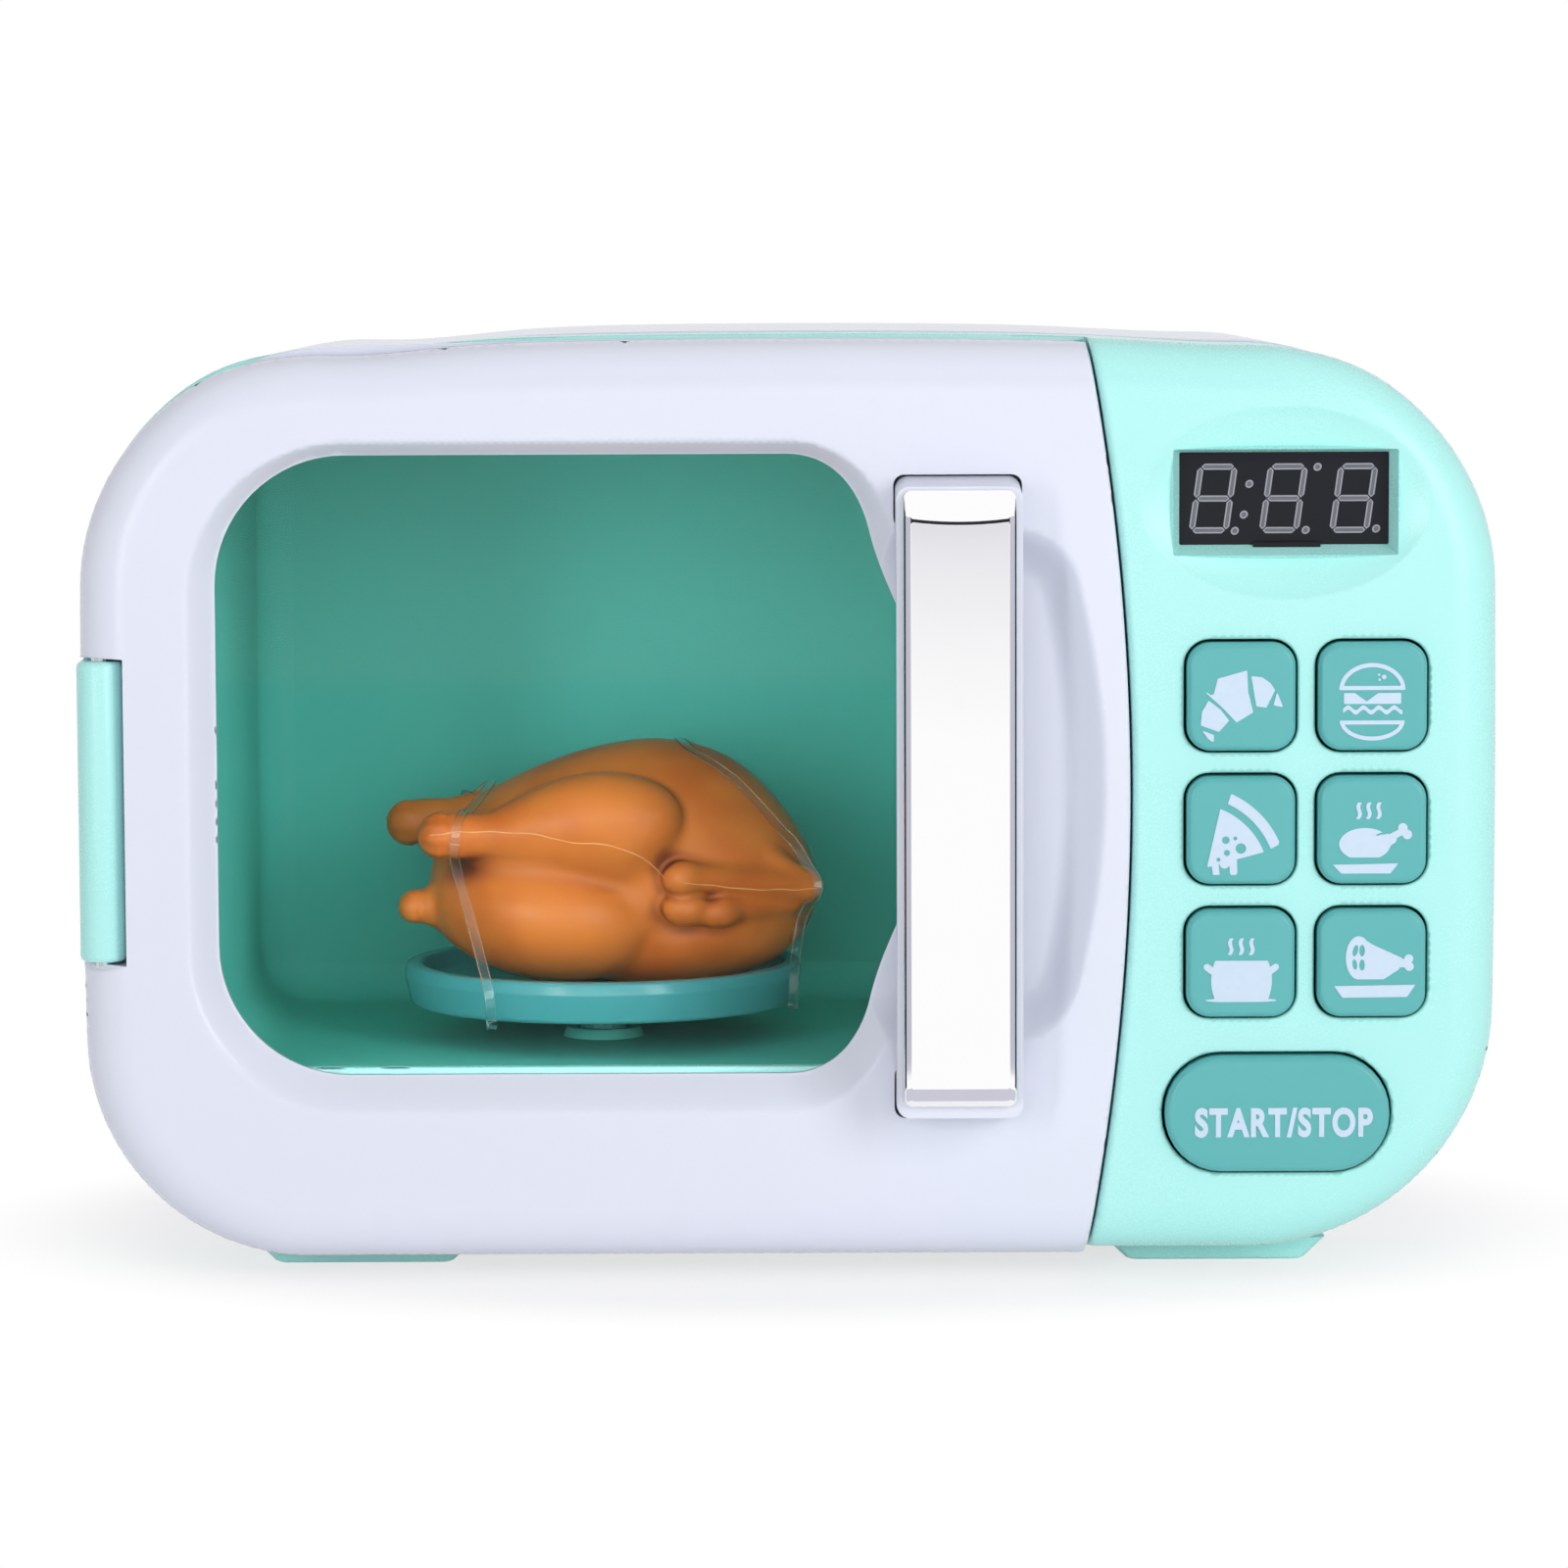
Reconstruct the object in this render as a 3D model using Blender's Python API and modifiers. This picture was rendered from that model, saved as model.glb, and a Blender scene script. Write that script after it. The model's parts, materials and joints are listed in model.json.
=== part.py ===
"""Toy microwave oven: a moulded play oven with a hinged door, a motor-driven turntable with a play
roast on it, seven push buttons and a battery compartment.

Local frame of the drawing: x to the right, y the depth behind the door's front face, z up from the
middle of the body. The root empty carries it into the world, where the origin is the centre of the
bottom of the whole toy. Sizes are in metres.
"""
import math

import bmesh
import bpy
from mathutils import Matrix, Vector

# Body
BODY_WIDTH = 0.2562
BODY_HEIGHT = 0.1684
BODY_DEPTH = 0.150
CORNER_RADIUS = 0.044
LOWER_LEFT_RADIUS = 0.0405
TOP_BOW = 0.0034
SIDE_BOW = 0.0011
PILLOW_WIDTH = 0.0095
PILLOW_DEPTH = 0.0078
INNER_PILLOW_SHARE = 0.64
WALL = 0.0022
FIT_GAP = 0.0003
OVERRUN = 0.0010
FOOT_HEIGHT = 0.003
FOOT_WIDTH = 0.032
FOOT_SLANT = 0.0032
FOOT_LENGTH = 0.016
FRONT_FOOT_DEPTH = 0.0215
REAR_FOOT_FROM_BACK = 0.030
LEFT_FOOT_FROM_SIDE = 0.0501
RIGHT_FOOT_FROM_SIDE = 0.0494
HOUSING_DEPTH = 0.040
COVER_INSET = 0.0005
COVER_ROUND = 0.0065
ARC_STEPS = 7
PILLOW_STEPS = 4
WELD_DISTANCE = 0.00005

# Door
DOOR_THICKNESS = 0.018
DOOR_TO_FRAME_GAP = 0.001
DOOR_INSET = 0.0009
DOOR_FRONT_DEPTH = 0.0155
PANEL_WIDTH = 0.0663
PANEL_EDGE_RISE = 0.0082
DOOR_EDGE_GAP = 0.0005
DOOR_EDGE_DRAFT = 0.0010
DOOR_EDGE_STEPS = 12
BACK_FRAME_INSET = 0.0006
WINDOW_FROM_LEFT = 0.0256
WINDOW_FROM_DOOR_EDGE = 0.0478
WINDOW_FROM_TOP = 0.0221
WINDOW_FROM_BOTTOM = 0.0343
WINDOW_LEFT_RADIUS = 0.0235
WINDOW_RIGHT_RADIUS = 0.0135
WINDOW_BULGE = 0.0150
WINDOW_BULGE_HALF_HEIGHT = 0.051
BEVEL_SIDE = 0.0050
BEVEL_TOP = 0.0027
BEVEL_BOTTOM = 0.0063
RECESS_DEPTH = 0.0050
RIM_THICKNESS = 0.0012
PANE_THICKNESS = 0.0015
PANE_MARGIN = 0.0050
COLLAR_CLEARANCE = 0.0032
SCOOP_FROM_DOOR_EDGE = 0.0038
SCOOP_LEFT_LAP = 0.014
SCOOP_HEIGHT = 0.0936
SCOOP_MIDDLE_SHARE = 0.0403
SCOOP_RADIUS = 0.0105
SCOOP_BOW = 0.0060
SCOOP_RUN = 0.0125
SCOOP_PROFILE_SHARES = ((0.0, 0.0), (0.24, 0.12), (0.5, 0.5), (0.76, 0.88), (1.0, 1.0))
BEVEL_PROFILE_SHARES = ((1.0, 0.0), (0.62, 0.30), (0.28, 0.68), (0.0, 1.0))

# Handle
HANDLE_FROM_DOOR_EDGE = 0.0305
HANDLE_RISE = 0.0005
HANDLE_REACH = 0.016
HANDLE_HEIGHT = 0.1153
HANDLE_WIDTH = 0.0224
HANDLE_LEG = 0.0090
HANDLE_TAPER = 0.0014
HANDLE_BACK = 0.0070
HANDLE_POCKET = 0.0015
BAR_WIDTH = 0.0203
BAR_THICKNESS = 0.0037
BAR_HEIGHT = 0.1097
BAR_RISE = 0.00085
BAR_TOP_FACET = 0.0053
BAR_BOTTOM_FACET = 0.0037
BAR_FACET_DROP = 0.0026
HANDLE_EDGE_ROUND = 0.0012

# Hinge
BARREL_RADIUS = 0.00415
BARREL_INSET = 0.0006
BARREL_HEIGHT = 0.0543
BARREL_MIDDLE_SHARE = -0.0107
HINGE_DEPTH = 0.0050
BARREL_WEB = 0.0052
HINGE_PIN_RADIUS = 0.0015
PIN_CLEARANCE = 0.0002
KNUCKLE_HEIGHT = 0.010
PIN_IN_KNUCKLE = 0.0080
NOTCH_GAP = 0.0005
LATCH_WIDTH = 0.0050
LATCH_HEIGHT = 0.0100
LATCH_REACH = 0.0070
LATCH_THICKNESS = 0.0022
LATCH_BARB = 0.0010
LATCH_FROM_DOOR_EDGE = 0.0120
LATCH_CLEARANCE = 0.0011

# Oven cavity and turntable
CAVITY_FROM_LEFT = 0.0221
CAVITY_FROM_DOOR_EDGE = 0.0265
CAVITY_FROM_TOP = 0.0207
CAVITY_FROM_BOTTOM = 0.0319
CAVITY_RADIUS = 0.010
CAVITY_BACK = 0.0170
LINER_WALL = 0.0018
LINER_FLANGE = 0.0044
PLATE_RADIUS = 0.03825
PLATE_HEIGHT = 0.0073
PLATE_FLOOR = 0.0040
PLATE_RIM = 0.0034
PLATE_EDGE = 0.0007
PLATE_CLEARANCE = 0.0060
SPINDLE_RADIUS = 0.0046
SPINDLE_SOCKET = 0.0022
COLLAR_FOOT_RADIUS = 0.0078
COLLAR_TOP_RADIUS = 0.0069
JOURNAL_RADIUS = 0.0028

# Drive under the cavity
GEAR_MODULE = 0.0015
GEAR_TEETH = 28
PINION_TEETH = 8
GEAR_THICKNESS = 0.0045
GEAR_DROP = 0.0035
GEAR_BACKLASH = 0.0004
ADDENDUM_SHARE = 0.9
DEDENDUM_SHARE = 1.2
PINION_OVERHANG = 0.0008
PRESSURE_ANGLE = math.radians(22.5)
BRACKET_THICKNESS = 0.0016
BRACKET_POST_RADIUS = 0.0030
BRACKET_MARGIN = 0.0040
MOTOR_RADIUS = 0.0110
MOTOR_HEIGHT = 0.0092
MOTOR_BOSS_RADIUS = 0.0038
MOTOR_BOSS_HEIGHT = 0.0012

# Control panel
DISPLAY_FROM_RIGHT = 0.0386
DISPLAY_FROM_TOP = 0.0310
DISH_HALF_WIDTH = 0.0258
DISH_HALF_HEIGHT = 0.0172
DISH_DEPTH = 0.0024
DISH_CAP_ANGLE = math.radians(60)
DISPLAY_OPENING_WIDTH = 0.0403
DISPLAY_OPENING_HEIGHT = 0.0190
DISPLAY_SIGHT_WIDTH = 0.0375
DISPLAY_SIGHT_HEIGHT = 0.0170
DISPLAY_FACE_DEPTH = 0.0045
MODULE_WIDTH = 0.0376
MODULE_HEIGHT = 0.0190
MODULE_THICKNESS = 0.0080
BUTTONS_FROM_RIGHT = 0.03485
BUTTON_PITCH_ACROSS = 0.0235
BUTTON_WIDTH = 0.0204
BUTTON_ROWS = 3
BUTTON_SPACING = 0.0036
ROWS_BELOW_DISPLAY = 0.0149
ROWS_ABOVE_START = 0.0061
BUTTON_RADIUS = 0.0047
BUTTON_GAP = 0.0005
BUTTON_STAND = 0.0023
BUTTON_TRAVEL = 0.0015
BUTTON_EDGE = 0.0006
BUTTON_FLANGE = 0.0008
FLANGE_THICKNESS = 0.0010
STEM_RADIUS = 0.0022
START_FROM_RIGHT = 0.0399
START_FROM_BOTTOM = 0.0275
START_WIDTH = 0.0414
START_HEIGHT = 0.0220
BUTTON_NAMES = ("croissant_button", "burger_button", "pizza_button", "roast_button", "stew_button",
                "ham_button")
BOARD_DEPTH = 0.0145
BOARD_THICKNESS = 0.0016
BOARD_MARGIN = 0.0010
BOARD_POST_RADIUS = 0.0022
SWITCH_SIZE = 0.0060
SWITCH_HEIGHT = 0.0035
SWITCH_CAP_RADIUS = 0.0017
SWITCH_CAP_HEIGHT = 0.0012

# Rear: batteries, loudspeaker and screws
AA_LENGTH = 0.0505
AA_RADIUS = 0.0071
AA_NIPPLE_RADIUS = 0.0027
AA_NIPPLE = 0.0011
AA_COUNT = 3
AA_GAP = 0.0006
CONTACT_ROOM = 0.0032
CONTACT_THICKNESS = 0.0005
CONTACT_SIZE = 0.0090
BOX_WALL = 0.0016
BATTERY_FROM_RIGHT = 0.0531
BATTERY_FROM_BOTTOM = 0.0502
BATTERY_DOOR_MARGIN = 0.0010
BATTERY_DOOR_LIP = 0.0030
BATTERY_DOOR_RADIUS = 0.0030
BATTERY_DOOR_TAB = 0.0060
BATTERY_DOOR_RIB = 0.0010
SPEAKER_FROM_RIGHT = 0.0371
SPEAKER_FROM_TOP = 0.0372
SPEAKER_RADIUS = 0.0140
SPEAKER_THICKNESS = 0.0050
SPEAKER_RING = 0.0016
SLOT_COUNT = 7
SLOT_WIDTH = 0.0016
SLOT_PITCH = 0.0034
SCREW_JOINT_DEPTH = 0.060
POST_RADIUS = 0.0032
SOCKET_WALL = 0.0012
SOCKET_FLOOR = 0.0022
SCREW_HEAD_RADIUS = 0.0026
SCREW_HEAD_HEIGHT = 0.0018
SCREW_CROWN_SHARE = 0.8
SCREW_RADIUS = 0.0014
SCREW_LENGTH = 0.010
TOP_POST_FROM_TOP = 0.0124
BOTTOM_POST_FROM_BOTTOM = 0.0142
LEFT_POSTS_FROM_SIDE = 0.0531
RIGHT_POSTS_FROM_SIDE = 0.0641

# Play roast and its clear tie
ROAST_LENGTH = 0.084
ROAST_TURN = math.radians(14)
ROAST_VOXEL = 0.0016
ROAST_TRIANGLES = 1350
ROAST_REMESHED_TRIANGLES = 13000
TIE_WIDTH = 0.0020
TIE_THICKNESS = 0.0004
TIE_STEPS = 20
TIE_SHARES = ((-0.28, 0.440, 0.360), (0.33, 0.490, 0.325))
TIE_FULLNESS = 0.45

# Places that follow from the sizes
HALF_WIDTH = BODY_WIDTH / 2
HALF_HEIGHT = BODY_HEIGHT / 2
MIDDLE_HEIGHT = FOOT_HEIGHT + HALF_HEIGHT
FRONT_Y = HANDLE_REACH - (HANDLE_REACH + BODY_DEPTH) / 2
DOOR_EDGE = HALF_WIDTH - PANEL_WIDTH
FRAME_FACE = DOOR_THICKNESS + DOOR_TO_FRAME_GAP
CAVITY_LEFT = CAVITY_FROM_LEFT - HALF_WIDTH
CAVITY_RIGHT = DOOR_EDGE - CAVITY_FROM_DOOR_EDGE
CAVITY_TOP = HALF_HEIGHT - CAVITY_FROM_TOP
CAVITY_FLOOR = CAVITY_FROM_BOTTOM - HALF_HEIGHT
CAVITY_END = BODY_DEPTH - CAVITY_BACK
TABLE_X = (CAVITY_LEFT + CAVITY_RIGHT) / 2
TABLE_Y = (FRAME_FACE + CAVITY_END) / 2
HINGE_X = BARREL_RADIUS + BARREL_INSET - HALF_WIDTH
BARREL_Z = BARREL_MIDDLE_SHARE * BODY_HEIGHT
HANDLE_X = DOOR_EDGE - HANDLE_FROM_DOOR_EDGE
PANE_FRONT = RECESS_DEPTH + RIM_THICKNESS + FIT_GAP
PLATE_BASE = CAVITY_FLOOR + PLATE_CLEARANCE
GEAR_TOP = CAVITY_FLOOR - LINER_WALL - GEAR_DROP
BRACKET_TOP = GEAR_TOP - GEAR_THICKNESS - FIT_GAP * 2
GEAR_CENTRES = (GEAR_TEETH + PINION_TEETH) * GEAR_MODULE / 2
BATTERY_X = HALF_WIDTH - BATTERY_FROM_RIGHT
BATTERY_Z = BATTERY_FROM_BOTTOM - HALF_HEIGHT
AA_PITCH = AA_RADIUS * 2 + AA_GAP
BATTERY_WIDTH = AA_LENGTH + CONTACT_ROOM * 2
BATTERY_HEIGHT = AA_PITCH * AA_COUNT + AA_GAP
BATTERY_BOX_DEPTH = AA_RADIUS * 2 + AA_GAP + BOX_WALL
SPEAKER_X = HALF_WIDTH - SPEAKER_FROM_RIGHT
SPEAKER_Z = HALF_HEIGHT - SPEAKER_FROM_TOP
DISPLAY_X = HALF_WIDTH - DISPLAY_FROM_RIGHT
DISPLAY_Z = HALF_HEIGHT - DISPLAY_FROM_TOP
BUTTONS_X = HALF_WIDTH - BUTTONS_FROM_RIGHT
START_X = HALF_WIDTH - START_FROM_RIGHT
START_Z = START_FROM_BOTTOM - HALF_HEIGHT
ROWS_TOP = DISPLAY_Z - DISPLAY_OPENING_HEIGHT / 2 - ROWS_BELOW_DISPLAY
ROWS_BOTTOM = START_Z + START_HEIGHT / 2 + ROWS_ABOVE_START
BUTTON_PITCH_DOWN = (ROWS_TOP - ROWS_BOTTOM + BUTTON_SPACING) / BUTTON_ROWS
BUTTON_HEIGHT = BUTTON_PITCH_DOWN - BUTTON_SPACING
FIRST_ROW_Z = ROWS_TOP - BUTTON_HEIGHT / 2
SCREW_PLACES = tuple((side, height)
                     for side in (LEFT_POSTS_FROM_SIDE - HALF_WIDTH, HALF_WIDTH - RIGHT_POSTS_FROM_SIDE)
                     for height in (HALF_HEIGHT - TOP_POST_FROM_TOP,
                                    BOTTOM_POST_FROM_BOTTOM - HALF_HEIGHT))

# Finishes: colour, roughness, metallic value
FINISHES = {
    "mint_plastic": ((0.48, 0.93, 0.88), 0.30, 0.0),
    "white_plastic": ((0.80, 0.82, 0.92), 0.28, 0.0),
    "teal_plastic": ((0.10, 0.44, 0.43), 0.35, 0.0),
    "liner_plastic": ((0.12, 0.42, 0.36), 0.40, 0.0),
    "chrome": ((0.86, 0.86, 0.88), 0.06, 1.0),
    "steel": ((0.55, 0.56, 0.58), 0.30, 1.0),
    "clear_plastic": ((0.90, 0.93, 0.93), 0.05, 0.0),
    "black_plastic": ((0.02, 0.02, 0.025), 0.35, 0.0),
    "board_green": ((0.02, 0.20, 0.09), 0.45, 0.0),
    "natural_plastic": ((0.78, 0.77, 0.72), 0.45, 0.0),
    "battery_jacket": ((0.08, 0.08, 0.10), 0.30, 0.2),
    "roast_vinyl": ((0.61, 0.19, 0.03), 0.35, 0.0),
}

parts = None
cutters = None
root = None


# Scene set-up
def clear_scene():
    for thing in list(bpy.data.objects):
        bpy.data.objects.remove(thing, do_unlink=True)


def new_collection(name):
    collection = bpy.data.collections.new(name)
    bpy.context.scene.collection.children.link(collection)
    return collection


def finish_material(name):
    """The Principled material of a finish, made on first use."""
    material = bpy.data.materials.get(name)
    if material is None:
        colour, roughness, metallic = FINISHES[name]
        material = bpy.data.materials.new(name)
        material.use_nodes = True
        shader = material.node_tree.nodes["Principled BSDF"]
        shader.inputs["Base Color"].default_value = (*colour, 1.0)
        shader.inputs["Roughness"].default_value = roughness
        shader.inputs["Metallic"].default_value = metallic
    return material


def axis_empty(name, x, y, z):
    """An empty on a joint's axis, which carries the pieces that move about it."""
    empty = bpy.data.objects.new(name, None)
    empty.location = (x, y, z)
    empty.parent = root
    parts.objects.link(empty)
    return empty


def add_part(name, mesh_source, finish, parent=None, smooth_angle=35.0):
    """Make a bmesh a named part, with its finish, under the root or under a moving empty."""
    mesh = bpy.data.meshes.new(name)
    bmesh.ops.recalc_face_normals(mesh_source, faces=mesh_source.faces)
    mesh_source.to_mesh(mesh)
    mesh_source.free()
    thing = bpy.data.objects.new(name, mesh)
    mesh.materials.append(finish_material(finish))
    mesh.shade_smooth()
    mesh.set_sharp_from_angle(angle=math.radians(smooth_angle))
    parts.objects.link(thing)
    thing.parent = parent or root
    if parent:
        thing.matrix_parent_inverse = Matrix.Translation(parent.location).inverted()
    return thing


def add_tool(name, mesh_source):
    """Make a bmesh a cutter, or a piece to be joined on, which is no part by itself."""
    mesh = bpy.data.meshes.new(name)
    bmesh.ops.recalc_face_normals(mesh_source, faces=mesh_source.faces)
    mesh_source.to_mesh(mesh)
    mesh_source.free()
    tool = bpy.data.objects.new(name, mesh)
    tool.hide_render = True
    tool.display_type = "WIRE"
    tool.parent = root
    cutters.objects.link(tool)
    return tool


def boolean(target, tool, operation):
    modifier = target.modifiers.new(tool.name, "BOOLEAN")
    modifier.operation = operation
    modifier.solver = "EXACT"
    modifier.object = tool
    return modifier


def cut(target, name, mesh_source):
    return boolean(target, add_tool(name, mesh_source), "DIFFERENCE")


def join(target, name, mesh_source):
    return boolean(target, add_tool(name, mesh_source), "UNION")


def round_edges(target, width, segments=2, angle=30.0):
    bevel = target.modifiers.new("rounded edges", "BEVEL")
    bevel.width = width
    bevel.segments = segments
    bevel.limit_method = "ANGLE"
    bevel.angle_limit = math.radians(angle)
    return bevel


# Outlines, as lists of (x, z) points, counter-clockwise from the front
def arc(centre_x, centre_z, radius_x, radius_z, start, end, steps):
    """Points of an elliptic arc between two angles in degrees."""
    points = []
    for step in range(steps + 1):
        angle = math.radians(start + (end - start) * step / steps)
        points.append((centre_x + radius_x * math.cos(angle), centre_z + radius_z * math.sin(angle)))
    return points


def side_points(start, end, steps):
    """The points inside a straight side, without its two ends."""
    return [(start[0] + (end[0] - start[0]) * step / steps, start[1] + (end[1] - start[1]) * step / steps)
            for step in range(1, steps)]


def rounded_box(left, right, bottom, top, radii, steps=4, sides=(1, 1, 1, 1)):
    """A rounded rectangle: radii and side counts run right-top, left-top, left-bottom, right-bottom."""
    right_top, left_top, left_bottom, right_bottom = radii
    corners = [
        arc(right - right_top, top - right_top, right_top, right_top, 0, 90, steps),
        arc(left + left_top, top - left_top, left_top, left_top, 90, 180, steps),
        arc(left + left_bottom, bottom + left_bottom, left_bottom, left_bottom, 180, 270, steps),
        arc(right - right_bottom, bottom + right_bottom, right_bottom, right_bottom, 270, 360, steps),
    ]
    points = []
    for number, corner in enumerate(corners):
        following = corners[(number + 1) % len(corners)]
        points += corner
        points += side_points(corner[-1], following[0], sides[number])
    return points


def square(centre_x, centre_z, width, height, radius, steps=4):
    return rounded_box(centre_x - width / 2, centre_x + width / 2, centre_z - height / 2,
                       centre_z + height / 2, (radius,) * 4, steps)


def circle(centre_x, centre_z, radius, steps=16):
    return arc(centre_x, centre_z, radius, radius, 0, 360, steps)[:-1]


def bowed(points):
    """The body's outline swells a little at the middle of its sides and of its top."""
    result = []
    for x, z in points:
        across = x / HALF_WIDTH
        up = z / HALF_HEIGHT
        drop = TOP_BOW * across * across * max(up, 0)
        result.append((x * (1 - SIDE_BOW / HALF_WIDTH * up * up), z - drop))
    return result


def body_outline(inset, steps=ARC_STEPS):
    """The body seen from the front, drawn in by a constant inset."""
    radius = CORNER_RADIUS - inset
    points = rounded_box(inset - HALF_WIDTH, HALF_WIDTH - inset, inset - HALF_HEIGHT, HALF_HEIGHT - inset,
                         (radius, radius, LOWER_LEFT_RADIUS - inset, radius), steps, (7, 3, 1, 3))
    return bowed(points)


def door_edge_x(z):
    """Where the door ends and the panel begins: one long arc, furthest right at mid height."""
    return DOOR_EDGE - PANEL_EDGE_RISE * (z / HALF_HEIGHT) ** 2


def right_of_door(shift):
    """Everything to the right of the door's edge moved by a shift, as an outline."""
    reach = HALF_HEIGHT + PILLOW_WIDTH
    heights = [reach - 2 * reach * step / DOOR_EDGE_STEPS for step in range(DOOR_EDGE_STEPS + 1)]
    edge = [(door_edge_x(z) + shift, z) for z in heights]
    return edge + [(BODY_WIDTH, -reach), (BODY_WIDTH, reach)]


def left_of_door_edge(shift):
    """Everything to the left of the door's edge moved by a shift, as an outline."""
    reach = HALF_HEIGHT + PILLOW_WIDTH
    heights = [2 * reach * step / DOOR_EDGE_STEPS - reach for step in range(DOOR_EDGE_STEPS + 1)]
    edge = [(door_edge_x(z) + shift, z) for z in heights]
    return edge + [(-BODY_WIDTH, reach), (-BODY_WIDTH, -reach)]


def window_outline(side=0.0, top=0.0, bottom=0.0):
    """The window, widened by margins; its right side swells behind the handle."""
    left = WINDOW_FROM_LEFT - HALF_WIDTH - side
    right = DOOR_EDGE - WINDOW_FROM_DOOR_EDGE + side
    low = WINDOW_FROM_BOTTOM - HALF_HEIGHT - bottom
    high = HALF_HEIGHT - WINDOW_FROM_TOP + top
    points = rounded_box(left, right, low, high,
                         (WINDOW_RIGHT_RADIUS + side, WINDOW_LEFT_RADIUS + side,
                          WINDOW_LEFT_RADIUS + side, WINDOW_RIGHT_RADIUS + side), 5, (1, 1, 1, 10))
    middle = (low + high) / 2
    result = []
    for x, z in points:
        rise = (z - middle) / WINDOW_BULGE_HALF_HEIGHT
        if x > right - WINDOW_RIGHT_RADIUS and abs(rise) < 1:
            x += WINDOW_BULGE * math.cos(math.pi / 2 * rise) ** 2
        result.append((x, z))
    return result


def scoop_outline(inset):
    """The finger scoop behind the handle: a rounded box whose right side is bowed."""
    right = DOOR_EDGE - SCOOP_FROM_DOOR_EDGE - inset
    left = DOOR_EDGE - WINDOW_FROM_DOOR_EDGE - SCOOP_LEFT_LAP
    middle = SCOOP_MIDDLE_SHARE * HALF_HEIGHT
    half = SCOOP_HEIGHT / 2 - inset
    radius = max(SCOOP_RADIUS - inset * SCOOP_RADIUS / SCOOP_RUN / 2, SCOOP_RADIUS / 3)
    points = rounded_box(left, right, middle - half, middle + half,
                         (radius, radius / 3, radius / 3, radius), 4, (1, 1, 1, 8))
    result = []
    for x, z in points:
        share = (x - left) / (right - left)
        result.append((x - SCOOP_BOW * share * ((z - middle) / (SCOOP_HEIGHT / 2)) ** 2, z))
    return result


# Solids, as bmesh data
def loft(rings):
    """A closed solid through rings of as many (x, y, z) points each, with flat ends."""
    source = bmesh.new()
    rows = [[source.verts.new(point) for point in ring] for ring in rings]
    for near, far in zip(rows, rows[1:]):
        for number in range(len(near)):
            following = (number + 1) % len(near)
            source.faces.new((near[number], near[following], far[following], far[number]))
    source.faces.new(rows[0])
    source.faces.new(rows[-1])
    return source


def at_depth(points, depth):
    return [(x, depth, z) for x, z in points]


def prism(points, near, far):
    """A flat outline carried from one depth to another."""
    source = bmesh.new()
    face = source.faces.new([source.verts.new(point) for point in at_depth(points, near)])
    grown = bmesh.ops.extrude_face_region(source, geom=[face])
    moved = [item for item in grown["geom"] if isinstance(item, bmesh.types.BMVert)]
    bmesh.ops.translate(source, vec=Vector((0, far - near, 0)), verts=moved)
    return source


def block(left, right, near, far, bottom, top):
    source = bmesh.new()
    bmesh.ops.create_cube(source, size=1.0)
    bmesh.ops.scale(source, vec=Vector((right - left, far - near, top - bottom)), verts=source.verts)
    middle = Vector(((left + right) / 2, (near + far) / 2, (bottom + top) / 2))
    bmesh.ops.translate(source, vec=middle, verts=source.verts)
    return source


def rod(radius, start, end, sides=16, end_radius=None):
    """A cylinder or cone from one point to another."""
    source = bmesh.new()
    run = Vector(end) - Vector(start)
    bmesh.ops.create_cone(source, cap_ends=True, segments=sides, radius1=radius,
                          radius2=radius if end_radius is None else end_radius, depth=run.length)
    turn = Vector((0, 0, 1)).rotation_difference(run).to_matrix().to_4x4()
    place = Matrix.Translation((Vector(start) + Vector(end)) / 2) @ turn
    bmesh.ops.transform(source, matrix=place, verts=source.verts)
    return source


def ball(centre, radii, turn=0.0, tilt=0.0, detail=3):
    """An ellipsoid with three half-axes, tilted in its own upright plane and turned about +Z."""
    source = bmesh.new()
    bmesh.ops.create_icosphere(source, subdivisions=detail, radius=1.0)
    place = (Matrix.Translation(centre) @ Matrix.Rotation(turn, 4, "Z") @ Matrix.Rotation(tilt, 4, "Y")
             @ Matrix.Diagonal((*radii, 1.0)))
    bmesh.ops.transform(source, matrix=place, verts=source.verts)
    return source


def together(sources):
    """Several solids that don't meet, as one mesh."""
    whole = bmesh.new()
    for source in sources:
        mesh = bpy.data.meshes.new("joined")
        bmesh.ops.recalc_face_normals(source, faces=source.faces)
        source.to_mesh(mesh)
        source.free()
        whole.from_mesh(mesh)
        bpy.data.meshes.remove(mesh)
    return whole


def turned(name, profile, finish, place, parent=None, steps=36):
    """A turned solid: a profile of (radius, height) points, top to bottom, with a Screw modifier."""
    source = bmesh.new()
    points = [source.verts.new((radius, 0, height)) for radius, height in profile]
    for upper, lower in zip(points, points[1:]):
        source.edges.new((upper, lower))
    mesh = bpy.data.meshes.new(name)
    source.to_mesh(mesh)
    source.free()
    thing = bpy.data.objects.new(name, mesh)
    mesh.materials.append(finish_material(finish))
    thing.location = place
    thing.parent = parent or root
    if parent:
        thing.matrix_parent_inverse = Matrix.Translation(parent.location).inverted()
    parts.objects.link(thing)
    screw = thing.modifiers.new("turned", "SCREW")
    screw.axis = "Z"
    screw.steps = steps
    screw.render_steps = steps
    screw.use_merge_vertices = True
    screw.merge_threshold = WELD_DISTANCE
    return thing


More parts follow.
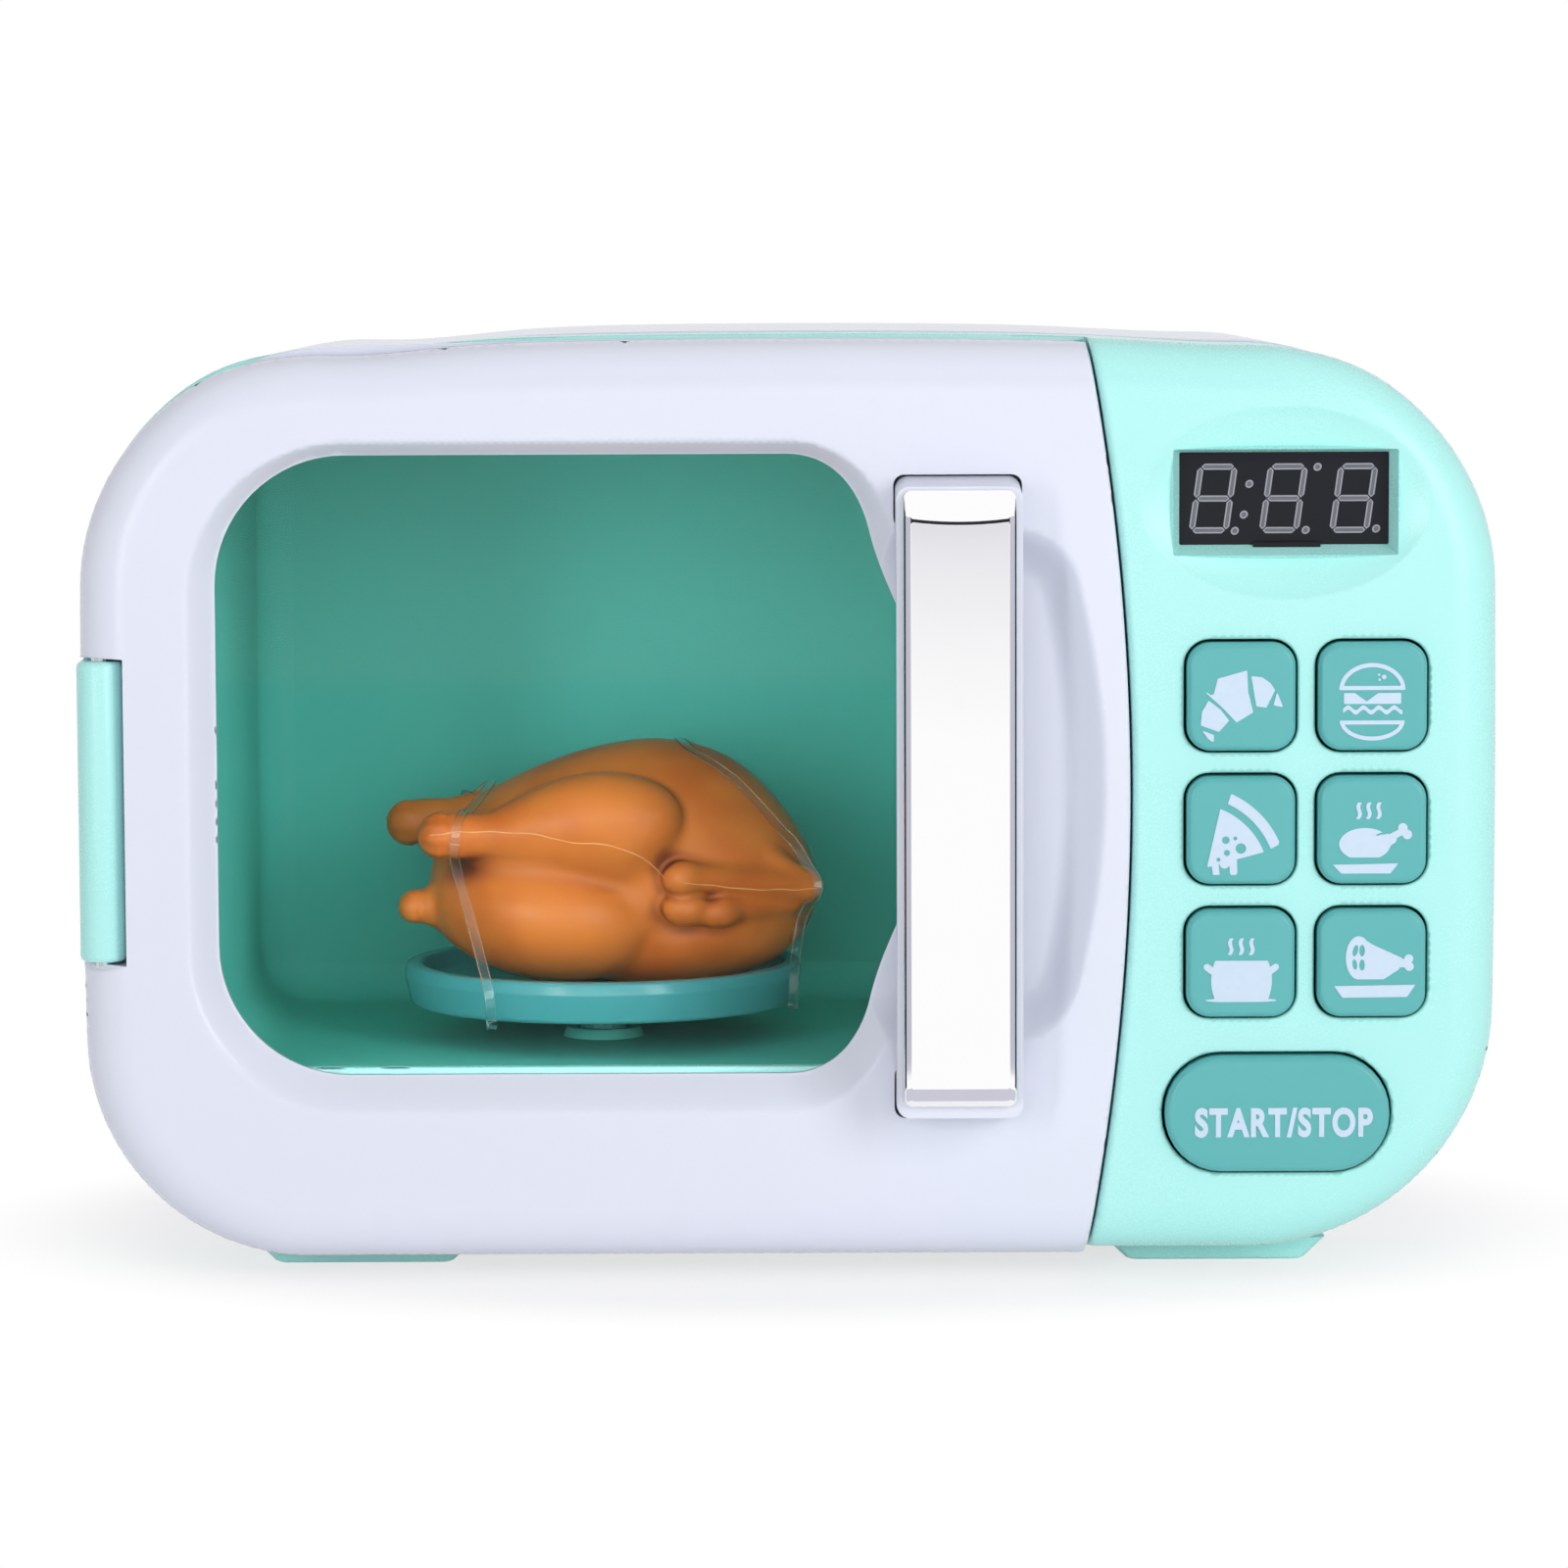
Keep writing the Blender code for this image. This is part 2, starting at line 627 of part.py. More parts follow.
# Front surface of the body
def front_rings(inset, back, steps=PILLOW_STEPS, offset=0.0):
    """Rings of the body from a back depth round the soft front edge to the flat face."""
    rings = [at_depth(body_outline(inset + offset), back)]
    width = PILLOW_WIDTH * (INNER_PILLOW_SHARE if offset else 1)
    for step in range(steps + 1):
        angle = math.pi / 2 * (1 - step / steps)
        drawn_in = width * (1 - math.sin(angle))
        depth = PILLOW_DEPTH * (1 - math.cos(angle))
        rings.append(at_depth(body_outline(inset + offset + drawn_in), depth + offset))
    return rings


def stack(sections):
    """A loft through (outline, depth) pairs."""
    return loft([at_depth(points, depth) for points, depth in sections])


def dish(deeper=0.0):
    """The shallow oval dish round the display: a cap of an ellipsoid."""
    spread = math.sin(DISH_CAP_ANGLE)
    radius_y = DISH_DEPTH / (1 - math.cos(DISH_CAP_ANGLE))
    centre = (DISPLAY_X, deeper - radius_y * math.cos(DISH_CAP_ANGLE), DISPLAY_Z)
    source = bmesh.new()
    bmesh.ops.create_uvsphere(source, u_segments=28, v_segments=12, radius=1.0)
    place = Matrix.Translation(centre) @ Matrix.Diagonal(
        (DISH_HALF_WIDTH / spread, radius_y, DISH_HALF_HEIGHT / spread, 1.0)) @ Matrix.Rotation(
            math.pi / 2, 4, "X")
    bmesh.ops.transform(source, matrix=place, verts=source.verts)
    return source


def button_places():
    """Name, centre, width, height and corner radius of every button opening."""
    places = []
    for number, name in enumerate(BUTTON_NAMES):
        column = number % 2
        row = number // 2
        x = BUTTONS_X + (column - 0.5) * BUTTON_PITCH_ACROSS
        z = FIRST_ROW_Z - row * BUTTON_PITCH_DOWN
        places.append((name, x, z, BUTTON_WIDTH, BUTTON_HEIGHT, BUTTON_RADIUS))
    places.append(("start_stop_button", START_X, START_Z, START_WIDTH, START_HEIGHT,
                   START_HEIGHT / 2 - FIT_GAP))
    return places


def board_edges():
    """Left, right, bottom and top of the circuit board, from the buttons it serves."""
    left = START_X - START_WIDTH / 2 - BOARD_MARGIN
    right = BUTTONS_X + BUTTON_PITCH_ACROSS / 2 + BUTTON_WIDTH / 2 + BOARD_MARGIN
    bottom = START_Z - START_HEIGHT / 4
    top = DISPLAY_Z - MODULE_HEIGHT / 2 - BOARD_MARGIN * 2
    return left, right, bottom, top


def board_post_places():
    left, right, bottom, top = board_edges()
    inset = BOARD_POST_RADIUS + BOARD_MARGIN
    row_gap = FIRST_ROW_Z - BUTTON_PITCH_DOWN / 2
    low_gap = FIRST_ROW_Z - BUTTON_PITCH_DOWN * 1.5
    middle = BUTTONS_X
    above = ROWS_TOP + BUTTON_FLANGE + BOARD_POST_RADIUS + BOARD_MARGIN / 2
    return ((middle, row_gap), (middle, low_gap), (left + inset, above), (right - inset, above))


def foot(centre_x, near):
    """A low foot with slanted ends, under the body."""
    low = -HALF_HEIGHT - FOOT_HEIGHT
    high = -HALF_HEIGHT + WALL / 2
    half = FOOT_WIDTH / 2
    outline = [(centre_x - half, low), (centre_x + half, low), (centre_x + half + FOOT_SLANT, high),
               (centre_x - half - FOOT_SLANT, high)]
    return prism(outline, near, near + FOOT_LENGTH)


def feet_x():
    return (LEFT_FOOT_FROM_SIDE - HALF_WIDTH, HALF_WIDTH - RIGHT_FOOT_FROM_SIDE)


# Housing
def make_front_housing():
    """Mint front shell: panel on the right, door frame on the left, hinge barrel and front feet."""
    housing = add_part("front_housing", loft(front_rings(0.0, HOUSING_DEPTH)), "mint_plastic")
    cut(housing, "door_pocket", prism(left_of_door_edge(DOOR_EDGE_GAP), -OVERRUN, FRAME_FACE))

    hollow = add_tool("housing_hollow", loft(front_rings(0.0, HOUSING_DEPTH + OVERRUN, 3, WALL)))
    cut(hollow, "behind_door_wall", prism(left_of_door_edge(DOOR_EDGE_GAP + WALL), -OVERRUN,
                                          FRAME_FACE + WALL))
    cut(hollow, "dish_wall", dish(WALL))
    cut(hollow, "display_collar", block(
        DISPLAY_X - DISPLAY_OPENING_WIDTH / 2 - WALL, DISPLAY_X + DISPLAY_OPENING_WIDTH / 2 + WALL,
        0, DISPLAY_FACE_DEPTH, DISPLAY_Z - DISPLAY_OPENING_HEIGHT / 2 - WALL,
        DISPLAY_Z + DISPLAY_OPENING_HEIGHT / 2 + WALL))
    boolean(housing, hollow, "DIFFERENCE")

    cut(housing, "dish", dish())
    cut(housing, "display_opening", stack((
        (square(DISPLAY_X, DISPLAY_Z, DISPLAY_OPENING_WIDTH, DISPLAY_OPENING_HEIGHT, FIT_GAP, 1), -OVERRUN),
        (square(DISPLAY_X, DISPLAY_Z, DISPLAY_OPENING_WIDTH, DISPLAY_OPENING_HEIGHT, FIT_GAP, 1), 0),
        (square(DISPLAY_X, DISPLAY_Z, DISPLAY_SIGHT_WIDTH, DISPLAY_SIGHT_HEIGHT, FIT_GAP, 1),
         DISPLAY_FACE_DEPTH + OVERRUN))))
    cut(housing, "button_openings", together(
        [prism(square(x, z, width, height, radius), -OVERRUN, WALL + OVERRUN)
         for name, x, z, width, height, radius in button_places()]))
    cut(housing, "oven_opening", prism(
        rounded_box(CAVITY_LEFT, CAVITY_RIGHT, CAVITY_FLOOR, CAVITY_TOP, (CAVITY_RADIUS,) * 4),
        FRAME_FACE - OVERRUN, FRAME_FACE + WALL + OVERRUN))
    latch_x = DOOR_EDGE - LATCH_FROM_DOOR_EDGE
    cut(housing, "latch_slot", block(
        latch_x - LATCH_WIDTH / 2 - LATCH_CLEARANCE, latch_x + LATCH_WIDTH / 2 + LATCH_CLEARANCE,
        FRAME_FACE - OVERRUN, FRAME_FACE + WALL + OVERRUN,
        -LATCH_HEIGHT / 2 - LATCH_CLEARANCE, LATCH_HEIGHT / 2 + LATCH_CLEARANCE))

    join(housing, "hinge_barrel", hinge_barrel())
    cut(housing, "hinge_bore", pin_rod(HINGE_PIN_RADIUS + PIN_CLEARANCE, BARREL_HEIGHT))
    join(housing, "front_feet", together([foot(x, FRONT_FOOT_DEPTH) for x in feet_x()]))
    join(housing, "screw_posts", together(
        [rod(POST_RADIUS, (x, FRAME_FACE + WALL / 2 if x < DOOR_EDGE else WALL / 2, z),
             (x, SCREW_JOINT_DEPTH, z), 12) for x, z in SCREW_PLACES]))
    cut(housing, "screw_pilots", together(
        [rod(SCREW_RADIUS + FIT_GAP, (x, SCREW_JOINT_DEPTH - SCREW_LENGTH, z),
             (x, SCREW_JOINT_DEPTH + OVERRUN, z), 8) for x, z in SCREW_PLACES]))
    join(housing, "board_posts", together(
        [rod(BOARD_POST_RADIUS, (x, WALL / 2, z), (x, BOARD_DEPTH - FIT_GAP, z), 8)
         for x, z in board_post_places()]))


def hinge_barrel():
    """The barrel and the web that ties it to the frame, one closed outline seen from above."""
    low = BARREL_Z - BARREL_HEIGHT / 2
    high = BARREL_Z + BARREL_HEIGHT / 2
    end = FRAME_FACE + WALL / 2
    outline = [(HINGE_X - BARREL_RADIUS, end)]
    for x, y in arc(HINGE_X, HINGE_DEPTH, BARREL_RADIUS, BARREL_RADIUS, 180, 400, 12):
        outline.append((x, y))
    outline.append((HINGE_X - BARREL_RADIUS + BARREL_WEB, HINGE_DEPTH + BARREL_RADIUS))
    outline.append((HINGE_X - BARREL_RADIUS + BARREL_WEB, end))
    return loft([[(x, y, z) for x, y in outline] for z in (low, high)])


def pin_rod(radius, half_height):
    """A rod on the hinge's axis, about the middle of the barrel."""
    return rod(radius, (HINGE_X, HINGE_DEPTH, BARREL_Z - half_height),
               (HINGE_X, HINGE_DEPTH, BARREL_Z + half_height), 12)


def make_rear_cover():
    """White rear shell with screw sockets, loudspeaker slots, battery opening and rear feet."""
    near = HOUSING_DEPTH + FIT_GAP
    sections = [(body_outline(COVER_INSET), near)]
    inner = [(body_outline(COVER_INSET + WALL), near - OVERRUN)]
    for step in range(4):
        angle = math.pi / 2 * step / 3
        drawn_in = COVER_ROUND * (1 - math.cos(angle))
        depth = BODY_DEPTH - COVER_ROUND * (1 - math.sin(angle))
        sections.append((body_outline(COVER_INSET + drawn_in), depth))
        inner.append((body_outline(COVER_INSET + WALL + drawn_in), depth - WALL))
    cover = add_part("rear_cover", stack(sections), "white_plastic")
    cut(cover, "cover_hollow", stack(inner))
    rear_foot = BODY_DEPTH - REAR_FOOT_FROM_BACK
    join(cover, "rear_feet", together([foot(x, rear_foot) for x in feet_x()]))
    join(cover, "screw_sockets", together(
        [rod(SCREW_HEAD_RADIUS + FIT_GAP + SOCKET_WALL, (x, SCREW_JOINT_DEPTH + FIT_GAP, z),
             (x, BODY_DEPTH - WALL / 2, z), 12) for x, z in SCREW_PLACES]))
    cut(cover, "socket_bores", together(
        [rod(SCREW_HEAD_RADIUS + FIT_GAP, (x, SCREW_JOINT_DEPTH + FIT_GAP + SOCKET_FLOOR, z),
             (x, BODY_DEPTH + OVERRUN, z), 12) for x, z in SCREW_PLACES]))
    cut(cover, "socket_holes", together(
        [rod(SCREW_RADIUS + FIT_GAP, (x, SCREW_JOINT_DEPTH - OVERRUN, z),
             (x, SCREW_JOINT_DEPTH + SOCKET_FLOOR + OVERRUN, z), 8) for x, z in SCREW_PLACES]))
    cut(cover, "battery_opening", prism(
        square(BATTERY_X, BATTERY_Z, BATTERY_WIDTH, BATTERY_HEIGHT, BATTERY_DOOR_RADIUS, 2),
        BODY_DEPTH - WALL - OVERRUN, BODY_DEPTH + OVERRUN))
    door_width = BATTERY_WIDTH + (BATTERY_DOOR_LIP + FIT_GAP) * 2
    door_height = BATTERY_HEIGHT + (BATTERY_DOOR_LIP + FIT_GAP) * 2
    cut(cover, "battery_door_rebate", prism(
        square(BATTERY_X, BATTERY_Z, door_width, door_height, BATTERY_DOOR_RADIUS + BATTERY_DOOR_LIP, 2),
        BODY_DEPTH - WALL / 2, BODY_DEPTH + OVERRUN))
    cut(cover, "speaker_slots", together(speaker_slots()))
    join(cover, "speaker_ring", speaker_ring())


def speaker_slots():
    """Upright slots through the back wall, longer at the middle of the round loudspeaker."""
    slots = []
    for number in range(SLOT_COUNT):
        x = (number - (SLOT_COUNT - 1) / 2) * SLOT_PITCH
        half = math.sqrt((SPEAKER_RADIUS - SLOT_WIDTH) ** 2 - x * x)
        slots.append(prism(square(SPEAKER_X + x, SPEAKER_Z, SLOT_WIDTH, half * 2, SLOT_WIDTH / 3, 1),
                           BODY_DEPTH - WALL - OVERRUN, BODY_DEPTH + OVERRUN))
    return slots


def speaker_ring():
    """The wall round the loudspeaker that keeps it in place, a ring with two flat ends."""
    inner = SPEAKER_RADIUS + FIT_GAP
    outer = inner + SPEAKER_RING
    far = BODY_DEPTH - WALL / 2
    near = BODY_DEPTH - WALL - SPEAKER_THICKNESS
    source = bmesh.new()
    rows = []
    for radius, depth in ((inner, near), (outer, near), (outer, far), (inner, far)):
        rows.append([source.verts.new((x, depth, z)) for x, z in circle(SPEAKER_X, SPEAKER_Z, radius, 18)])
    for number, row in enumerate(rows):
        following = rows[(number + 1) % len(rows)]
        for step in range(len(row)):
            after = (step + 1) % len(row)
            source.faces.new((row[step], row[after], following[after], following[step]))
    return source


# Oven cavity
def make_cavity_liner():
    """The oven's inside: a deep tray with a flange behind the frame and a collar for the spindle."""
    near = FRAME_FACE + WALL + FIT_GAP

    def outline(grow):
        return rounded_box(CAVITY_LEFT - grow, CAVITY_RIGHT + grow, CAVITY_FLOOR - grow, CAVITY_TOP + grow,
                           (CAVITY_RADIUS + grow,) * 4, 4)

    liner = add_part("cavity_liner", stack((
        (outline(LINER_FLANGE), near), (outline(LINER_FLANGE), near + LINER_WALL),
        (outline(LINER_WALL), near + LINER_WALL),
        (outline(LINER_WALL), CAVITY_END - CAVITY_RADIUS / 2),
        (outline(LINER_WALL - CAVITY_RADIUS / 6), CAVITY_END - CAVITY_RADIUS / 7),
        (outline(LINER_WALL - CAVITY_RADIUS / 2), CAVITY_END + LINER_WALL))), "liner_plastic")
    cut(liner, "cavity_room", stack((
        (outline(0), near - OVERRUN), (outline(0), CAVITY_END - CAVITY_RADIUS / 2),
        (outline(-CAVITY_RADIUS / 6), CAVITY_END - CAVITY_RADIUS / 7),
        (outline(-CAVITY_RADIUS / 2), CAVITY_END))))
    join(liner, "spindle_collar", rod(
        COLLAR_FOOT_RADIUS, (TABLE_X, TABLE_Y, CAVITY_FLOOR - LINER_WALL / 2),
        (TABLE_X, TABLE_Y, CAVITY_FLOOR + LINER_WALL), 20, COLLAR_TOP_RADIUS))
    cut(liner, "spindle_hole", rod(SPINDLE_RADIUS + FIT_GAP, (TABLE_X, TABLE_Y, CAVITY_FLOOR - WALL * 2),
                                   (TABLE_X, TABLE_Y, CAVITY_FLOOR + WALL * 2), 20))


# Door
def make_door(hinge):
    make_door_frame(hinge)
    make_door_back_frame(hinge)
    add_part("door_window", prism(window_outline(PANE_MARGIN, PANE_MARGIN, PANE_MARGIN), PANE_FRONT,
                                  PANE_FRONT + PANE_THICKNESS), "clear_plastic", hinge)
    make_handle(hinge)
    half_pin = BARREL_HEIGHT / 2 + PIN_IN_KNUCKLE
    add_part("hinge_pin", pin_rod(HINGE_PIN_RADIUS, half_pin), "steel", hinge)
    make_latch(hinge)


def notch(grow):
    """The room that the hinge barrel takes out of the door's left edge."""
    half = BARREL_HEIGHT / 2 + NOTCH_GAP + grow
    return block(-HALF_WIDTH - OVERRUN * 2, HINGE_X + BARREL_RADIUS + NOTCH_GAP + grow, -OVERRUN,
                 DOOR_THICKNESS + OVERRUN, BARREL_Z - half, BARREL_Z + half)


def scoop(grow, bottom):
    """The finger scoop's cutter: an S-shaped wall down to a flat floor."""
    sections = [(scoop_outline(-grow), -OVERRUN)]
    for run_share, depth_share in SCOOP_PROFILE_SHARES:
        sections.append((scoop_outline(run_share * SCOOP_RUN - grow), depth_share * bottom))
    return stack(sections)


def window_hole(bottom):
    """The window's cutter: a hollow bevel all round, then straight through the door."""
    sections = [(window_outline(BEVEL_SIDE, BEVEL_TOP, BEVEL_BOTTOM), -OVERRUN)]
    for margin_share, depth_share in BEVEL_PROFILE_SHARES:
        outline = window_outline(BEVEL_SIDE * margin_share, BEVEL_TOP * margin_share,
                                 BEVEL_BOTTOM * margin_share)
        sections.append((outline, depth_share * RECESS_DEPTH))
    sections.append((window_outline(), bottom))
    return stack(sections)


def pocket(centre_z, gap):
    """The seat of one handle leg in the door's face."""
    return square(HANDLE_X, centre_z, HANDLE_WIDTH + gap * 2, HANDLE_LEG + gap * 2,
                  HANDLE_EDGE_ROUND / 2 + gap, 2)


def handle_leg_places():
    reach = (HANDLE_HEIGHT - HANDLE_LEG) / 2
    return (HANDLE_RISE + reach, HANDLE_RISE - reach)


def make_door_frame(hinge):
    """White outer moulding: soft outer edge, bevelled window, finger scoop and hinge notch."""
    frame = add_part("door_frame", loft(front_rings(DOOR_INSET, DOOR_FRONT_DEPTH)), "white_plastic", hinge)
    beyond = DOOR_EDGE_DRAFT * OVERRUN / DOOR_FRONT_DEPTH
    cut(frame, "panel_side", loft([
        at_depth(right_of_door(beyond), -OVERRUN),
        at_depth(right_of_door(-DOOR_EDGE_DRAFT - beyond), DOOR_FRONT_DEPTH + OVERRUN)]))

    hollow = add_tool("door_hollow", loft(front_rings(DOOR_INSET, DOOR_FRONT_DEPTH + OVERRUN, 3, WALL)))
    cut(hollow, "door_right_wall", prism(right_of_door(-DOOR_EDGE_DRAFT - WALL), -OVERRUN,
                                         DOOR_FRONT_DEPTH + OVERRUN * 2))
    rim_back = RECESS_DEPTH + RIM_THICKNESS
    cut(hollow, "window_surround", prism(
        window_outline(BEVEL_SIDE + WALL, BEVEL_TOP + WALL, BEVEL_BOTTOM + WALL), -OVERRUN, rim_back))
    cut(hollow, "scoop_wall", scoop(WALL, rim_back))
    cut(hollow, "notch_wall", notch(WALL))
    cut(hollow, "knuckle_blocks", together([
        block(-HALF_WIDTH - OVERRUN * 2, HINGE_X + BARREL_RADIUS, -OVERRUN, HINGE_DEPTH + BARREL_RADIUS,
              BARREL_Z + side * (BARREL_HEIGHT / 2 + KNUCKLE_HEIGHT / 2) - KNUCKLE_HEIGHT / 2,
              BARREL_Z + side * (BARREL_HEIGHT / 2 + KNUCKLE_HEIGHT / 2) + KNUCKLE_HEIGHT / 2)
        for side in (-1, 1)]))
    boolean(frame, hollow, "DIFFERENCE")

    cut(frame, "window_hole", window_hole(DOOR_THICKNESS))
    cut(frame, "finger_scoop", scoop(0.0, RECESS_DEPTH))
    cut(frame, "hinge_notch", notch(0.0))
    cut(frame, "pin_bores", pin_rod(HINGE_PIN_RADIUS + PIN_CLEARANCE,
                                    BARREL_HEIGHT / 2 + PIN_IN_KNUCKLE + FIT_GAP))
    cut(frame, "handle_pockets", together(
        [prism(pocket(z, FIT_GAP), -OVERRUN, HANDLE_POCKET + FIT_GAP) for z in handle_leg_places()]))


def make_door_back_frame(hinge):
    """White inner moulding that closes the door and presses the window into its seat."""
    near = DOOR_FRONT_DEPTH + FIT_GAP
    plate = add_part("door_back_frame", stack((
        (body_outline(DOOR_INSET + BACK_FRAME_INSET), near),
        (body_outline(DOOR_INSET + BACK_FRAME_INSET + FIT_GAP), DOOR_THICKNESS))), "white_plastic", hinge)
    cut(plate, "back_frame_side", prism(right_of_door(-DOOR_EDGE_DRAFT - BACK_FRAME_INSET), near - OVERRUN,
                                        DOOR_THICKNESS + OVERRUN))
    join(plate, "window_collar", prism(
        window_outline(COLLAR_CLEARANCE + PANE_THICKNESS, COLLAR_CLEARANCE + PANE_THICKNESS,
                       COLLAR_CLEARANCE + PANE_THICKNESS),
        PANE_FRONT + PANE_THICKNESS + FIT_GAP, near + WALL / 4))
    cut(plate, "window_way", prism(window_outline(COLLAR_CLEARANCE, COLLAR_CLEARANCE, COLLAR_CLEARANCE),
                                   0, DOOR_THICKNESS + OVERRUN))
    cut(plate, "back_notch", notch(FIT_GAP))


def make_handle(hinge):
    """White bridge seated in two pockets, with a chrome bar on its front."""
    half = HANDLE_HEIGHT / 2
    front = -HANDLE_REACH + BAR_THICKNESS + FIT_GAP
    inner = half - HANDLE_LEG
    side = [(HANDLE_POCKET, half), (0, half), (front, half - HANDLE_TAPER), (front, HANDLE_TAPER - half),
            (0, -half), (HANDLE_POCKET, -half), (HANDLE_POCKET, -inner), (0, -inner),
            (-HANDLE_BACK, HANDLE_LEG - inner), (-HANDLE_BACK, inner - HANDLE_LEG), (0, inner),
            (HANDLE_POCKET, inner)]
    base = add_part("handle_base", loft(
        [[(HANDLE_X + edge * HANDLE_WIDTH / 2, y, z + HANDLE_RISE) for y, z in side] for edge in (-1, 1)]),
        "white_plastic", hinge)
    round_edges(base, HANDLE_EDGE_ROUND / 2)
    top = HANDLE_RISE + BAR_RISE + BAR_HEIGHT / 2
    bottom = HANDLE_RISE + BAR_RISE - BAR_HEIGHT / 2
    back = BAR_THICKNESS - HANDLE_REACH
    side = [(back, top), (BAR_FACET_DROP - HANDLE_REACH, top), (-HANDLE_REACH, top - BAR_TOP_FACET),
            (-HANDLE_REACH, bottom + BAR_BOTTOM_FACET), (BAR_FACET_DROP - HANDLE_REACH, bottom),
            (back, bottom)]
    bar = add_part("handle_bar", loft(
        [[(HANDLE_X + edge * BAR_WIDTH / 2, y, z) for y, z in side] for edge in (-1, 1)]), "chrome", hinge)
    round_edges(bar, HANDLE_EDGE_ROUND / 2, 2, 50.0)


def make_latch(hinge):
    """A springy hook on the back of the door that snaps through the slot of the frame."""
    x = DOOR_EDGE - LATCH_FROM_DOOR_EDGE
    left = x - LATCH_WIDTH / 2
    near = DOOR_THICKNESS + FIT_GAP
    step = near + DOOR_TO_FRAME_GAP / 2
    tip = DOOR_THICKNESS + LATCH_REACH
    inner = left + LATCH_THICKNESS
    right = inner + LATCH_WIDTH
    outline = [(left - LATCH_THICKNESS, near), (right, near), (right, step), (inner, step),
               (inner, tip - LATCH_BARB * 2), (inner + LATCH_BARB, tip - LATCH_BARB),
               (left + LATCH_THICKNESS / 2, tip), (left, tip), (left, step), (left - LATCH_THICKNESS, step)]
    add_part("door_latch", loft([[(px, py, z) for px, py in outline]
                                 for z in (-LATCH_HEIGHT / 2, LATCH_HEIGHT / 2)]), "white_plastic", hinge)


# Turntable and its drive
def make_turntable(spin):
    """Plate on its spindle, and the gear under the floor that turns them."""
    edge = PLATE_EDGE
    inside = PLATE_RADIUS - PLATE_RIM
    socket = SPINDLE_SOCKET + FIT_GAP
    bore = SPINDLE_RADIUS + FIT_GAP
    profile = [(0, PLATE_FLOOR), (inside - edge, PLATE_FLOOR), (inside, PLATE_HEIGHT - edge),
               (inside + edge, PLATE_HEIGHT), (PLATE_RADIUS - edge, PLATE_HEIGHT),
               (PLATE_RADIUS, PLATE_HEIGHT - edge), (PLATE_RADIUS - edge / 2, edge * 2),
               (PLATE_RADIUS - edge * 2, 0), (bore, 0), (bore, socket), (0, socket)]
    turned("turntable_plate", profile, "teal_plastic", (TABLE_X, TABLE_Y, PLATE_BASE), spin)
    top = PLATE_BASE + SPINDLE_SOCKET
    shoulder = GEAR_TOP + FIT_GAP
    foot_end = BRACKET_TOP - BRACKET_THICKNESS - FIT_GAP
    profile = [(0, top), (SPINDLE_RADIUS - edge, top), (SPINDLE_RADIUS, top - edge),
               (SPINDLE_RADIUS, shoulder), (JOURNAL_RADIUS, shoulder), (JOURNAL_RADIUS, foot_end),
               (0, foot_end)]
    turned("drive_spindle", profile, "natural_plastic", (TABLE_X, TABLE_Y, 0), spin, 16)
    make_gear("turntable_gear", GEAR_TEETH, 0.5, JOURNAL_RADIUS + FIT_GAP, TABLE_X,
              GEAR_TOP - GEAR_THICKNESS, GEAR_TOP, spin)


def involute(angle):
    return math.tan(angle) - angle


def gear_outline(teeth, phase):
    """Tooth flanks as involutes of the base circle, thinned by the backlash."""
    pitch = teeth * GEAR_MODULE / 2
    base = pitch * math.cos(PRESSURE_ANGLE)
    tip = pitch + GEAR_MODULE * ADDENDUM_SHARE
    low = pitch - GEAR_MODULE * DEDENDUM_SHARE
    half_tooth = (math.pi * GEAR_MODULE / 2 - GEAR_BACKLASH) / 2 / pitch
    points = []
    for tooth in range(teeth):
        centre = (tooth + phase) * 2 * math.pi / teeth
        flank = []
        for radius in (low, pitch, tip):
            spread = half_tooth + involute(PRESSURE_ANGLE) - involute(math.acos(min(1.0, base / radius)))
            flank.append((radius, spread))
        points += [(radius, centre - spread) for radius, spread in flank]
        points += [(radius, centre + spread) for radius, spread in reversed(flank)]
    return [(radius * math.cos(angle), radius * math.sin(angle)) for radius, angle in points]


def make_gear(name, teeth, phase, bore, centre_x, bottom, top, parent):
    """A spur gear: a 2D curve with its bore as an inner outline, given a thickness."""
    curve = bpy.data.curves.new(name, "CURVE")
    curve.dimensions = "2D"
    curve.fill_mode = "BOTH"
    curve.extrude = (top - bottom) / 2
    outlines = [gear_outline(teeth, phase)]
    if bore > 0:
        outlines.append(circle(0, 0, bore, 16))
    for outline in outlines:
        spline = curve.splines.new("POLY")
        spline.points.add(len(outline) - 1)
        for point, (x, y) in zip(spline.points, outline):
            point.co = (x, y, 0, 1)
        spline.use_cyclic_u = True
    guide = bpy.data.objects.new(name + "_outline", curve)
    guide.location = (centre_x, TABLE_Y, (bottom + top) / 2)
    parts.objects.link(guide)
    bpy.context.view_layer.update()
    mesh = bpy.data.meshes.new_from_object(guide.evaluated_get(bpy.context.evaluated_depsgraph_get()))
    mesh.transform(guide.matrix_world)
    source = bmesh.new()
    source.from_mesh(mesh)
    bmesh.ops.remove_doubles(source, verts=source.verts, dist=WELD_DISTANCE)
    bpy.data.objects.remove(guide, do_unlink=True)
    bpy.data.meshes.remove(mesh)
    return add_part(name, source, "natural_plastic", parent, 25.0)


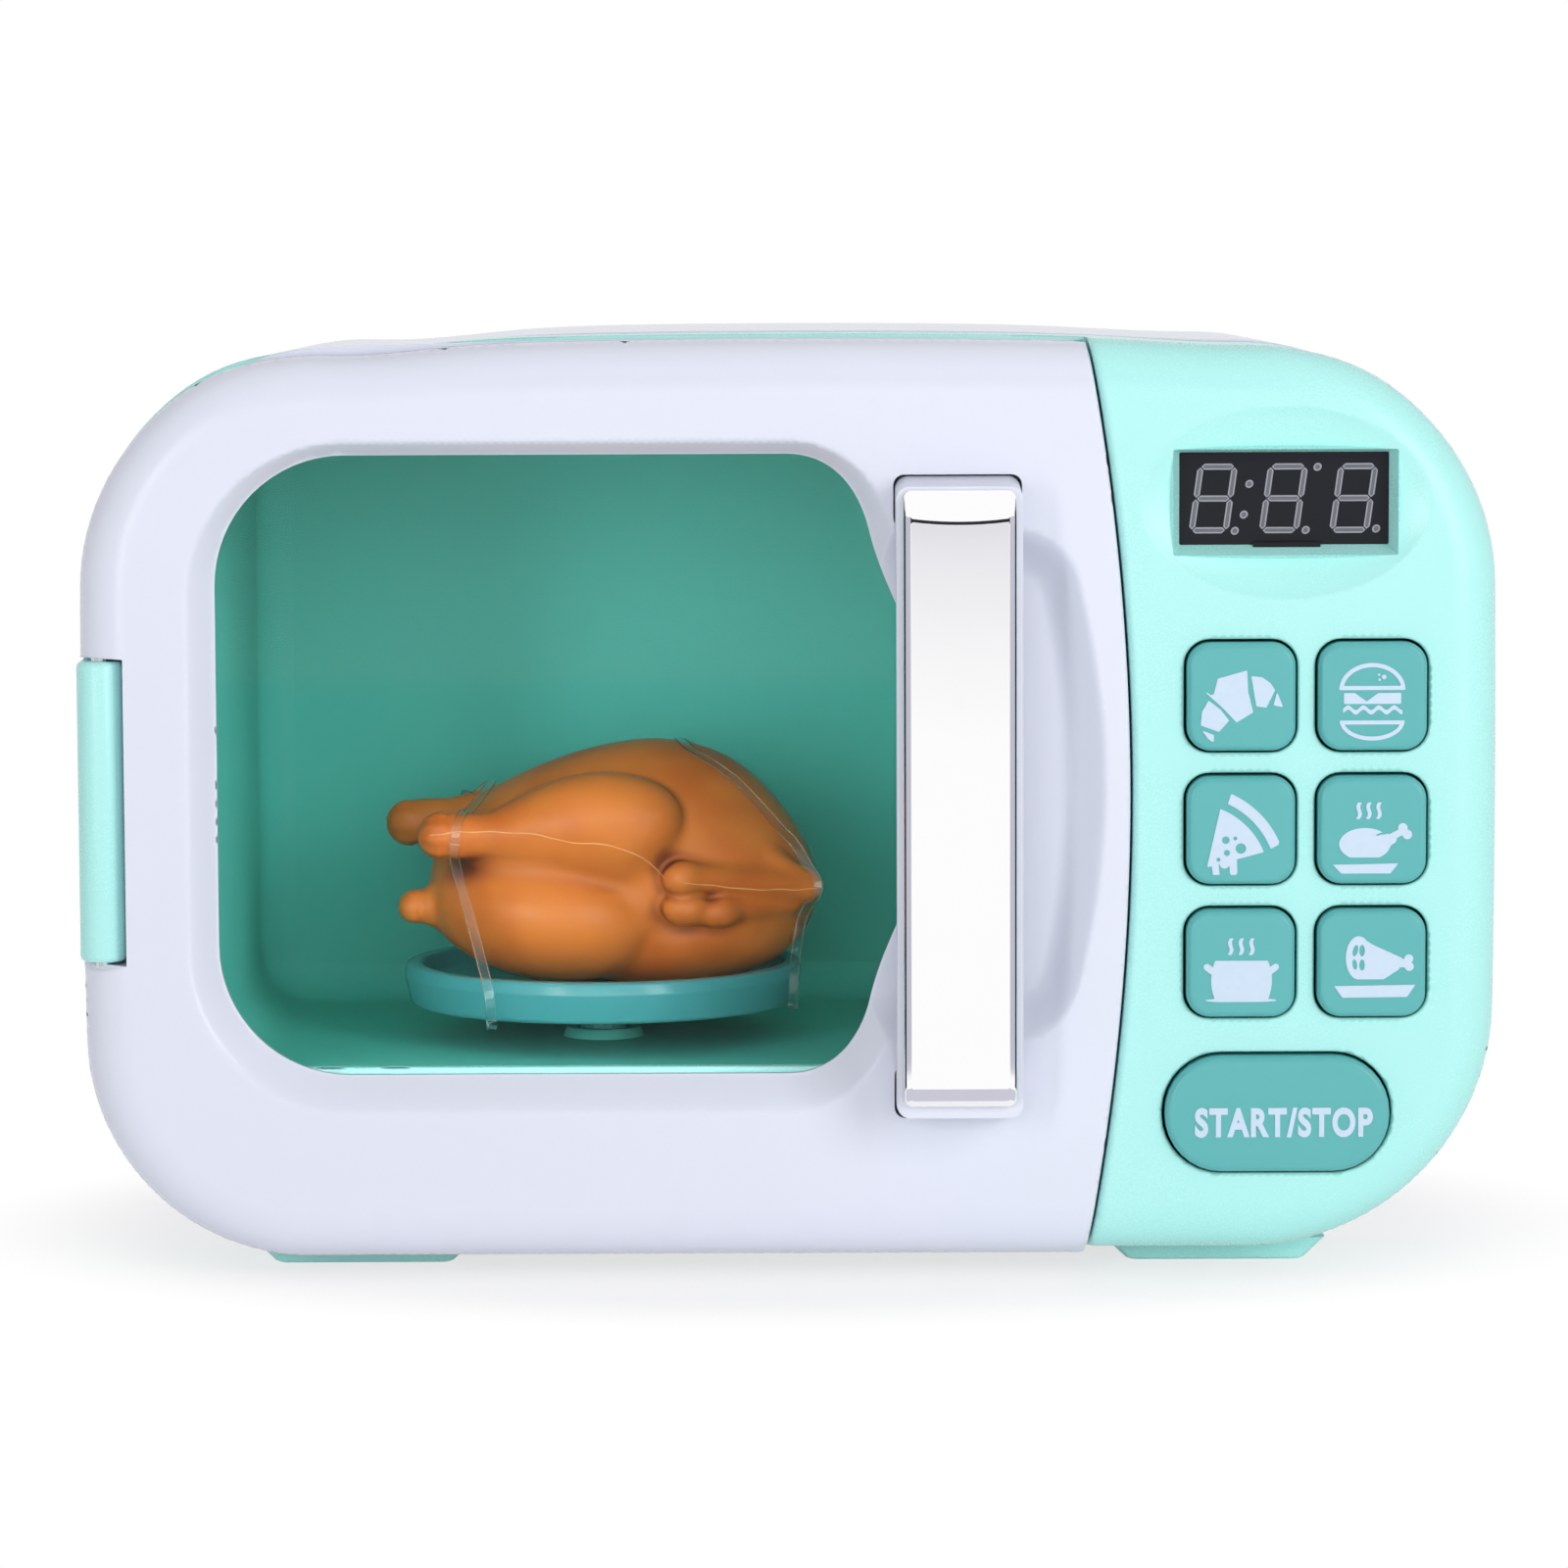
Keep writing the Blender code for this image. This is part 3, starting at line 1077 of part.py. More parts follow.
def make_drive(pinion_spin):
    """Motor, its pinion and the bracket that hangs both under the cavity floor."""
    x = TABLE_X + GEAR_CENTRES
    pinion_low = GEAR_TOP - GEAR_THICKNESS
    pinion = make_gear("motor_pinion", PINION_TEETH, 0.0, 0.0, x, pinion_low, GEAR_TOP + PINION_OVERHANG,
                       pinion_spin)
    boss_top = BRACKET_TOP
    join(pinion, "pinion_shaft", rod(SCREW_RADIUS, (x, TABLE_Y, boss_top + FIT_GAP),
                                     (x, TABLE_Y, pinion_low + WALL / 2), 12))
    plate_low = BRACKET_TOP - BRACKET_THICKNESS
    reach = GEAR_MODULE * (GEAR_TEETH / 2 + 2) + BRACKET_POST_RADIUS
    left = TABLE_X - reach - BRACKET_POST_RADIUS
    right = x + MOTOR_RADIUS + BRACKET_MARGIN + BRACKET_POST_RADIUS
    half = MOTOR_RADIUS + BRACKET_MARGIN
    bracket = add_part("drive_bracket", block(left, right, TABLE_Y - half, TABLE_Y + half, plate_low,
                                              BRACKET_TOP), "natural_plastic")
    post_places = ((TABLE_X - reach, TABLE_Y), (right - BRACKET_POST_RADIUS, TABLE_Y - half / 2),
                   (right - BRACKET_POST_RADIUS, TABLE_Y + half / 2))
    join(bracket, "bracket_posts", together(
        [rod(BRACKET_POST_RADIUS, (px, py, plate_low + BRACKET_THICKNESS / 2),
             (px, py, CAVITY_FLOOR - LINER_WALL - FIT_GAP), 12) for px, py in post_places]))
    cut(bracket, "bracket_holes", together([
        rod(JOURNAL_RADIUS + FIT_GAP, (TABLE_X, TABLE_Y, plate_low - OVERRUN),
            (TABLE_X, TABLE_Y, BRACKET_TOP + OVERRUN), 16),
        rod(MOTOR_BOSS_RADIUS + FIT_GAP, (x, TABLE_Y, plate_low - OVERRUN),
            (x, TABLE_Y, BRACKET_TOP + OVERRUN), 16)]))
    motor_top = plate_low - FIT_GAP
    motor = add_part("drive_motor", rod(MOTOR_RADIUS, (x, TABLE_Y, motor_top - MOTOR_HEIGHT),
                                        (x, TABLE_Y, motor_top), 24), "steel")
    join(motor, "motor_boss", rod(MOTOR_BOSS_RADIUS, (x, TABLE_Y, motor_top - WALL),
                                  (x, TABLE_Y, boss_top), 16))


# Controls
def make_button(name, x, z, width, height, radius):
    """A hollow-backed cap with a flange behind the panel and a stem over its switch."""
    slide = axis_empty(name + "_slide", x, 0, z)
    steps = 3 if width < START_WIDTH else 6
    face = square(x, z, width - BUTTON_GAP * 2, height - BUTTON_GAP * 2, radius - BUTTON_GAP, steps)
    soft = square(x, z, width - (BUTTON_GAP + BUTTON_EDGE) * 2, height - (BUTTON_GAP + BUTTON_EDGE) * 2,
                  radius - BUTTON_GAP - BUTTON_EDGE, steps)
    rim = square(x, z, width + BUTTON_FLANGE * 2, height + BUTTON_FLANGE * 2, radius + BUTTON_FLANGE, steps)
    flange_near = WALL + FIT_GAP
    flange_far = flange_near + FLANGE_THICKNESS
    button = add_part(name, stack((
        (soft, -BUTTON_STAND), (face, BUTTON_EDGE - BUTTON_STAND), (face, flange_near), (rim, flange_near),
        (rim, flange_far))), "teal_plastic", slide)
    hollow = square(x, z, width - (BUTTON_GAP + WALL) * 2, height - (BUTTON_GAP + WALL) * 2,
                    radius - BUTTON_GAP - WALL, 2)
    cut(button, name + "_hollow", prism(hollow, 0, flange_far + OVERRUN))
    cap_top = BOARD_DEPTH - FIT_GAP - SWITCH_HEIGHT - SWITCH_CAP_HEIGHT
    stem_end = cap_top - BUTTON_TRAVEL - FIT_GAP
    join(button, name + "_stem", rod(STEM_RADIUS, (x, -BUTTON_STAND + WALL / 2, z), (x, stem_end, z), 8))


def make_controls():
    """Display, circuit board with its switches, and the seven buttons."""
    add_part("display_module", block(
        DISPLAY_X - MODULE_WIDTH / 2, DISPLAY_X + MODULE_WIDTH / 2, DISPLAY_FACE_DEPTH + FIT_GAP,
        DISPLAY_FACE_DEPTH + FIT_GAP + MODULE_THICKNESS, DISPLAY_Z - MODULE_HEIGHT / 2,
        DISPLAY_Z + MODULE_HEIGHT / 2), "black_plastic")
    left, right, bottom, top = board_edges()
    module_back = DISPLAY_FACE_DEPTH + MODULE_THICKNESS + FIT_GAP * 2
    outline = [(left + CORNER_RADIUS / 4, bottom), (START_X, bottom),
               (right, FIRST_ROW_Z - BUTTON_PITCH_DOWN * 2.5), (right, top), (left, top),
               (left, bottom + CORNER_RADIUS / 4)]
    board = prism(outline, BOARD_DEPTH, BOARD_DEPTH + BOARD_THICKNESS)
    add_part("circuit_board", board, "board_green")
    add_part("display_board", block(
        DISPLAY_X - MODULE_WIDTH / 2, DISPLAY_X + MODULE_WIDTH / 2, module_back,
        module_back + BOARD_THICKNESS, DISPLAY_Z - MODULE_HEIGHT / 2 - BOARD_MARGIN,
        DISPLAY_Z + MODULE_HEIGHT / 2), "board_green")
    for name, x, z, width, height, radius in button_places():
        make_button(name, x, z, width, height, radius)
        make_switch(name.replace("button", "switch"), x, z)


def make_switch(name, x, z):
    """A small push switch on the board: a square body and its round cap."""
    half = SWITCH_SIZE / 2
    back = BOARD_DEPTH - FIT_GAP
    near = back - SWITCH_HEIGHT
    switch = add_part(name, block(x - half, x + half, near, back, z - half, z + half), "black_plastic")
    join(switch, name + "_cap", rod(SWITCH_CAP_RADIUS, (x, near - SWITCH_CAP_HEIGHT, z),
                                    (x, near + SWITCH_HEIGHT / 2, z), 8))


# Power and sound
def make_battery_pack():
    """Tray with three cells and their contacts behind the battery door."""
    far = BODY_DEPTH - WALL - FIT_GAP
    near = far - BATTERY_BOX_DEPTH
    grow = BOX_WALL * 2
    tray = add_part("battery_box", prism(
        square(BATTERY_X, BATTERY_Z, BATTERY_WIDTH + grow, BATTERY_HEIGHT + grow, BOX_WALL, 2), near, far),
        "natural_plastic")
    cut(tray, "battery_room", prism(
        square(BATTERY_X, BATTERY_Z, BATTERY_WIDTH, BATTERY_HEIGHT, BOX_WALL / 2, 2), near + BOX_WALL,
        far + OVERRUN))
    y = near + BOX_WALL + FIT_GAP + AA_RADIUS
    for number in range(AA_COUNT):
        z = BATTERY_Z + (number - (AA_COUNT - 1) / 2) * AA_PITCH
        facing = 1 if number % 2 else -1
        make_cell(f"battery_{number + 1}", facing, y, z)
        make_contact(f"spring_contact_{number + 1}", -facing, y, z)
        make_contact(f"button_contact_{number + 1}", facing, y, z)
    make_battery_door()


def make_cell(name, facing, y, z):
    """A round cell whose nipple points to the right (1) or the left (-1)."""
    shoulder = BATTERY_X + facing * (AA_LENGTH / 2 - AA_NIPPLE)
    cell = add_part(name, rod(AA_RADIUS, (BATTERY_X - facing * AA_LENGTH / 2, y, z), (shoulder, y, z)),
                    "battery_jacket")
    join(cell, name + "_nipple", rod(AA_NIPPLE_RADIUS, (BATTERY_X, y, z),
                                     (shoulder + facing * AA_NIPPLE, y, z), 12))


def make_contact(name, side, y, z):
    """A sprung contact plate on an end wall of the tray, with a cone that meets the cell."""
    half = CONTACT_SIZE / 2
    wall = BATTERY_X + side * (BATTERY_WIDTH / 2 - FIT_GAP)
    inner = wall - side * CONTACT_THICKNESS
    plate = add_part(name, block(min(wall, inner), max(wall, inner), y - half, y + half,
                                 z - half, z + half), "steel")
    join(plate, name + "_cone", rod(CONTACT_SIZE / 3, ((wall + inner) / 2, y, z),
                                    (BATTERY_X + side * (AA_LENGTH / 2 + FIT_GAP), y, z), 8,
                                    CONTACT_SIZE / 6))


def make_battery_door():
    """A flush door with a lip, two tabs, finger ribs and one screw."""
    width = BATTERY_WIDTH + BATTERY_DOOR_LIP * 2
    height = BATTERY_HEIGHT + BATTERY_DOOR_LIP * 2
    step = BODY_DEPTH - WALL / 2 + FIT_GAP
    door = add_part("battery_door", prism(
        square(BATTERY_X, BATTERY_Z, width, height, BATTERY_DOOR_RADIUS + BATTERY_DOOR_LIP - FIT_GAP, 2),
        step, BODY_DEPTH), "white_plastic")
    inner_width = BATTERY_WIDTH - BATTERY_DOOR_MARGIN * 2
    inner_height = BATTERY_HEIGHT - BATTERY_DOOR_MARGIN * 2
    join(door, "battery_door_step", prism(
        square(BATTERY_X, BATTERY_Z, inner_width, inner_height, BATTERY_DOOR_RADIUS, 2),
        BODY_DEPTH - WALL, BODY_DEPTH - WALL / 4))
    ribs = []
    for number in range(5):
        z = BATTERY_Z - height / 2 + BATTERY_DOOR_LIP * 2 + number * BATTERY_DOOR_RIB * 2
        ribs.append(block(BATTERY_X - BATTERY_DOOR_TAB, BATTERY_X + BATTERY_DOOR_TAB,
                          BODY_DEPTH - WALL / 8, BODY_DEPTH + OVERRUN, z, z + BATTERY_DOOR_RIB))
    cut(door, "battery_door_grip", together(ribs))
    z = battery_screw_z()
    cut(door, "battery_screw_well", rod(SCREW_HEAD_RADIUS + FIT_GAP, (BATTERY_X, BODY_DEPTH - WALL / 2, z),
                                        (BATTERY_X, BODY_DEPTH + OVERRUN, z), 12))
    cut(door, "battery_screw_hole", rod(SCREW_RADIUS + FIT_GAP, (BATTERY_X, BODY_DEPTH - WALL * 2, z),
                                        (BATTERY_X, BODY_DEPTH, z), 10))


def battery_screw_z():
    return BATTERY_Z + BATTERY_HEIGHT / 2 - BATTERY_DOOR_MARGIN - SCREW_HEAD_RADIUS - SOCKET_WALL


def screw(x, head, z, length, head_height):
    """A pan-head screw as one outline turned about its own axis, pointing to the front."""
    sections = ((SCREW_HEAD_RADIUS * SCREW_CROWN_SHARE, head + head_height),
                (SCREW_HEAD_RADIUS, head + head_height / 2), (SCREW_HEAD_RADIUS, head),
                (SCREW_RADIUS, head), (SCREW_RADIUS, head - length))
    return stack([(circle(x, z, radius, 10), depth) for radius, depth in sections])


def make_screws():
    floor = SCREW_JOINT_DEPTH + FIT_GAP + SOCKET_FLOOR + FIT_GAP
    for number, (x, z) in enumerate(SCREW_PLACES):
        add_part(f"case_screw_{number + 1}", screw(x, floor, z, SCREW_LENGTH - WALL, SCREW_HEAD_HEIGHT),
                 "steel")
    head = BODY_DEPTH - WALL / 2 + FIT_GAP
    add_part("battery_door_screw", screw(BATTERY_X, head, battery_screw_z(), WALL / 2, WALL / 2 - FIT_GAP),
             "steel")


SPEAKER_PROFILE_SHARES = ((0.45, 1.9), (0.45, 1.18), (0.62, 1.1), (0.96, 0.3), (1.0, 0.3), (1.0, 0.0),
                          (0.85, 0.0), (0.4, 0.5))


def make_speaker():
    """A small loudspeaker: magnet, basket, rim, and a cone towards the slots."""
    far = BODY_DEPTH - WALL - FIT_GAP
    add_part("speaker", stack([
        (circle(SPEAKER_X, SPEAKER_Z, SPEAKER_RADIUS * radius_share, 18), far - SPEAKER_THICKNESS * depth_share)
        for radius_share, depth_share in SPEAKER_PROFILE_SHARES]), "black_plastic")


# Play roast, in shares of its length along (u), across (v) and up (w) its own frame
ROAST_BALL_SHARES = (
    # centre u, v, w; half-axes u, v, w; tilt in degrees
    ((0.06, 0.0, 0.285), (0.360, 0.290, 0.262), 0.0),
    ((-0.10, 0.0, 0.215), (0.290, 0.270, 0.205), 0.0),
    ((0.24, 0.0, 0.225), (0.215, 0.215, 0.175), 0.0),
    ((-0.03, 0.205, 0.335), (0.200, 0.100, 0.160), -8.0),
    ((-0.405, 0.235, 0.300), (0.058, 0.048, 0.050), 0.0),
    ((0.120, 0.245, 0.180), (0.110, 0.055, 0.055), 10.0),
)
ROAST_LIMB_SHARES = (
    # start u, v, w and radius; end u, v, w and radius
    ((-0.08, 0.205, 0.325, 0.110), (-0.30, 0.230, 0.300, 0.056)),
    ((-0.28, 0.230, 0.300, 0.056), (-0.40, 0.235, 0.300, 0.042)),
    ((0.10, 0.250, 0.250, 0.048), (0.43, 0.150, 0.205, 0.038)),
    ((0.34, 0.120, 0.260, 0.050), (0.44, 0.120, 0.210, 0.040)),
)
ROAST_TAIL_SHARES = ((-0.26, 0.0, 0.190, 0.075), (-0.43, 0.0, 0.165, 0.048))


def roast_point(u, v, w):
    """From shares of the roast's length to the drawing's frame, turned on the plate."""
    along = u * ROAST_LENGTH
    across = v * ROAST_LENGTH
    x = along * math.cos(ROAST_TURN) - across * math.sin(ROAST_TURN)
    y = along * math.sin(ROAST_TURN) + across * math.cos(ROAST_TURN)
    return (TABLE_X + x, TABLE_Y + y, PLATE_BASE + PLATE_FLOOR + w * ROAST_LENGTH)


def roast_limb(start, end):
    """A tapering limb with round ends."""
    (u1, v1, w1, r1), (u2, v2, w2, r2) = start, end
    near = roast_point(u1, v1, w1)
    far = roast_point(u2, v2, w2)
    return [rod(r1 * ROAST_LENGTH, near, far, 14, r2 * ROAST_LENGTH),
            ball(near, (r1 * ROAST_LENGTH,) * 3), ball(far, (r2 * ROAST_LENGTH,) * 3)]


def make_roast(spin):
    """The play roast: balls and tapered limbs, fused by a fine remesh, smoothed and thinned."""
    pieces = []
    for (u, v, w), radii, tilt in ROAST_BALL_SHARES:
        for side in ((1,) if v == 0 else (1, -1)):
            pieces.append(ball(roast_point(u, v * side, w), [share * ROAST_LENGTH for share in radii],
                               ROAST_TURN, math.radians(tilt)))
    for (u1, v1, w1, r1), (u2, v2, w2, r2) in ROAST_LIMB_SHARES:
        for side in (1, -1):
            pieces += roast_limb((u1, v1 * side, w1, r1), (u2, v2 * side, w2, r2))
    pieces += roast_limb(*ROAST_TAIL_SHARES)
    roast = add_part("roast_chicken", together(pieces), "roast_vinyl", spin, 180.0)
    remesh = roast.modifiers.new("fused", "REMESH")
    remesh.mode = "VOXEL"
    remesh.voxel_size = ROAST_VOXEL
    smooth = roast.modifiers.new("softened", "SMOOTH")
    smooth.iterations = 3
    thinned = roast.modifiers.new("thinned", "DECIMATE")
    thinned.ratio = ROAST_TRIANGLES / ROAST_REMESHED_TRIANGLES
    rest = PLATE_BASE + PLATE_FLOOR + FIT_GAP
    cut(roast, "plate_level", block(
        TABLE_X - PLATE_RADIUS, TABLE_X + PLATE_RADIUS, TABLE_Y - PLATE_RADIUS, TABLE_Y + PLATE_RADIUS,
        rest - ROAST_LENGTH, rest))


def make_tie(spin):
    """Two clear bands that hold the roast on the plate, each one closed loop under the rim."""
    names = ("packing_tie_left", "packing_tie_right")
    for name, (along_share, top_share, half_share) in zip(names, TIE_SHARES):
        x = TABLE_X + along_share * ROAST_LENGTH * math.cos(ROAST_TURN)
        top = PLATE_BASE + PLATE_FLOOR + top_share * ROAST_LENGTH
        low = PLATE_BASE - FIT_GAP - TIE_THICKNESS
        add_part(name, tie_band(x, low, top, half_share * ROAST_LENGTH), "clear_plastic", spin)


def tie_band(x, low, top, half_roast):
    """A flat closed band in an upright plane: under the plate, up past its rim and over the roast."""
    half_plate = math.sqrt(PLATE_RADIUS ** 2 - (abs(x - TABLE_X) - TIE_WIDTH / 2) ** 2)
    half = max(half_plate, half_roast) + FIT_GAP
    rim = PLATE_BASE + PLATE_HEIGHT
    rings = []
    for grow in (0.0, TIE_THICKNESS):
        reach = half + grow
        path = [(-reach, low + TIE_THICKNESS - grow), (reach, low + TIE_THICKNESS - grow)]
        for y, z in arc(0, 0, 1, 1, 0, 180, TIE_STEPS):
            path.append((math.copysign(abs(y) ** TIE_FULLNESS, y) * reach,
                         rim + abs(z) ** TIE_FULLNESS * (top - rim + grow)))
        rings.append(path)
    source = bmesh.new()
    rows = []
    for ring, edge in ((rings[0], -1), (rings[1], -1), (rings[1], 1), (rings[0], 1)):
        rows.append([source.verts.new((x + edge * TIE_WIDTH / 2, TABLE_Y + y, z)) for y, z in ring])
    for number, row in enumerate(rows):
        following = rows[(number + 1) % len(rows)]
        for step in range(len(row)):
            after = (step + 1) % len(row)
            source.faces.new((row[step], row[after], following[after], following[step]))
    return source


def main():
    global parts, cutters, root
    clear_scene()
    parts = new_collection("toy_microwave")
    cutters = new_collection("cutters")
    root = bpy.data.objects.new("toy_microwave_root", None)
    root.location = (0, FRONT_Y, MIDDLE_HEIGHT)
    parts.objects.link(root)
    hinge = axis_empty("door_hinge", HINGE_X, HINGE_DEPTH, BARREL_Z)
    spin = axis_empty("turntable_axis", TABLE_X, TABLE_Y, PLATE_BASE)
    pinion_spin = axis_empty("pinion_axis", TABLE_X + GEAR_CENTRES, TABLE_Y, GEAR_TOP)
    make_turntable(spin)
    make_drive(pinion_spin)
    make_front_housing()
    make_rear_cover()
    make_cavity_liner()
    make_door(hinge)
    make_controls()
    make_battery_pack()
    make_screws()
    make_speaker()
    make_roast(spin)
    make_tie(spin)


main()
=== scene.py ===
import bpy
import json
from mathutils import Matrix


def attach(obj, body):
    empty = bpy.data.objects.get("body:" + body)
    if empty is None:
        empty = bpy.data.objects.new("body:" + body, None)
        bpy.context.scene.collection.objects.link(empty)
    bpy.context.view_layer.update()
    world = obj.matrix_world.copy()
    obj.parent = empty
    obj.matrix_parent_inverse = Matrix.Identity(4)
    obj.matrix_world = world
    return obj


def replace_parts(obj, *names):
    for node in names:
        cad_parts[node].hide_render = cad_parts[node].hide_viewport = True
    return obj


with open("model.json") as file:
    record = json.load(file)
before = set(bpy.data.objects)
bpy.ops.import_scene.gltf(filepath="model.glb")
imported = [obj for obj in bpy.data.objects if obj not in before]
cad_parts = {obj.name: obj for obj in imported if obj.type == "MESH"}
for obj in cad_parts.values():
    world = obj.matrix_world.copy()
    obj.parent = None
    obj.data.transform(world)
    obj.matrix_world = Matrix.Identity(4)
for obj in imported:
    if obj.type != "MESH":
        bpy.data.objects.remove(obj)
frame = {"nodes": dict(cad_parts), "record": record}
"""A moulded toy microwave oven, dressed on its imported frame.

Sizes are in millimetres in the drawing's own frame, as in the part's source: x to the right, y the
depth behind the door's face and z up from the middle of the body. They turn into metres of the frame
at one place only, in MeshDraft.build.
"""
import json
import logging
import math
from dataclasses import dataclass, field
from enum import Enum
from typing import Callable, Sequence

import bpy
import numpy as np
from mathutils import Matrix, Vector
from mathutils.geometry import delaunay_2d_cdt

LOG = logging.getLogger("toy_microwave")
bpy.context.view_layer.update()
MILLIMETRE = 0.001
DRAWING_ORIGIN = np.array((0.0, -67.0, 87.2))
Outline = np.ndarray
Depth = Callable[[np.ndarray, np.ndarray], np.ndarray]


class Body(Enum):
    """The bodies of the frame that pieces ride on."""

    HOUSING = "housing"
    DOOR = "door"
    TURNTABLE = "turntable"
    CROISSANT = "croissant_key"
    BURGER = "burger_key"
    PIZZA = "pizza_key"
    ROAST = "roast_key"
    STEW = "stew_key"
    HAM = "ham_key"
    START = "start_stop_key"


class Slot(Enum):
    """The material slots of the frame's record."""

    MINT = "mint_plastic"
    WHITE = "white_plastic"
    TEAL = "teal_plastic"
    LINER = "liner_plastic"
    CHROME = "chrome"
    STEEL = "steel"
    CLEAR = "clear_plastic"
    BLACK = "black_plastic"
    BOARD = "board_green"
    NATURAL = "natural_plastic"
    JACKET = "battery_jacket"
    ROAST = "roast_vinyl"


# Shader maths

class Wire:
    """The output of a node; arithmetic on it adds the Math nodes that work it out."""

    def __init__(self, graph: "Graph", socket: bpy.types.NodeSocket) -> None:
        """Wraps one output socket of a graph."""
        self.graph = graph
        self.socket = socket

    def __add__(self, other: "Wire | float") -> "Wire":
        """The sum with a wire or a number."""
        return self.graph.maths("ADD", self, other)

    def __radd__(self, other: float) -> "Wire":
        """The sum of a number and this wire."""
        return self.graph.maths("ADD", other, self)

    def __sub__(self, other: "Wire | float") -> "Wire":
        """The difference from a wire or a number."""
        return self.graph.maths("SUBTRACT", self, other)

    def __rsub__(self, other: float) -> "Wire":
        """A number less this wire."""
        return self.graph.maths("SUBTRACT", other, self)

    def __mul__(self, other: "Wire | float") -> "Wire":
        """The product with a wire or a number."""
        return self.graph.maths("MULTIPLY", self, other)

    def __rmul__(self, other: float) -> "Wire":
        """The product of a number and this wire."""
        return self.graph.maths("MULTIPLY", other, self)

    def __truediv__(self, other: "Wire | float") -> "Wire":
        """The quotient by a wire or a number."""
        return self.graph.maths("DIVIDE", self, other)

    def clamped(self) -> "Wire":
        """This wire kept between nought and one."""
        return self.graph.add("ShaderNodeClamp", {}, {"Value": self})

    def ramp(self, low: float, high: float) -> "Wire":
        """Nought below low, one above high and a smooth step between."""
        return self.graph.add("ShaderNodeMapRange", {"interpolation_type": "SMOOTHSTEP"},
                              {"Value": self, "From Min": low, "From Max": high})


class Graph:
    """The node tree of one material, built from Python expressions."""

    def __init__(self, name: str) -> None:
        """Starts an empty material with its output node."""
        self.material = bpy.data.materials.new(name)
        self.material.use_nodes = True
        self.tree = self.material.node_tree
        self.tree.nodes.clear()
        self.exit = self.tree.nodes.new("ShaderNodeOutputMaterial")

    def add(self, kind: str, settings: dict, inputs: dict, output: int | str = 0) -> Wire:
        """Adds a node.

        Args:
            kind: the node's type name.
            settings: its own settings, set before its sockets; "stops" are the stops of a ramp.
            inputs: values or wires by socket name or number.
            output: which of its outputs is wanted.

        Returns:
            The wanted output.
        """
        node = self.tree.nodes.new(kind)
        for key, value in settings.items():
            if key == "stops":
                self.set_stops(node.color_ramp, value)
            else:
                setattr(node, key, value)
        for key, value in inputs.items():
            socket = node.inputs[key]
            if isinstance(value, Wire):
                self.tree.links.new(value.socket, socket)
            else:
                socket.default_value = value
        return Wire(self, node.outputs[output])

    @staticmethod
    def set_stops(ramp: bpy.types.ColorRamp, stops: Sequence[tuple[float, tuple]]) -> None:
        """Gives a colour ramp its stops, each a place and a colour."""
        while len(ramp.elements) > len(stops):
            ramp.elements.remove(ramp.elements[-1])
        while len(ramp.elements) < len(stops):
            ramp.elements.new(1.0)
        for element, (place, colour) in zip(ramp.elements, stops):
            element.position = place
            element.color = (*colour, 1.0)

    def maths(self, operation: str, first: "Wire | float", second: "Wire | float") -> Wire:
        """One Math node on two values."""
        return self.add("ShaderNodeMath", {"operation": operation}, {0: first, 1: second})

    def place(self) -> Wire:
        """Object coordinates, in metres of the frame."""
        return self.add("ShaderNodeTexCoord", {}, {}, "Object")

    def parts(self, vector: Wire) -> tuple[Wire, Wire, Wire]:
        """The x, y and z of a vector."""
        node = self.add("ShaderNodeSeparateXYZ", {}, {0: vector}).socket.node
        return tuple(Wire(self, output) for output in node.outputs)

    def moved(self, vector: Wire, by: Sequence[float], scale: Sequence[float] = (1, 1, 1)) -> Wire:
        """A vector centred on a point and stretched."""
        return self.add("ShaderNodeMapping", {"vector_type": "POINT"}, {
            "Vector": vector, "Location": tuple(-b * s for b, s in zip(by, scale)), "Scale": tuple(scale)})

    def noise(self, vector: Wire, scale: float, detail: float = 2.0, roughness: float = 0.5) -> Wire:
        """Soft noise of a given number of waves to the metre, about a half."""
        return self.add("ShaderNodeTexNoise", {}, {
            "Vector": vector, "Scale": scale, "Detail": detail, "Roughness": roughness})

    def blend(self, share: "Wire | float", first: "Wire | tuple", second: "Wire | tuple",
              way: str = "MIX") -> Wire:
        """A mix of two colours by a share."""
        inputs = {0: share, 6: self.colour(first), 7: self.colour(second)}
        return self.add("ShaderNodeMix", {"data_type": "RGBA", "blend_type": way}, inputs, 2)

    @staticmethod
    def colour(value: "Wire | tuple") -> "Wire | tuple":
        """A colour with its alpha, or a wire as it is."""
        return value if isinstance(value, Wire) else (*value[:3], 1.0)

    def bump(self, height: Wire, depth: float, strength: float = 1.0) -> Wire:
        """A normal from a height that runs from nought to one over a depth in metres."""
        return self.add("ShaderNodeBump", {}, {
            "Strength": strength, "Distance": depth, "Height": height}, "Normal")

    def principled(self, **inputs: "Wire | float | tuple") -> Wire:
        """The Principled shader; names are its sockets with underscores for spaces."""
        named = {key.replace("_", " "): self.colour(value) if isinstance(value, tuple) else value
                 for key, value in inputs.items()}
        if "Subsurface Radius" in named:
            named["Subsurface Radius"] = named["Subsurface Radius"][:3]
        return self.add("ShaderNodeBsdfPrincipled", {}, named)

    def close(self, shader: Wire) -> bpy.types.Material:
        """Ends the graph in a shader and gives the material."""
        self.tree.links.new(shader.socket, self.exit.inputs["Surface"])
        return self.material


def linear(red: float, green: float, blue: float) -> tuple[float, float, float]:
    """A screen colour of 0 to 255 as the linear colour that a shader takes."""
    shares = (value / 255.0 for value in (red, green, blue))
    return tuple(s / 12.92 if s <= 0.04045 else ((s + 0.055) / 1.055) ** 2.4 for s in shares)


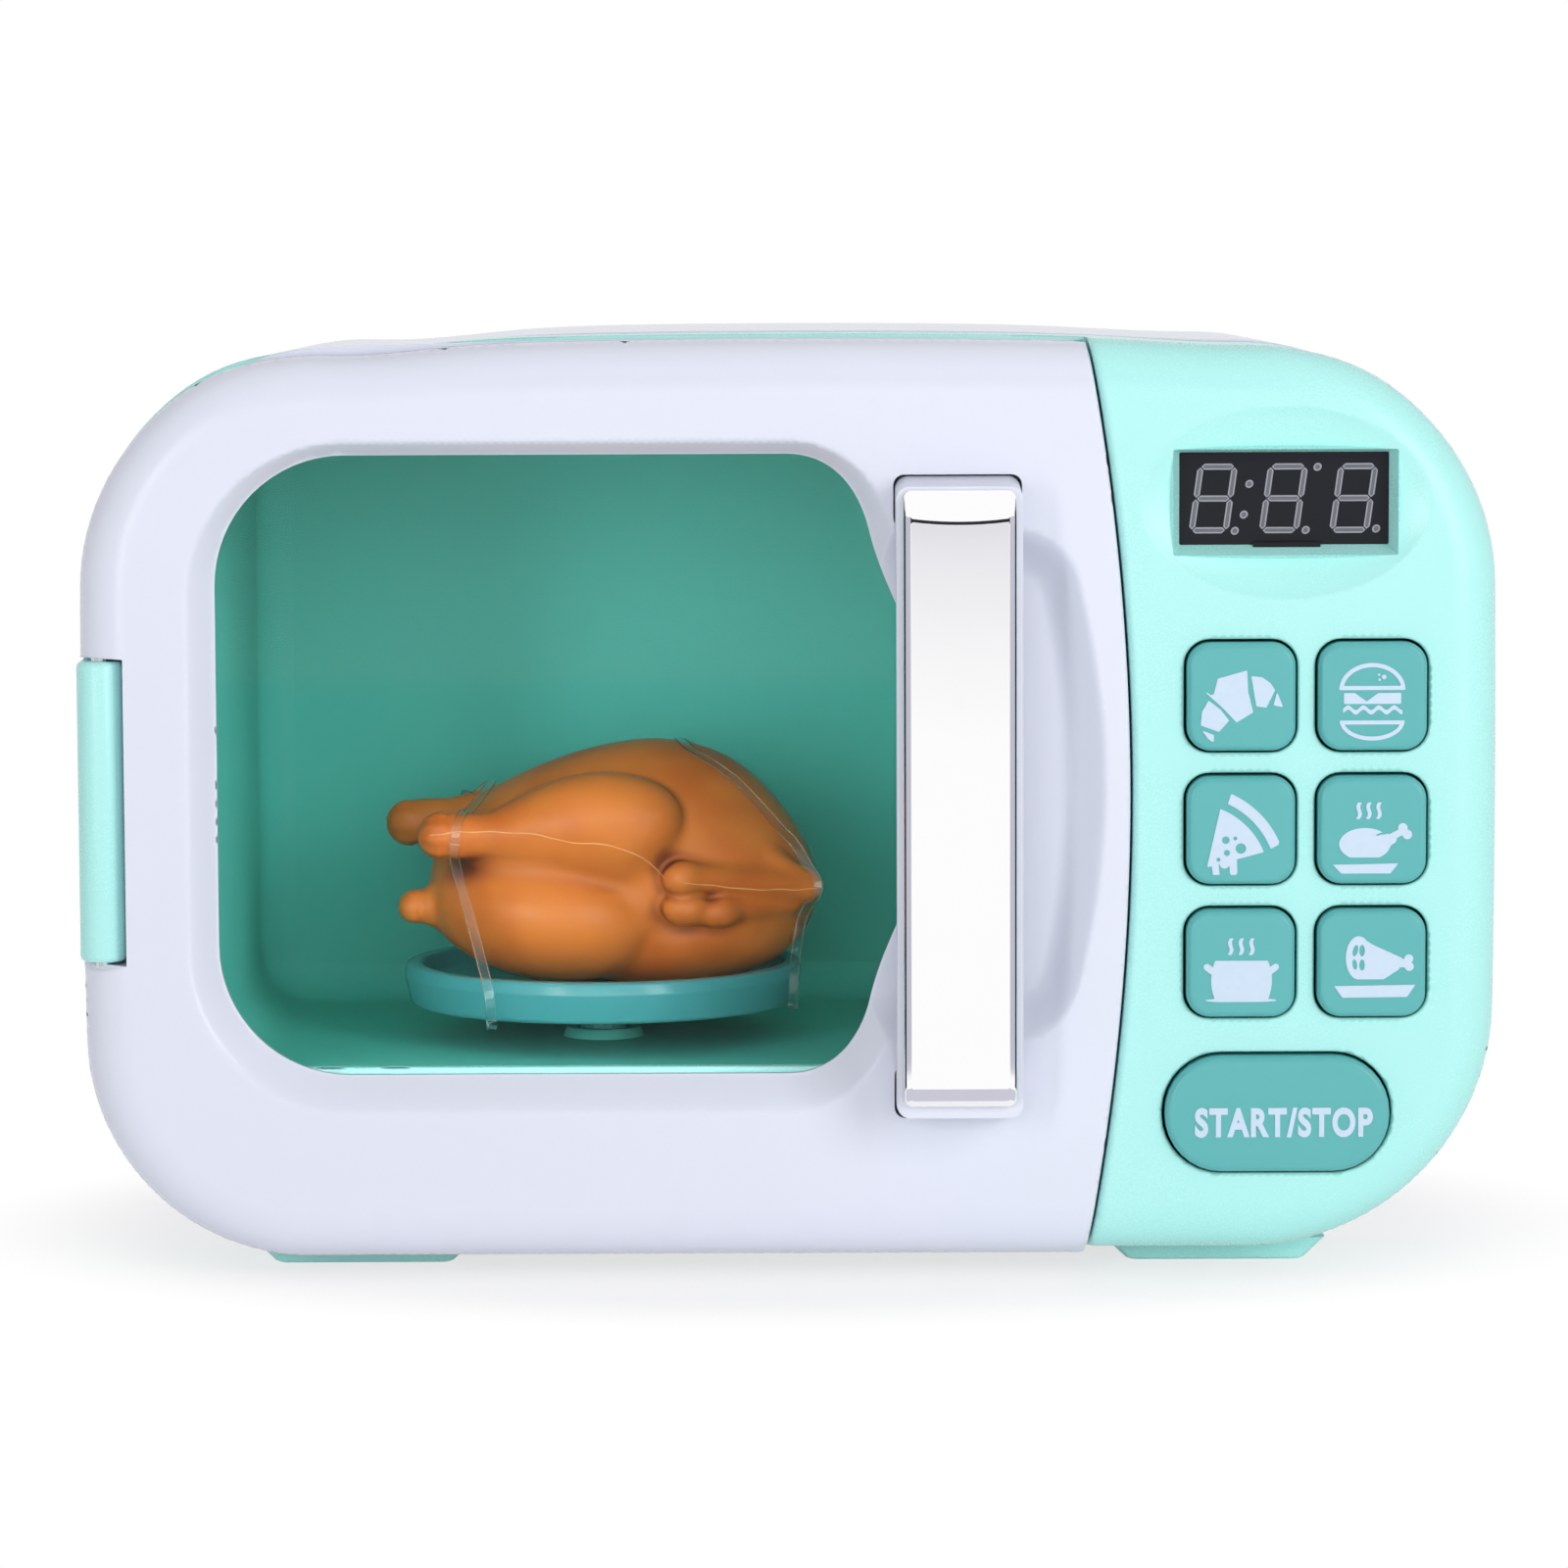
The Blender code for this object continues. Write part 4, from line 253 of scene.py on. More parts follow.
def tinted(colour: tuple, factor: float) -> tuple[float, float, float]:
    """A colour made lighter or darker by a factor, kept within range."""
    return tuple(min(value * factor, 1.0) for value in colour)


# Finishes

@dataclass(frozen=True)
class Finish:
    """A named finish that can be made once and shared by many pieces."""

    name: str

    def material(self) -> bpy.types.Material:
        """The material, made on first use."""
        found = bpy.data.materials.get(self.name)
        return found or self.make(Graph(self.name))

    def make(self, graph: Graph) -> bpy.types.Material:
        """Builds the nodes; each kind of finish has its own way."""
        raise NotImplementedError


@dataclass(frozen=True)
class Moulded(Finish):
    """Moulded plastic: a fine spark grain, slow swells from cooling and faint uneven gloss."""

    colour: tuple
    roughness: float = 0.32
    grain: float = 0.000004
    grain_waves: float = 2600.0
    swell: float = 0.000018
    swell_waves: float = 38.0
    variation: float = 0.03
    specular: float = 0.5
    coat: float = 0.0

    def make(self, graph: Graph) -> bpy.types.Material:
        """Colour drifts by a small share; height = swell + grain; gloss follows the grain.

        Returns:
            The finished material.
        """
        where = graph.place()
        drift = graph.noise(where, self.swell_waves, 3.0)
        grain = graph.noise(where, self.grain_waves, 2.0, 0.6)
        base = graph.blend(drift, tinted(self.colour, 1 - self.variation),
                           tinted(self.colour, 1 + self.variation))
        swell = graph.noise(where, self.swell_waves, 1.0)
        soft = graph.bump(swell, self.swell)
        fine = graph.add("ShaderNodeBump", {}, {
            "Strength": 1.0, "Distance": self.grain, "Height": grain, "Normal": soft}, "Normal")
        gloss = (grain - 0.5) * (self.roughness * 0.25) + (drift - 0.5) * (self.roughness * 0.2)
        inputs = {"Base_Color": base, "Roughness": gloss + self.roughness, "Normal": fine,
                  "IOR": 1.5, "Specular_IOR_Level": self.specular}
        if self.coat:
            inputs.update(Coat_Weight=self.coat, Coat_Roughness=0.08)
        return graph.close(graph.principled(**inputs))


@dataclass(frozen=True)
class Plated(Finish):
    """Chrome or bare metal: slow ripples of the plating and hair-fine wiping marks."""

    colour: tuple
    roughness: float = 0.06
    ripple: float = 0.000004
    marks: float = 0.04

    def make(self, graph: Graph) -> bpy.types.Material:
        """Height is a slow noise; roughness rises a little along thin upright marks."""
        where = graph.place()
        ripple = graph.noise(where, 160.0, 1.0)
        hairs = graph.noise(graph.moved(where, (0, 0, 0), (3000.0, 3000.0, 60.0)), 1.0, 2.0)
        rough = hairs.ramp(0.5, 0.8) * self.marks + self.roughness
        tone = graph.blend(graph.noise(where, 90.0), tinted(self.colour, 0.985), self.colour)
        return graph.close(graph.principled(Base_Color=tone, Metallic=1.0, Roughness=rough,
                                            Normal=graph.bump(ripple, self.ripple)))


@dataclass(frozen=True)
class Clear(Finish):
    """Clear moulded plastic that lets the lamps through, with faint haze from rubbing."""

    tint: tuple = (0.96, 0.99, 0.99)
    roughness: float = 0.02
    haze: float = 0.02
    index: float = 1.46

    def make(self, graph: Graph) -> bpy.types.Material:
        """Glass to every ray but a shadow ray, which passes straight through."""
        where = graph.place()
        rough = graph.noise(where, 220.0, 3.0).ramp(0.55, 0.8) * self.haze + self.roughness
        swell = graph.bump(graph.noise(where, 60.0, 1.0), 0.00001)
        glass = graph.principled(Base_Color=self.tint, Transmission_Weight=1.0, IOR=self.index,
                                 Roughness=rough, Normal=swell)
        open_way = graph.add("ShaderNodeBsdfTransparent", {}, {"Color": (*self.tint, 1.0)})
        shadow = graph.add("ShaderNodeLightPath", {}, {}, "Is Shadow Ray")
        return graph.close(graph.add("ShaderNodeMixShader", {}, {0: shadow, 1: glass, 2: open_way}))


@dataclass(frozen=True)
class Marking(Finish):
    """A picture or word moulded on a button: pale, a little translucent, slightly glossy."""

    colour: tuple
    roughness: float = 0.42

    def make(self, graph: Graph) -> bpy.types.Material:
        """Colour and gloss drift a little; a very fine grain."""
        where = graph.place()
        drift = graph.noise(where, 900.0, 2.0)
        tone = graph.blend(drift, tinted(self.colour, 0.965), tinted(self.colour, 1.03))
        return graph.close(graph.principled(
            Base_Color=tone, Roughness=(drift - 0.5) * 0.1 + self.roughness,
            Normal=graph.bump(graph.noise(where, 4000.0), 0.000006)))


@dataclass(frozen=True)
class RoastVinyl(Finish):
    """Soft orange-brown vinyl with a satin skin; painted shade makes it darker and redder in its folds."""

    colour: tuple
    # fold: the colour of the painted shade in the folds
    fold: tuple
    pale: tuple

    def make(self, graph: Graph) -> bpy.types.Material:
        """Colour drifts at random between the plain colour and the pale one, and runs to the fold colour as
        painted shade where the skin is hollow.
        """
        where = graph.place()
        # fold: how hollow the skin is, the mask of painted shade made in Roast.build
        fold = graph.add("ShaderNodeAttribute", {"attribute_name": "fold"}, {}, "Fac")
        cloud = graph.noise(where, 45.0, 3.0)
        skin = graph.noise(where, 1500.0, 3.0, 0.6)
        base = graph.blend(cloud.ramp(0.3, 0.7), self.colour, self.pale)
        # painted shade: the hollower the skin, the more its colour runs to the fold colour; roughness rises
        # with it
        painted_fold_shade = (fold + (cloud - 0.5) * 0.15).ramp(0.12, 0.85)
        tone = graph.blend(painted_fold_shade, base, self.fold)
        rough = (skin - 0.5) * 0.12 + (painted_fold_shade * 0.18 + 0.36)
        normal = graph.bump(skin, 0.00002)
        return graph.close(graph.principled(
            Base_Color=tone, Roughness=rough, Normal=normal, IOR=1.47, Specular_IOR_Level=0.25))


# Meshes

class MeshDraft:
    """Points and faces of one piece, gathered in millimetres of the drawing."""

    def __init__(self) -> None:
        """Starts with no points and no faces."""
        self.points: list[np.ndarray] = []
        self.normals: list[np.ndarray] = []
        self.faces: list[tuple] = []
        self.exact: list[np.ndarray] = []
        self.count = 0

    def add(self, points: np.ndarray, faces: np.ndarray | Sequence, flip: bool = False,
            normals: np.ndarray | None = None) -> None:
        """Adds a patch.

        Args:
            points: (N, 3) points.
            faces: (M, 3) or (M, 4) numbers of the patch's own points.
            flip: whether its faces turn round.
            normals: the true normal at each point; the faces' own where there is none.
        """
        points = np.asarray(points, float).reshape(-1, 3)
        faces = np.asarray(faces, int)
        if flip:
            faces = faces[:, ::-1]
        true = np.zeros_like(points) if normals is None else normals
        self.points.append(points)
        self.normals.append(true)
        self.faces.append(faces + self.count)
        self.count += len(points)

    def add_grid(self, points: np.ndarray, wrap_rows: bool = False, wrap_columns: bool = False,
                 flip: bool = False, normals: np.ndarray | None = None) -> None:
        """Adds a grid of points (rows, columns, 3) as quads, closed round either way if asked."""
        rows, columns = points.shape[:2]
        self.add(points, grid_faces(rows, columns, wrap_rows, wrap_columns), flip,
                 None if normals is None else normals.reshape(-1, 3))

    def add_cap(self, row: np.ndarray, axis: int, flip: bool) -> None:
        """Closes a loop of points that lies flat across an axis."""
        flat, triangles = filled([np.delete(row, axis, axis=1)], np.zeros((0, 2)))
        self.add(np.insert(flat, axis, row[0, axis], axis=1), triangles, flip)

    def build(self, name: str, body: Body, finish: Finish, slot: Slot, sharp: float = 32.0,
              weld: float = 0.0004, smooth: bool = True) -> bpy.types.Object:
        """Welds the patches, makes the object, dresses it and puts it on its body.

        Args:
            name: the piece's name.
            body: what it rides on.
            finish: its finish.
            slot: the record's slot; not used.
            sharp: angle in degrees past which an edge stays sharp.
            weld: distance within which points are one, in millimetres.
            smooth: whether faces are shaded smooth.

        Returns:
            The finished object.
        """
        points = np.concatenate(self.points)
        true = np.concatenate(self.normals)
        keys = np.round(points / weld).astype(np.int64)
        _, first, index = np.unique(keys, axis=0, return_index=True, return_inverse=True)
        index = index.reshape(-1)
        loops, sizes, sources = [], [], []
        for faces in self.faces:
            joined = index[faces]
            following = np.roll(joined, -1, axis=1)
            fine = (joined != following).sum(axis=1)
            whole = fine == faces.shape[1]
            loops.append(joined[whole].reshape(-1))
            sources.append(faces[whole].reshape(-1))
            sizes.append(np.full(whole.sum(), faces.shape[1]))
            if faces.shape[1] == 4:
                self.add_triangles(joined, following, fine == 3, faces, loops, sizes, sources)
        loops, sizes, sources = (np.concatenate(part) for part in (loops, sizes, sources))
        mesh = bpy.data.meshes.new(name)
        mesh.vertices.add(len(first))
        world = (points[first] + DRAWING_ORIGIN) * MILLIMETRE
        mesh.vertices.foreach_set("co", world.astype(np.float32).reshape(-1))
        mesh.loops.add(len(loops))
        mesh.loops.foreach_set("vertex_index", loops.astype(np.int32))
        mesh.polygons.add(len(sizes))
        starts = np.concatenate(((0,), np.cumsum(sizes)[:-1]))
        mesh.polygons.foreach_set("loop_start", starts.astype(np.int32))
        mesh.update(calc_edges=True)
        mesh.validate(clean_customdata=False)
        if smooth:
            mesh.shade_smooth()
            mesh.set_sharp_from_angle(angle=math.radians(sharp))
            if true.any() and len(mesh.loops) == len(loops):
                mesh.normals_split_custom_set(true[sources].tolist())
        return finished(name, mesh, body, finish, slot)

    @staticmethod
    def add_triangles(joined: np.ndarray, following: np.ndarray, chosen: np.ndarray, faces: np.ndarray,
                      loops: list, sizes: list, sources: list) -> None:
        """Adds the quads that welding made triangles, each without its doubled corner."""
        if chosen.any():
            keep = (joined != following)[chosen]
            loops.append(joined[chosen][keep])
            sources.append(faces[chosen][keep])
            sizes.append(np.full(chosen.sum(), 3))


def finished(name: str, mesh: bpy.types.Mesh, body: Body, finish: Finish,
             slot: Slot) -> bpy.types.Object:
    """Makes a mesh an object of the scene, with its finish and its body."""
    thing = bpy.data.objects.new(name, mesh)
    bpy.context.scene.collection.objects.link(thing)
    mesh.materials.clear()
    mesh.materials.append(finish.material())
    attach(thing, body.value)
    LOG.info("%s: %d faces, %s", name, len(mesh.polygons), finish.name)
    return thing


def grid_faces(rows: int, columns: int, wrap_rows: bool = False,
               wrap_columns: bool = False) -> np.ndarray:
    """The quads of a grid of points, row by row."""
    row, column = np.meshgrid(np.arange(rows if wrap_rows else rows - 1),
                              np.arange(columns if wrap_columns else columns - 1), indexing="ij")
    below, beside = (row + 1) % rows, (column + 1) % columns
    corners = (row * columns + column, below * columns + column, below * columns + beside,
               row * columns + beside)
    return np.stack(corners, axis=-1).reshape(-1, 4)


def turned(profile: Sequence[tuple[float, float]], steps: int, centre: Sequence[float],
           axis: str = "z") -> np.ndarray:
    """A profile of (radius, height) turned about an upright axis, or about one into the depth.

    A point is centre + (radius cos a, radius sin a, height) for each angle a of the round.
    """
    angle = np.linspace(0, 2 * np.pi, steps, endpoint=False)
    radius, height = np.asarray(profile, float).T
    flat = radius[:, None] * np.stack((np.cos(angle), np.sin(angle)))[:, None, :]
    up = np.repeat(height[:, None], steps, axis=1)
    order = (flat[0], flat[1], up) if axis == "z" else (flat[0], up, flat[1])
    return np.stack(order, axis=-1) + np.asarray(centre)


def rounded_profile(corners: Sequence[tuple[float, float, float]], steps: int = 5) -> np.ndarray:
    """A polyline whose corners (u, v, radius) are rounded by arcs that touch both their sides."""
    points = [np.asarray(corner[:2], float) for corner in corners]
    result = [points[0]]
    for number in range(1, len(points) - 1):
        before, here, after = points[number - 1:number + 2]
        radius = corners[number][2]
        one, two = before - here, after - here
        one, two = one / np.linalg.norm(one), two / np.linalg.norm(two)
        half = math.acos(float(np.clip(one @ two, -1, 1))) / 2
        if radius <= 0 or half > 1.56:
            result.append(here)
            continue
        reach = radius / math.tan(half)
        centre = here + (one + two) / np.linalg.norm(one + two) * radius / math.sin(half)
        start, end = here + one * reach - centre, here + two * reach - centre
        turn = math.atan2(start[0] * end[1] - start[1] * end[0], float(start @ end))
        for share in np.linspace(0, turn, steps + 1):
            cosine, sine = math.cos(share), math.sin(share)
            result.append(centre + (start[0] * cosine - start[1] * sine,
                                    start[0] * sine + start[1] * cosine))
    result.append(points[-1])
    return np.array(result)


def arc(centre: tuple[float, float], radius: float, start: float, end: float, steps: int) -> Outline:
    """Points of a circle's arc between two angles in degrees."""
    angle = np.radians(np.linspace(start, end, steps + 1))
    return np.stack((centre[0] + radius * np.cos(angle), centre[1] + radius * np.sin(angle)), axis=1)


def rounded_box(left: float, right: float, low: float, high: float, radii: Sequence[float],
                steps: int = 10, pitch: float = 3.0) -> Outline:
    """A rounded rectangle, counter-clockwise: corners right-top, left-top, left-bottom, right-bottom."""
    one, two, three, four = radii
    corners = (arc((right - one, high - one), one, 0, 90, steps),
               arc((left + two, high - two), two, 90, 180, steps),
               arc((left + three, low + three), three, 180, 270, steps),
               arc((right - four, low + four), four, 270, 360, steps))
    parts = []
    for corner, following in zip(corners, corners[1:] + corners[:1]):
        length = np.linalg.norm(following[0] - corner[-1])
        count = max(int(length / pitch), 1)
        share = np.linspace(0, 1, count + 1)[1:-1, None]
        parts += [corner, corner[-1] + (following[0] - corner[-1]) * share]
    return distinct(np.concatenate(parts))


def distinct(outline: Outline, least: float = 0.002) -> Outline:
    """An outline without doubled neighbours."""
    gap = np.linalg.norm(outline - np.roll(outline, 1, axis=0), axis=1)
    return outline[gap > least]


def box_distance(x: np.ndarray, z: np.ndarray, centre: Sequence[float], half: Sequence[float],
                 radius: "float | np.ndarray") -> np.ndarray:
    """Signed distance from a rounded rectangle: below nought inside."""
    across = np.abs(x - centre[0]) - half[0] + radius
    up = np.abs(z - centre[1]) - half[1] + radius
    outside = np.hypot(np.maximum(across, 0), np.maximum(up, 0))
    return outside + np.minimum(np.maximum(across, up), 0) - radius


def inside(outline: Outline, points: np.ndarray) -> np.ndarray:
    """Whether each point lies in an outline: an odd number of its sides lie to the right."""
    x, z = points[:, 0][:, None], points[:, 1][:, None]
    start, end = outline, np.roll(outline, -1, axis=0)
    spans = (start[:, 1] > z) != (end[:, 1] > z)
    rise = np.where(end[:, 1] == start[:, 1], 1e-12, end[:, 1] - start[:, 1])
    crossing = start[:, 0] + (z - start[:, 1]) * (end[:, 0] - start[:, 0]) / rise
    return (spans & (x < crossing)).sum(axis=1) % 2 == 1


def far_from(outline: Outline, points: np.ndarray, least: float) -> np.ndarray:
    """Whether each point is at least a distance from every side of an outline."""
    start, end = outline, np.roll(outline, -1, axis=0)
    side = end - start
    length = np.maximum((side ** 2).sum(axis=1), 1e-12)
    result = np.ones(len(points), bool)
    for first in range(0, len(points), 4000):
        some = points[first:first + 4000, None, :] - start
        share = np.clip((some * side).sum(axis=2) / length, 0, 1)
        nearest = np.hypot(*np.moveaxis(some - share[..., None] * side, 2, 0)).min(axis=1)
        result[first:first + 4000] = nearest >= least
    return result


def cleared(points: np.ndarray, outline: Outline, holes: Sequence[Outline], clear: float) -> np.ndarray:
    """The points inside an outline and outside its holes that keep a distance from all of them."""
    kept = inside(outline, points)
    for hole in holes:
        kept &= ~inside(hole, points)
    points = points[kept]
    for edge in (outline, *holes):
        points = points[far_from(edge, points, clear)]
    return points


def relief_normals(depth: Depth, x: np.ndarray, z: np.ndarray, facing: float, step: float) -> np.ndarray:
    """The normals of the relief y = facing depth(x, z), from small steps of its depth."""
    along = (depth(x + step, z) - depth(x - step, z)) / (2 * step)
    up = (depth(x, z + step) - depth(x, z - step)) / (2 * step)
    normals = np.stack((along, np.full_like(x, -facing), up), axis=1)
    return normals / np.linalg.norm(normals, axis=1, keepdims=True)


def eased(distance: np.ndarray, radius: float) -> np.ndarray:
    """How far a rounded edge has dropped: radius - sqrt(radius^2 - (radius - distance)^2)."""
    lack = np.clip(radius - distance, 0, radius)
    return radius - np.sqrt(np.maximum(radius ** 2 - lack ** 2, 0))


def filled(outlines: Sequence[Outline], extra: np.ndarray) -> tuple[np.ndarray, np.ndarray]:
    """Triangles that fill the first outline less the others.

    Args:
        outlines: the edge and the holes.
        extra: (N, 2) further points that the triangles use.

    Returns:
        The points (x, z) and the triangles, counter-clockwise as seen from the front.
    """
    corners, edges = [], []
    count = 0
    for outline in outlines:
        number = np.arange(len(outline))
        edges.append(np.stack((number, (number + 1) % len(outline)), axis=1) + count)
        corners.append(outline)
        count += len(outline)
    corners.append(extra.reshape(-1, 2))
    flat = np.concatenate(corners)
    made = delaunay_2d_cdt([Vector(point) for point in flat.tolist()],
                           np.concatenate(edges).tolist(), [], 0, 1e-6)
    points = np.array([tuple(point) for point in made[0]])
    triangles = np.array(made[2])
    middle = points[triangles].mean(axis=1)
    kept = inside(outlines[0], middle)
    for hole in outlines[1:]:
        kept &= ~inside(hole, middle)
    triangles = triangles[kept]
    one, two, three = (points[triangles[:, number]] for number in range(3))
    area = ((two[:, 0] - one[:, 0]) * (three[:, 1] - one[:, 1])
            - (two[:, 1] - one[:, 1]) * (three[:, 0] - one[:, 0]))
    triangles[area < 0] = triangles[area < 0][:, ::-1]
    return points, triangles[np.abs(area) > 1e-9]


@dataclass(frozen=True)
class Palette:
    """The finishes of the whole toy."""

    mint: Moulded = Moulded("mint_abs", linear(176, 238, 233), roughness=0.27, variation=0.012)
    white: Moulded = Moulded("cool_white_abs", linear(222, 225, 238), roughness=0.24, variation=0.012)
    teal: Moulded = Moulded("plate_teal", linear(66, 146, 150), roughness=0.24, variation=0.03)
    liner: Moulded = Moulded("liner_green", linear(86, 190, 176), roughness=0.5, grain=0.00001,
                             grain_waves=1500.0, variation=0.03, specular=0.12)
    button: Moulded = Moulded("button_teal", linear(90, 176, 176), roughness=0.3, variation=0.015)
    icon: Marking = Marking("icon_pale_blue", linear(200, 217, 235))
    chrome: Plated = Plated("bar_chrome", (0.985, 0.985, 0.99), roughness=0.06)
    steel: Plated = Plated("bright_steel", (0.62, 0.63, 0.65), roughness=0.24, marks=0.15)
    pane: Clear = Clear("clear_pane", index=1.16)
    band: Clear = Clear("clear_band", roughness=0.06)
    black: Moulded = Moulded("satin_black", linear(26, 27, 33), roughness=0.32, variation=0.1,
                             specular=0.2)
    segment: Marking = Marking("digit_lilac", linear(150, 150, 158), roughness=0.35)
    board: Moulded = Moulded("board_green", linear(24, 96, 56), roughness=0.42, variation=0.15)
    natural: Moulded = Moulded("natural_nylon", linear(224, 221, 210), roughness=0.42)
    jacket: Moulded = Moulded("cell_jacket", linear(60, 62, 74), roughness=0.25, variation=0.1)
    roast: Moulded = Moulded("roast_vinyl", linear(199, 109, 47), roughness=0.36, variation=0.08)
    # The roast's skin: plain colour, the painted shade colour of its folds, and a paler random tone
    roast_skin_painted_shade: RoastVinyl = RoastVinyl("roast_skin_painted_shade", linear(182, 88, 26), linear(104, 40, 14),
                                        linear(206, 116, 46))
    # The mould seam's thread: a real ridge, paler than the skin as a painted highlight
    seam: Moulded = Moulded("roast_seam_painted_highlight", linear(224, 160, 96), roughness=0.4, variation=0.05)
    unlit: Marking = Marking("digit_grey", linear(98, 98, 106), roughness=0.4)


@dataclass(frozen=True)
class BodyForm:
    """The soft box that the whole toy is cut from."""

    half_width: float = 128.1
    half_height: float = 84.2
    corner: float = 44.0
    lower_left: float = 40.5
    top_bow: float = 3.4
    side_bow: float = 1.1
    pillow_width: float = 9.5
    pillow_depth: float = 7.8
    wall: float = 2.2
    gap: float = 0.3
    housing_end: float = 40.0
    frame_face: float = 19.0
    back: float = 150.0
    cover_round: float = 6.5
    door_edge: float = 61.8
    edge_rise: float = 8.2
    door_gap: float = 0.5
    door_inset: float = 0.9
    low_lift: float = 0.0
    sag: float = 0.9
    shoulder: tuple[float, float, float] = (1.1, 78.0, 17.0)
    shoulder_lean: float = 0.35

    def bowed(self, points: Outline) -> Outline:
        """Sides and top swell: x shrinks with height squared, z drops with x squared in the upper half."""
        x, z = points[:, 0], points[:, 1]
        up = z / self.half_height
        return np.stack((x * (1 - self.side_bow / self.half_width * up * up),
                         z - self.drop(x, up)), axis=1)

    def drop(self, x: np.ndarray, up: np.ndarray) -> np.ndarray:
        """How far the top sinks: a parabola across, and a lower brow with soft shoulders.

        Brow = (sag + height e^-(((|x| - place) / width)^2)) faded out towards the corners, times the
        cube of the height; the shoulder is taller on the left by tanh(x / 30).
        """
        rise = np.maximum(up, 0)
        height, place, width = self.shoulder
        tall = height - self.shoulder_lean * np.tanh(x / 30)
        brow = self.sag + tall * np.exp(-((np.abs(x) - place) / width) ** 2)
        fade = np.clip((np.abs(x) - 92) / 20, 0, 1)
        brow = brow * (1 - fade * fade * (3 - 2 * fade))
        return self.top_bow * (x / self.half_width) ** 2 * rise + brow * rise ** 3

    def outline(self, inset: float, steps: int = 26, pitch: float = 2.5) -> Outline:
        """The body seen from the front, drawn in by a constant inset."""
        radius = self.corner - inset
        box = rounded_box(inset - self.half_width, self.half_width - inset,
                          inset - self.half_height + self.low_lift, self.half_height - inset,
                          (radius, radius, self.lower_left - inset, radius), steps, pitch)
        return self.bowed(box)

    def inset_at(self, x: np.ndarray, z: np.ndarray) -> np.ndarray:
        """How far a point lies inside the body's edge: the bow undone, then a rounded box's distance."""
        flat_x, flat_z = x, z
        for _ in range(4):
            up = flat_z / self.half_height
            flat_x = x / (1 - self.side_bow / self.half_width * up * up)
            flat_z = z + self.drop(flat_x, up)
        radius = np.where((flat_x < 0) & (flat_z < 0), self.lower_left, self.corner)
        half = (self.half_width, self.half_height - self.low_lift / 2)
        return -box_distance(flat_x, flat_z, (0, self.low_lift / 2), half, radius)

    def pillow(self, inset: np.ndarray) -> np.ndarray:
        """Depth of the soft front edge: a quarter ellipse, pillow_width wide and pillow_depth deep."""
        lack = np.clip(1 - inset / self.pillow_width, 0, 1)
        return self.pillow_depth * (1 - np.sqrt(np.maximum(1 - lack ** 2, 0)))

    def edge_x(self, z: np.ndarray) -> np.ndarray:
        """Where the door ends: one long arc, x = edge - rise (z / half height)^2."""
        return self.door_edge - self.edge_rise * (z / self.half_height) ** 2

    def from_edge(self, x: np.ndarray, z: np.ndarray) -> np.ndarray:
        """How far a point lies to the right of the door's edge, square to it."""
        slope = 2 * self.edge_rise * z / self.half_height ** 2
        return (x - self.edge_x(z)) / np.sqrt(1 + slope ** 2)

    def side_of(self, inset: float, shift: float, right: bool) -> Outline:
        """The body's outline on one side of the door's edge moved by a shift, counter-clockwise."""
        whole = self.outline(inset)
        kept = (whole[:, 0] > self.edge_x(whole[:, 1]) + shift) == right
        first = int(np.flatnonzero(kept & ~np.roll(kept, 1))[0])
        run = np.roll(whole, -first, axis=0)[:int(kept.sum())]
        before, after = whole[first - 1], np.roll(whole, -first, axis=0)[int(kept.sum())]
        start = self.on_edge(before, run[0], shift)
        end = self.on_edge(run[-1], after, shift)
        levels = np.linspace(end[1], start[1], 72)[1:-1]
        edge = np.stack((self.edge_x(levels) + shift, levels), axis=1)
        return distinct(np.concatenate((start[None], run, end[None], edge)), 0.02)

    def on_edge(self, one: np.ndarray, two: np.ndarray, shift: float) -> np.ndarray:
        """The point between two others that lies on the moved edge, by repeated secants."""
        low, high = 0.0, 1.0
        sign = np.sign(one[0] - self.edge_x(one[1]) - shift)
        for _ in range(30):
            middle = (low + high) / 2
            point = one + (two - one) * middle
            if np.sign(point[0] - self.edge_x(point[1]) - shift) == sign:
                low = middle
            else:
                high = middle
        return one + (two - one) * (low + high) / 2


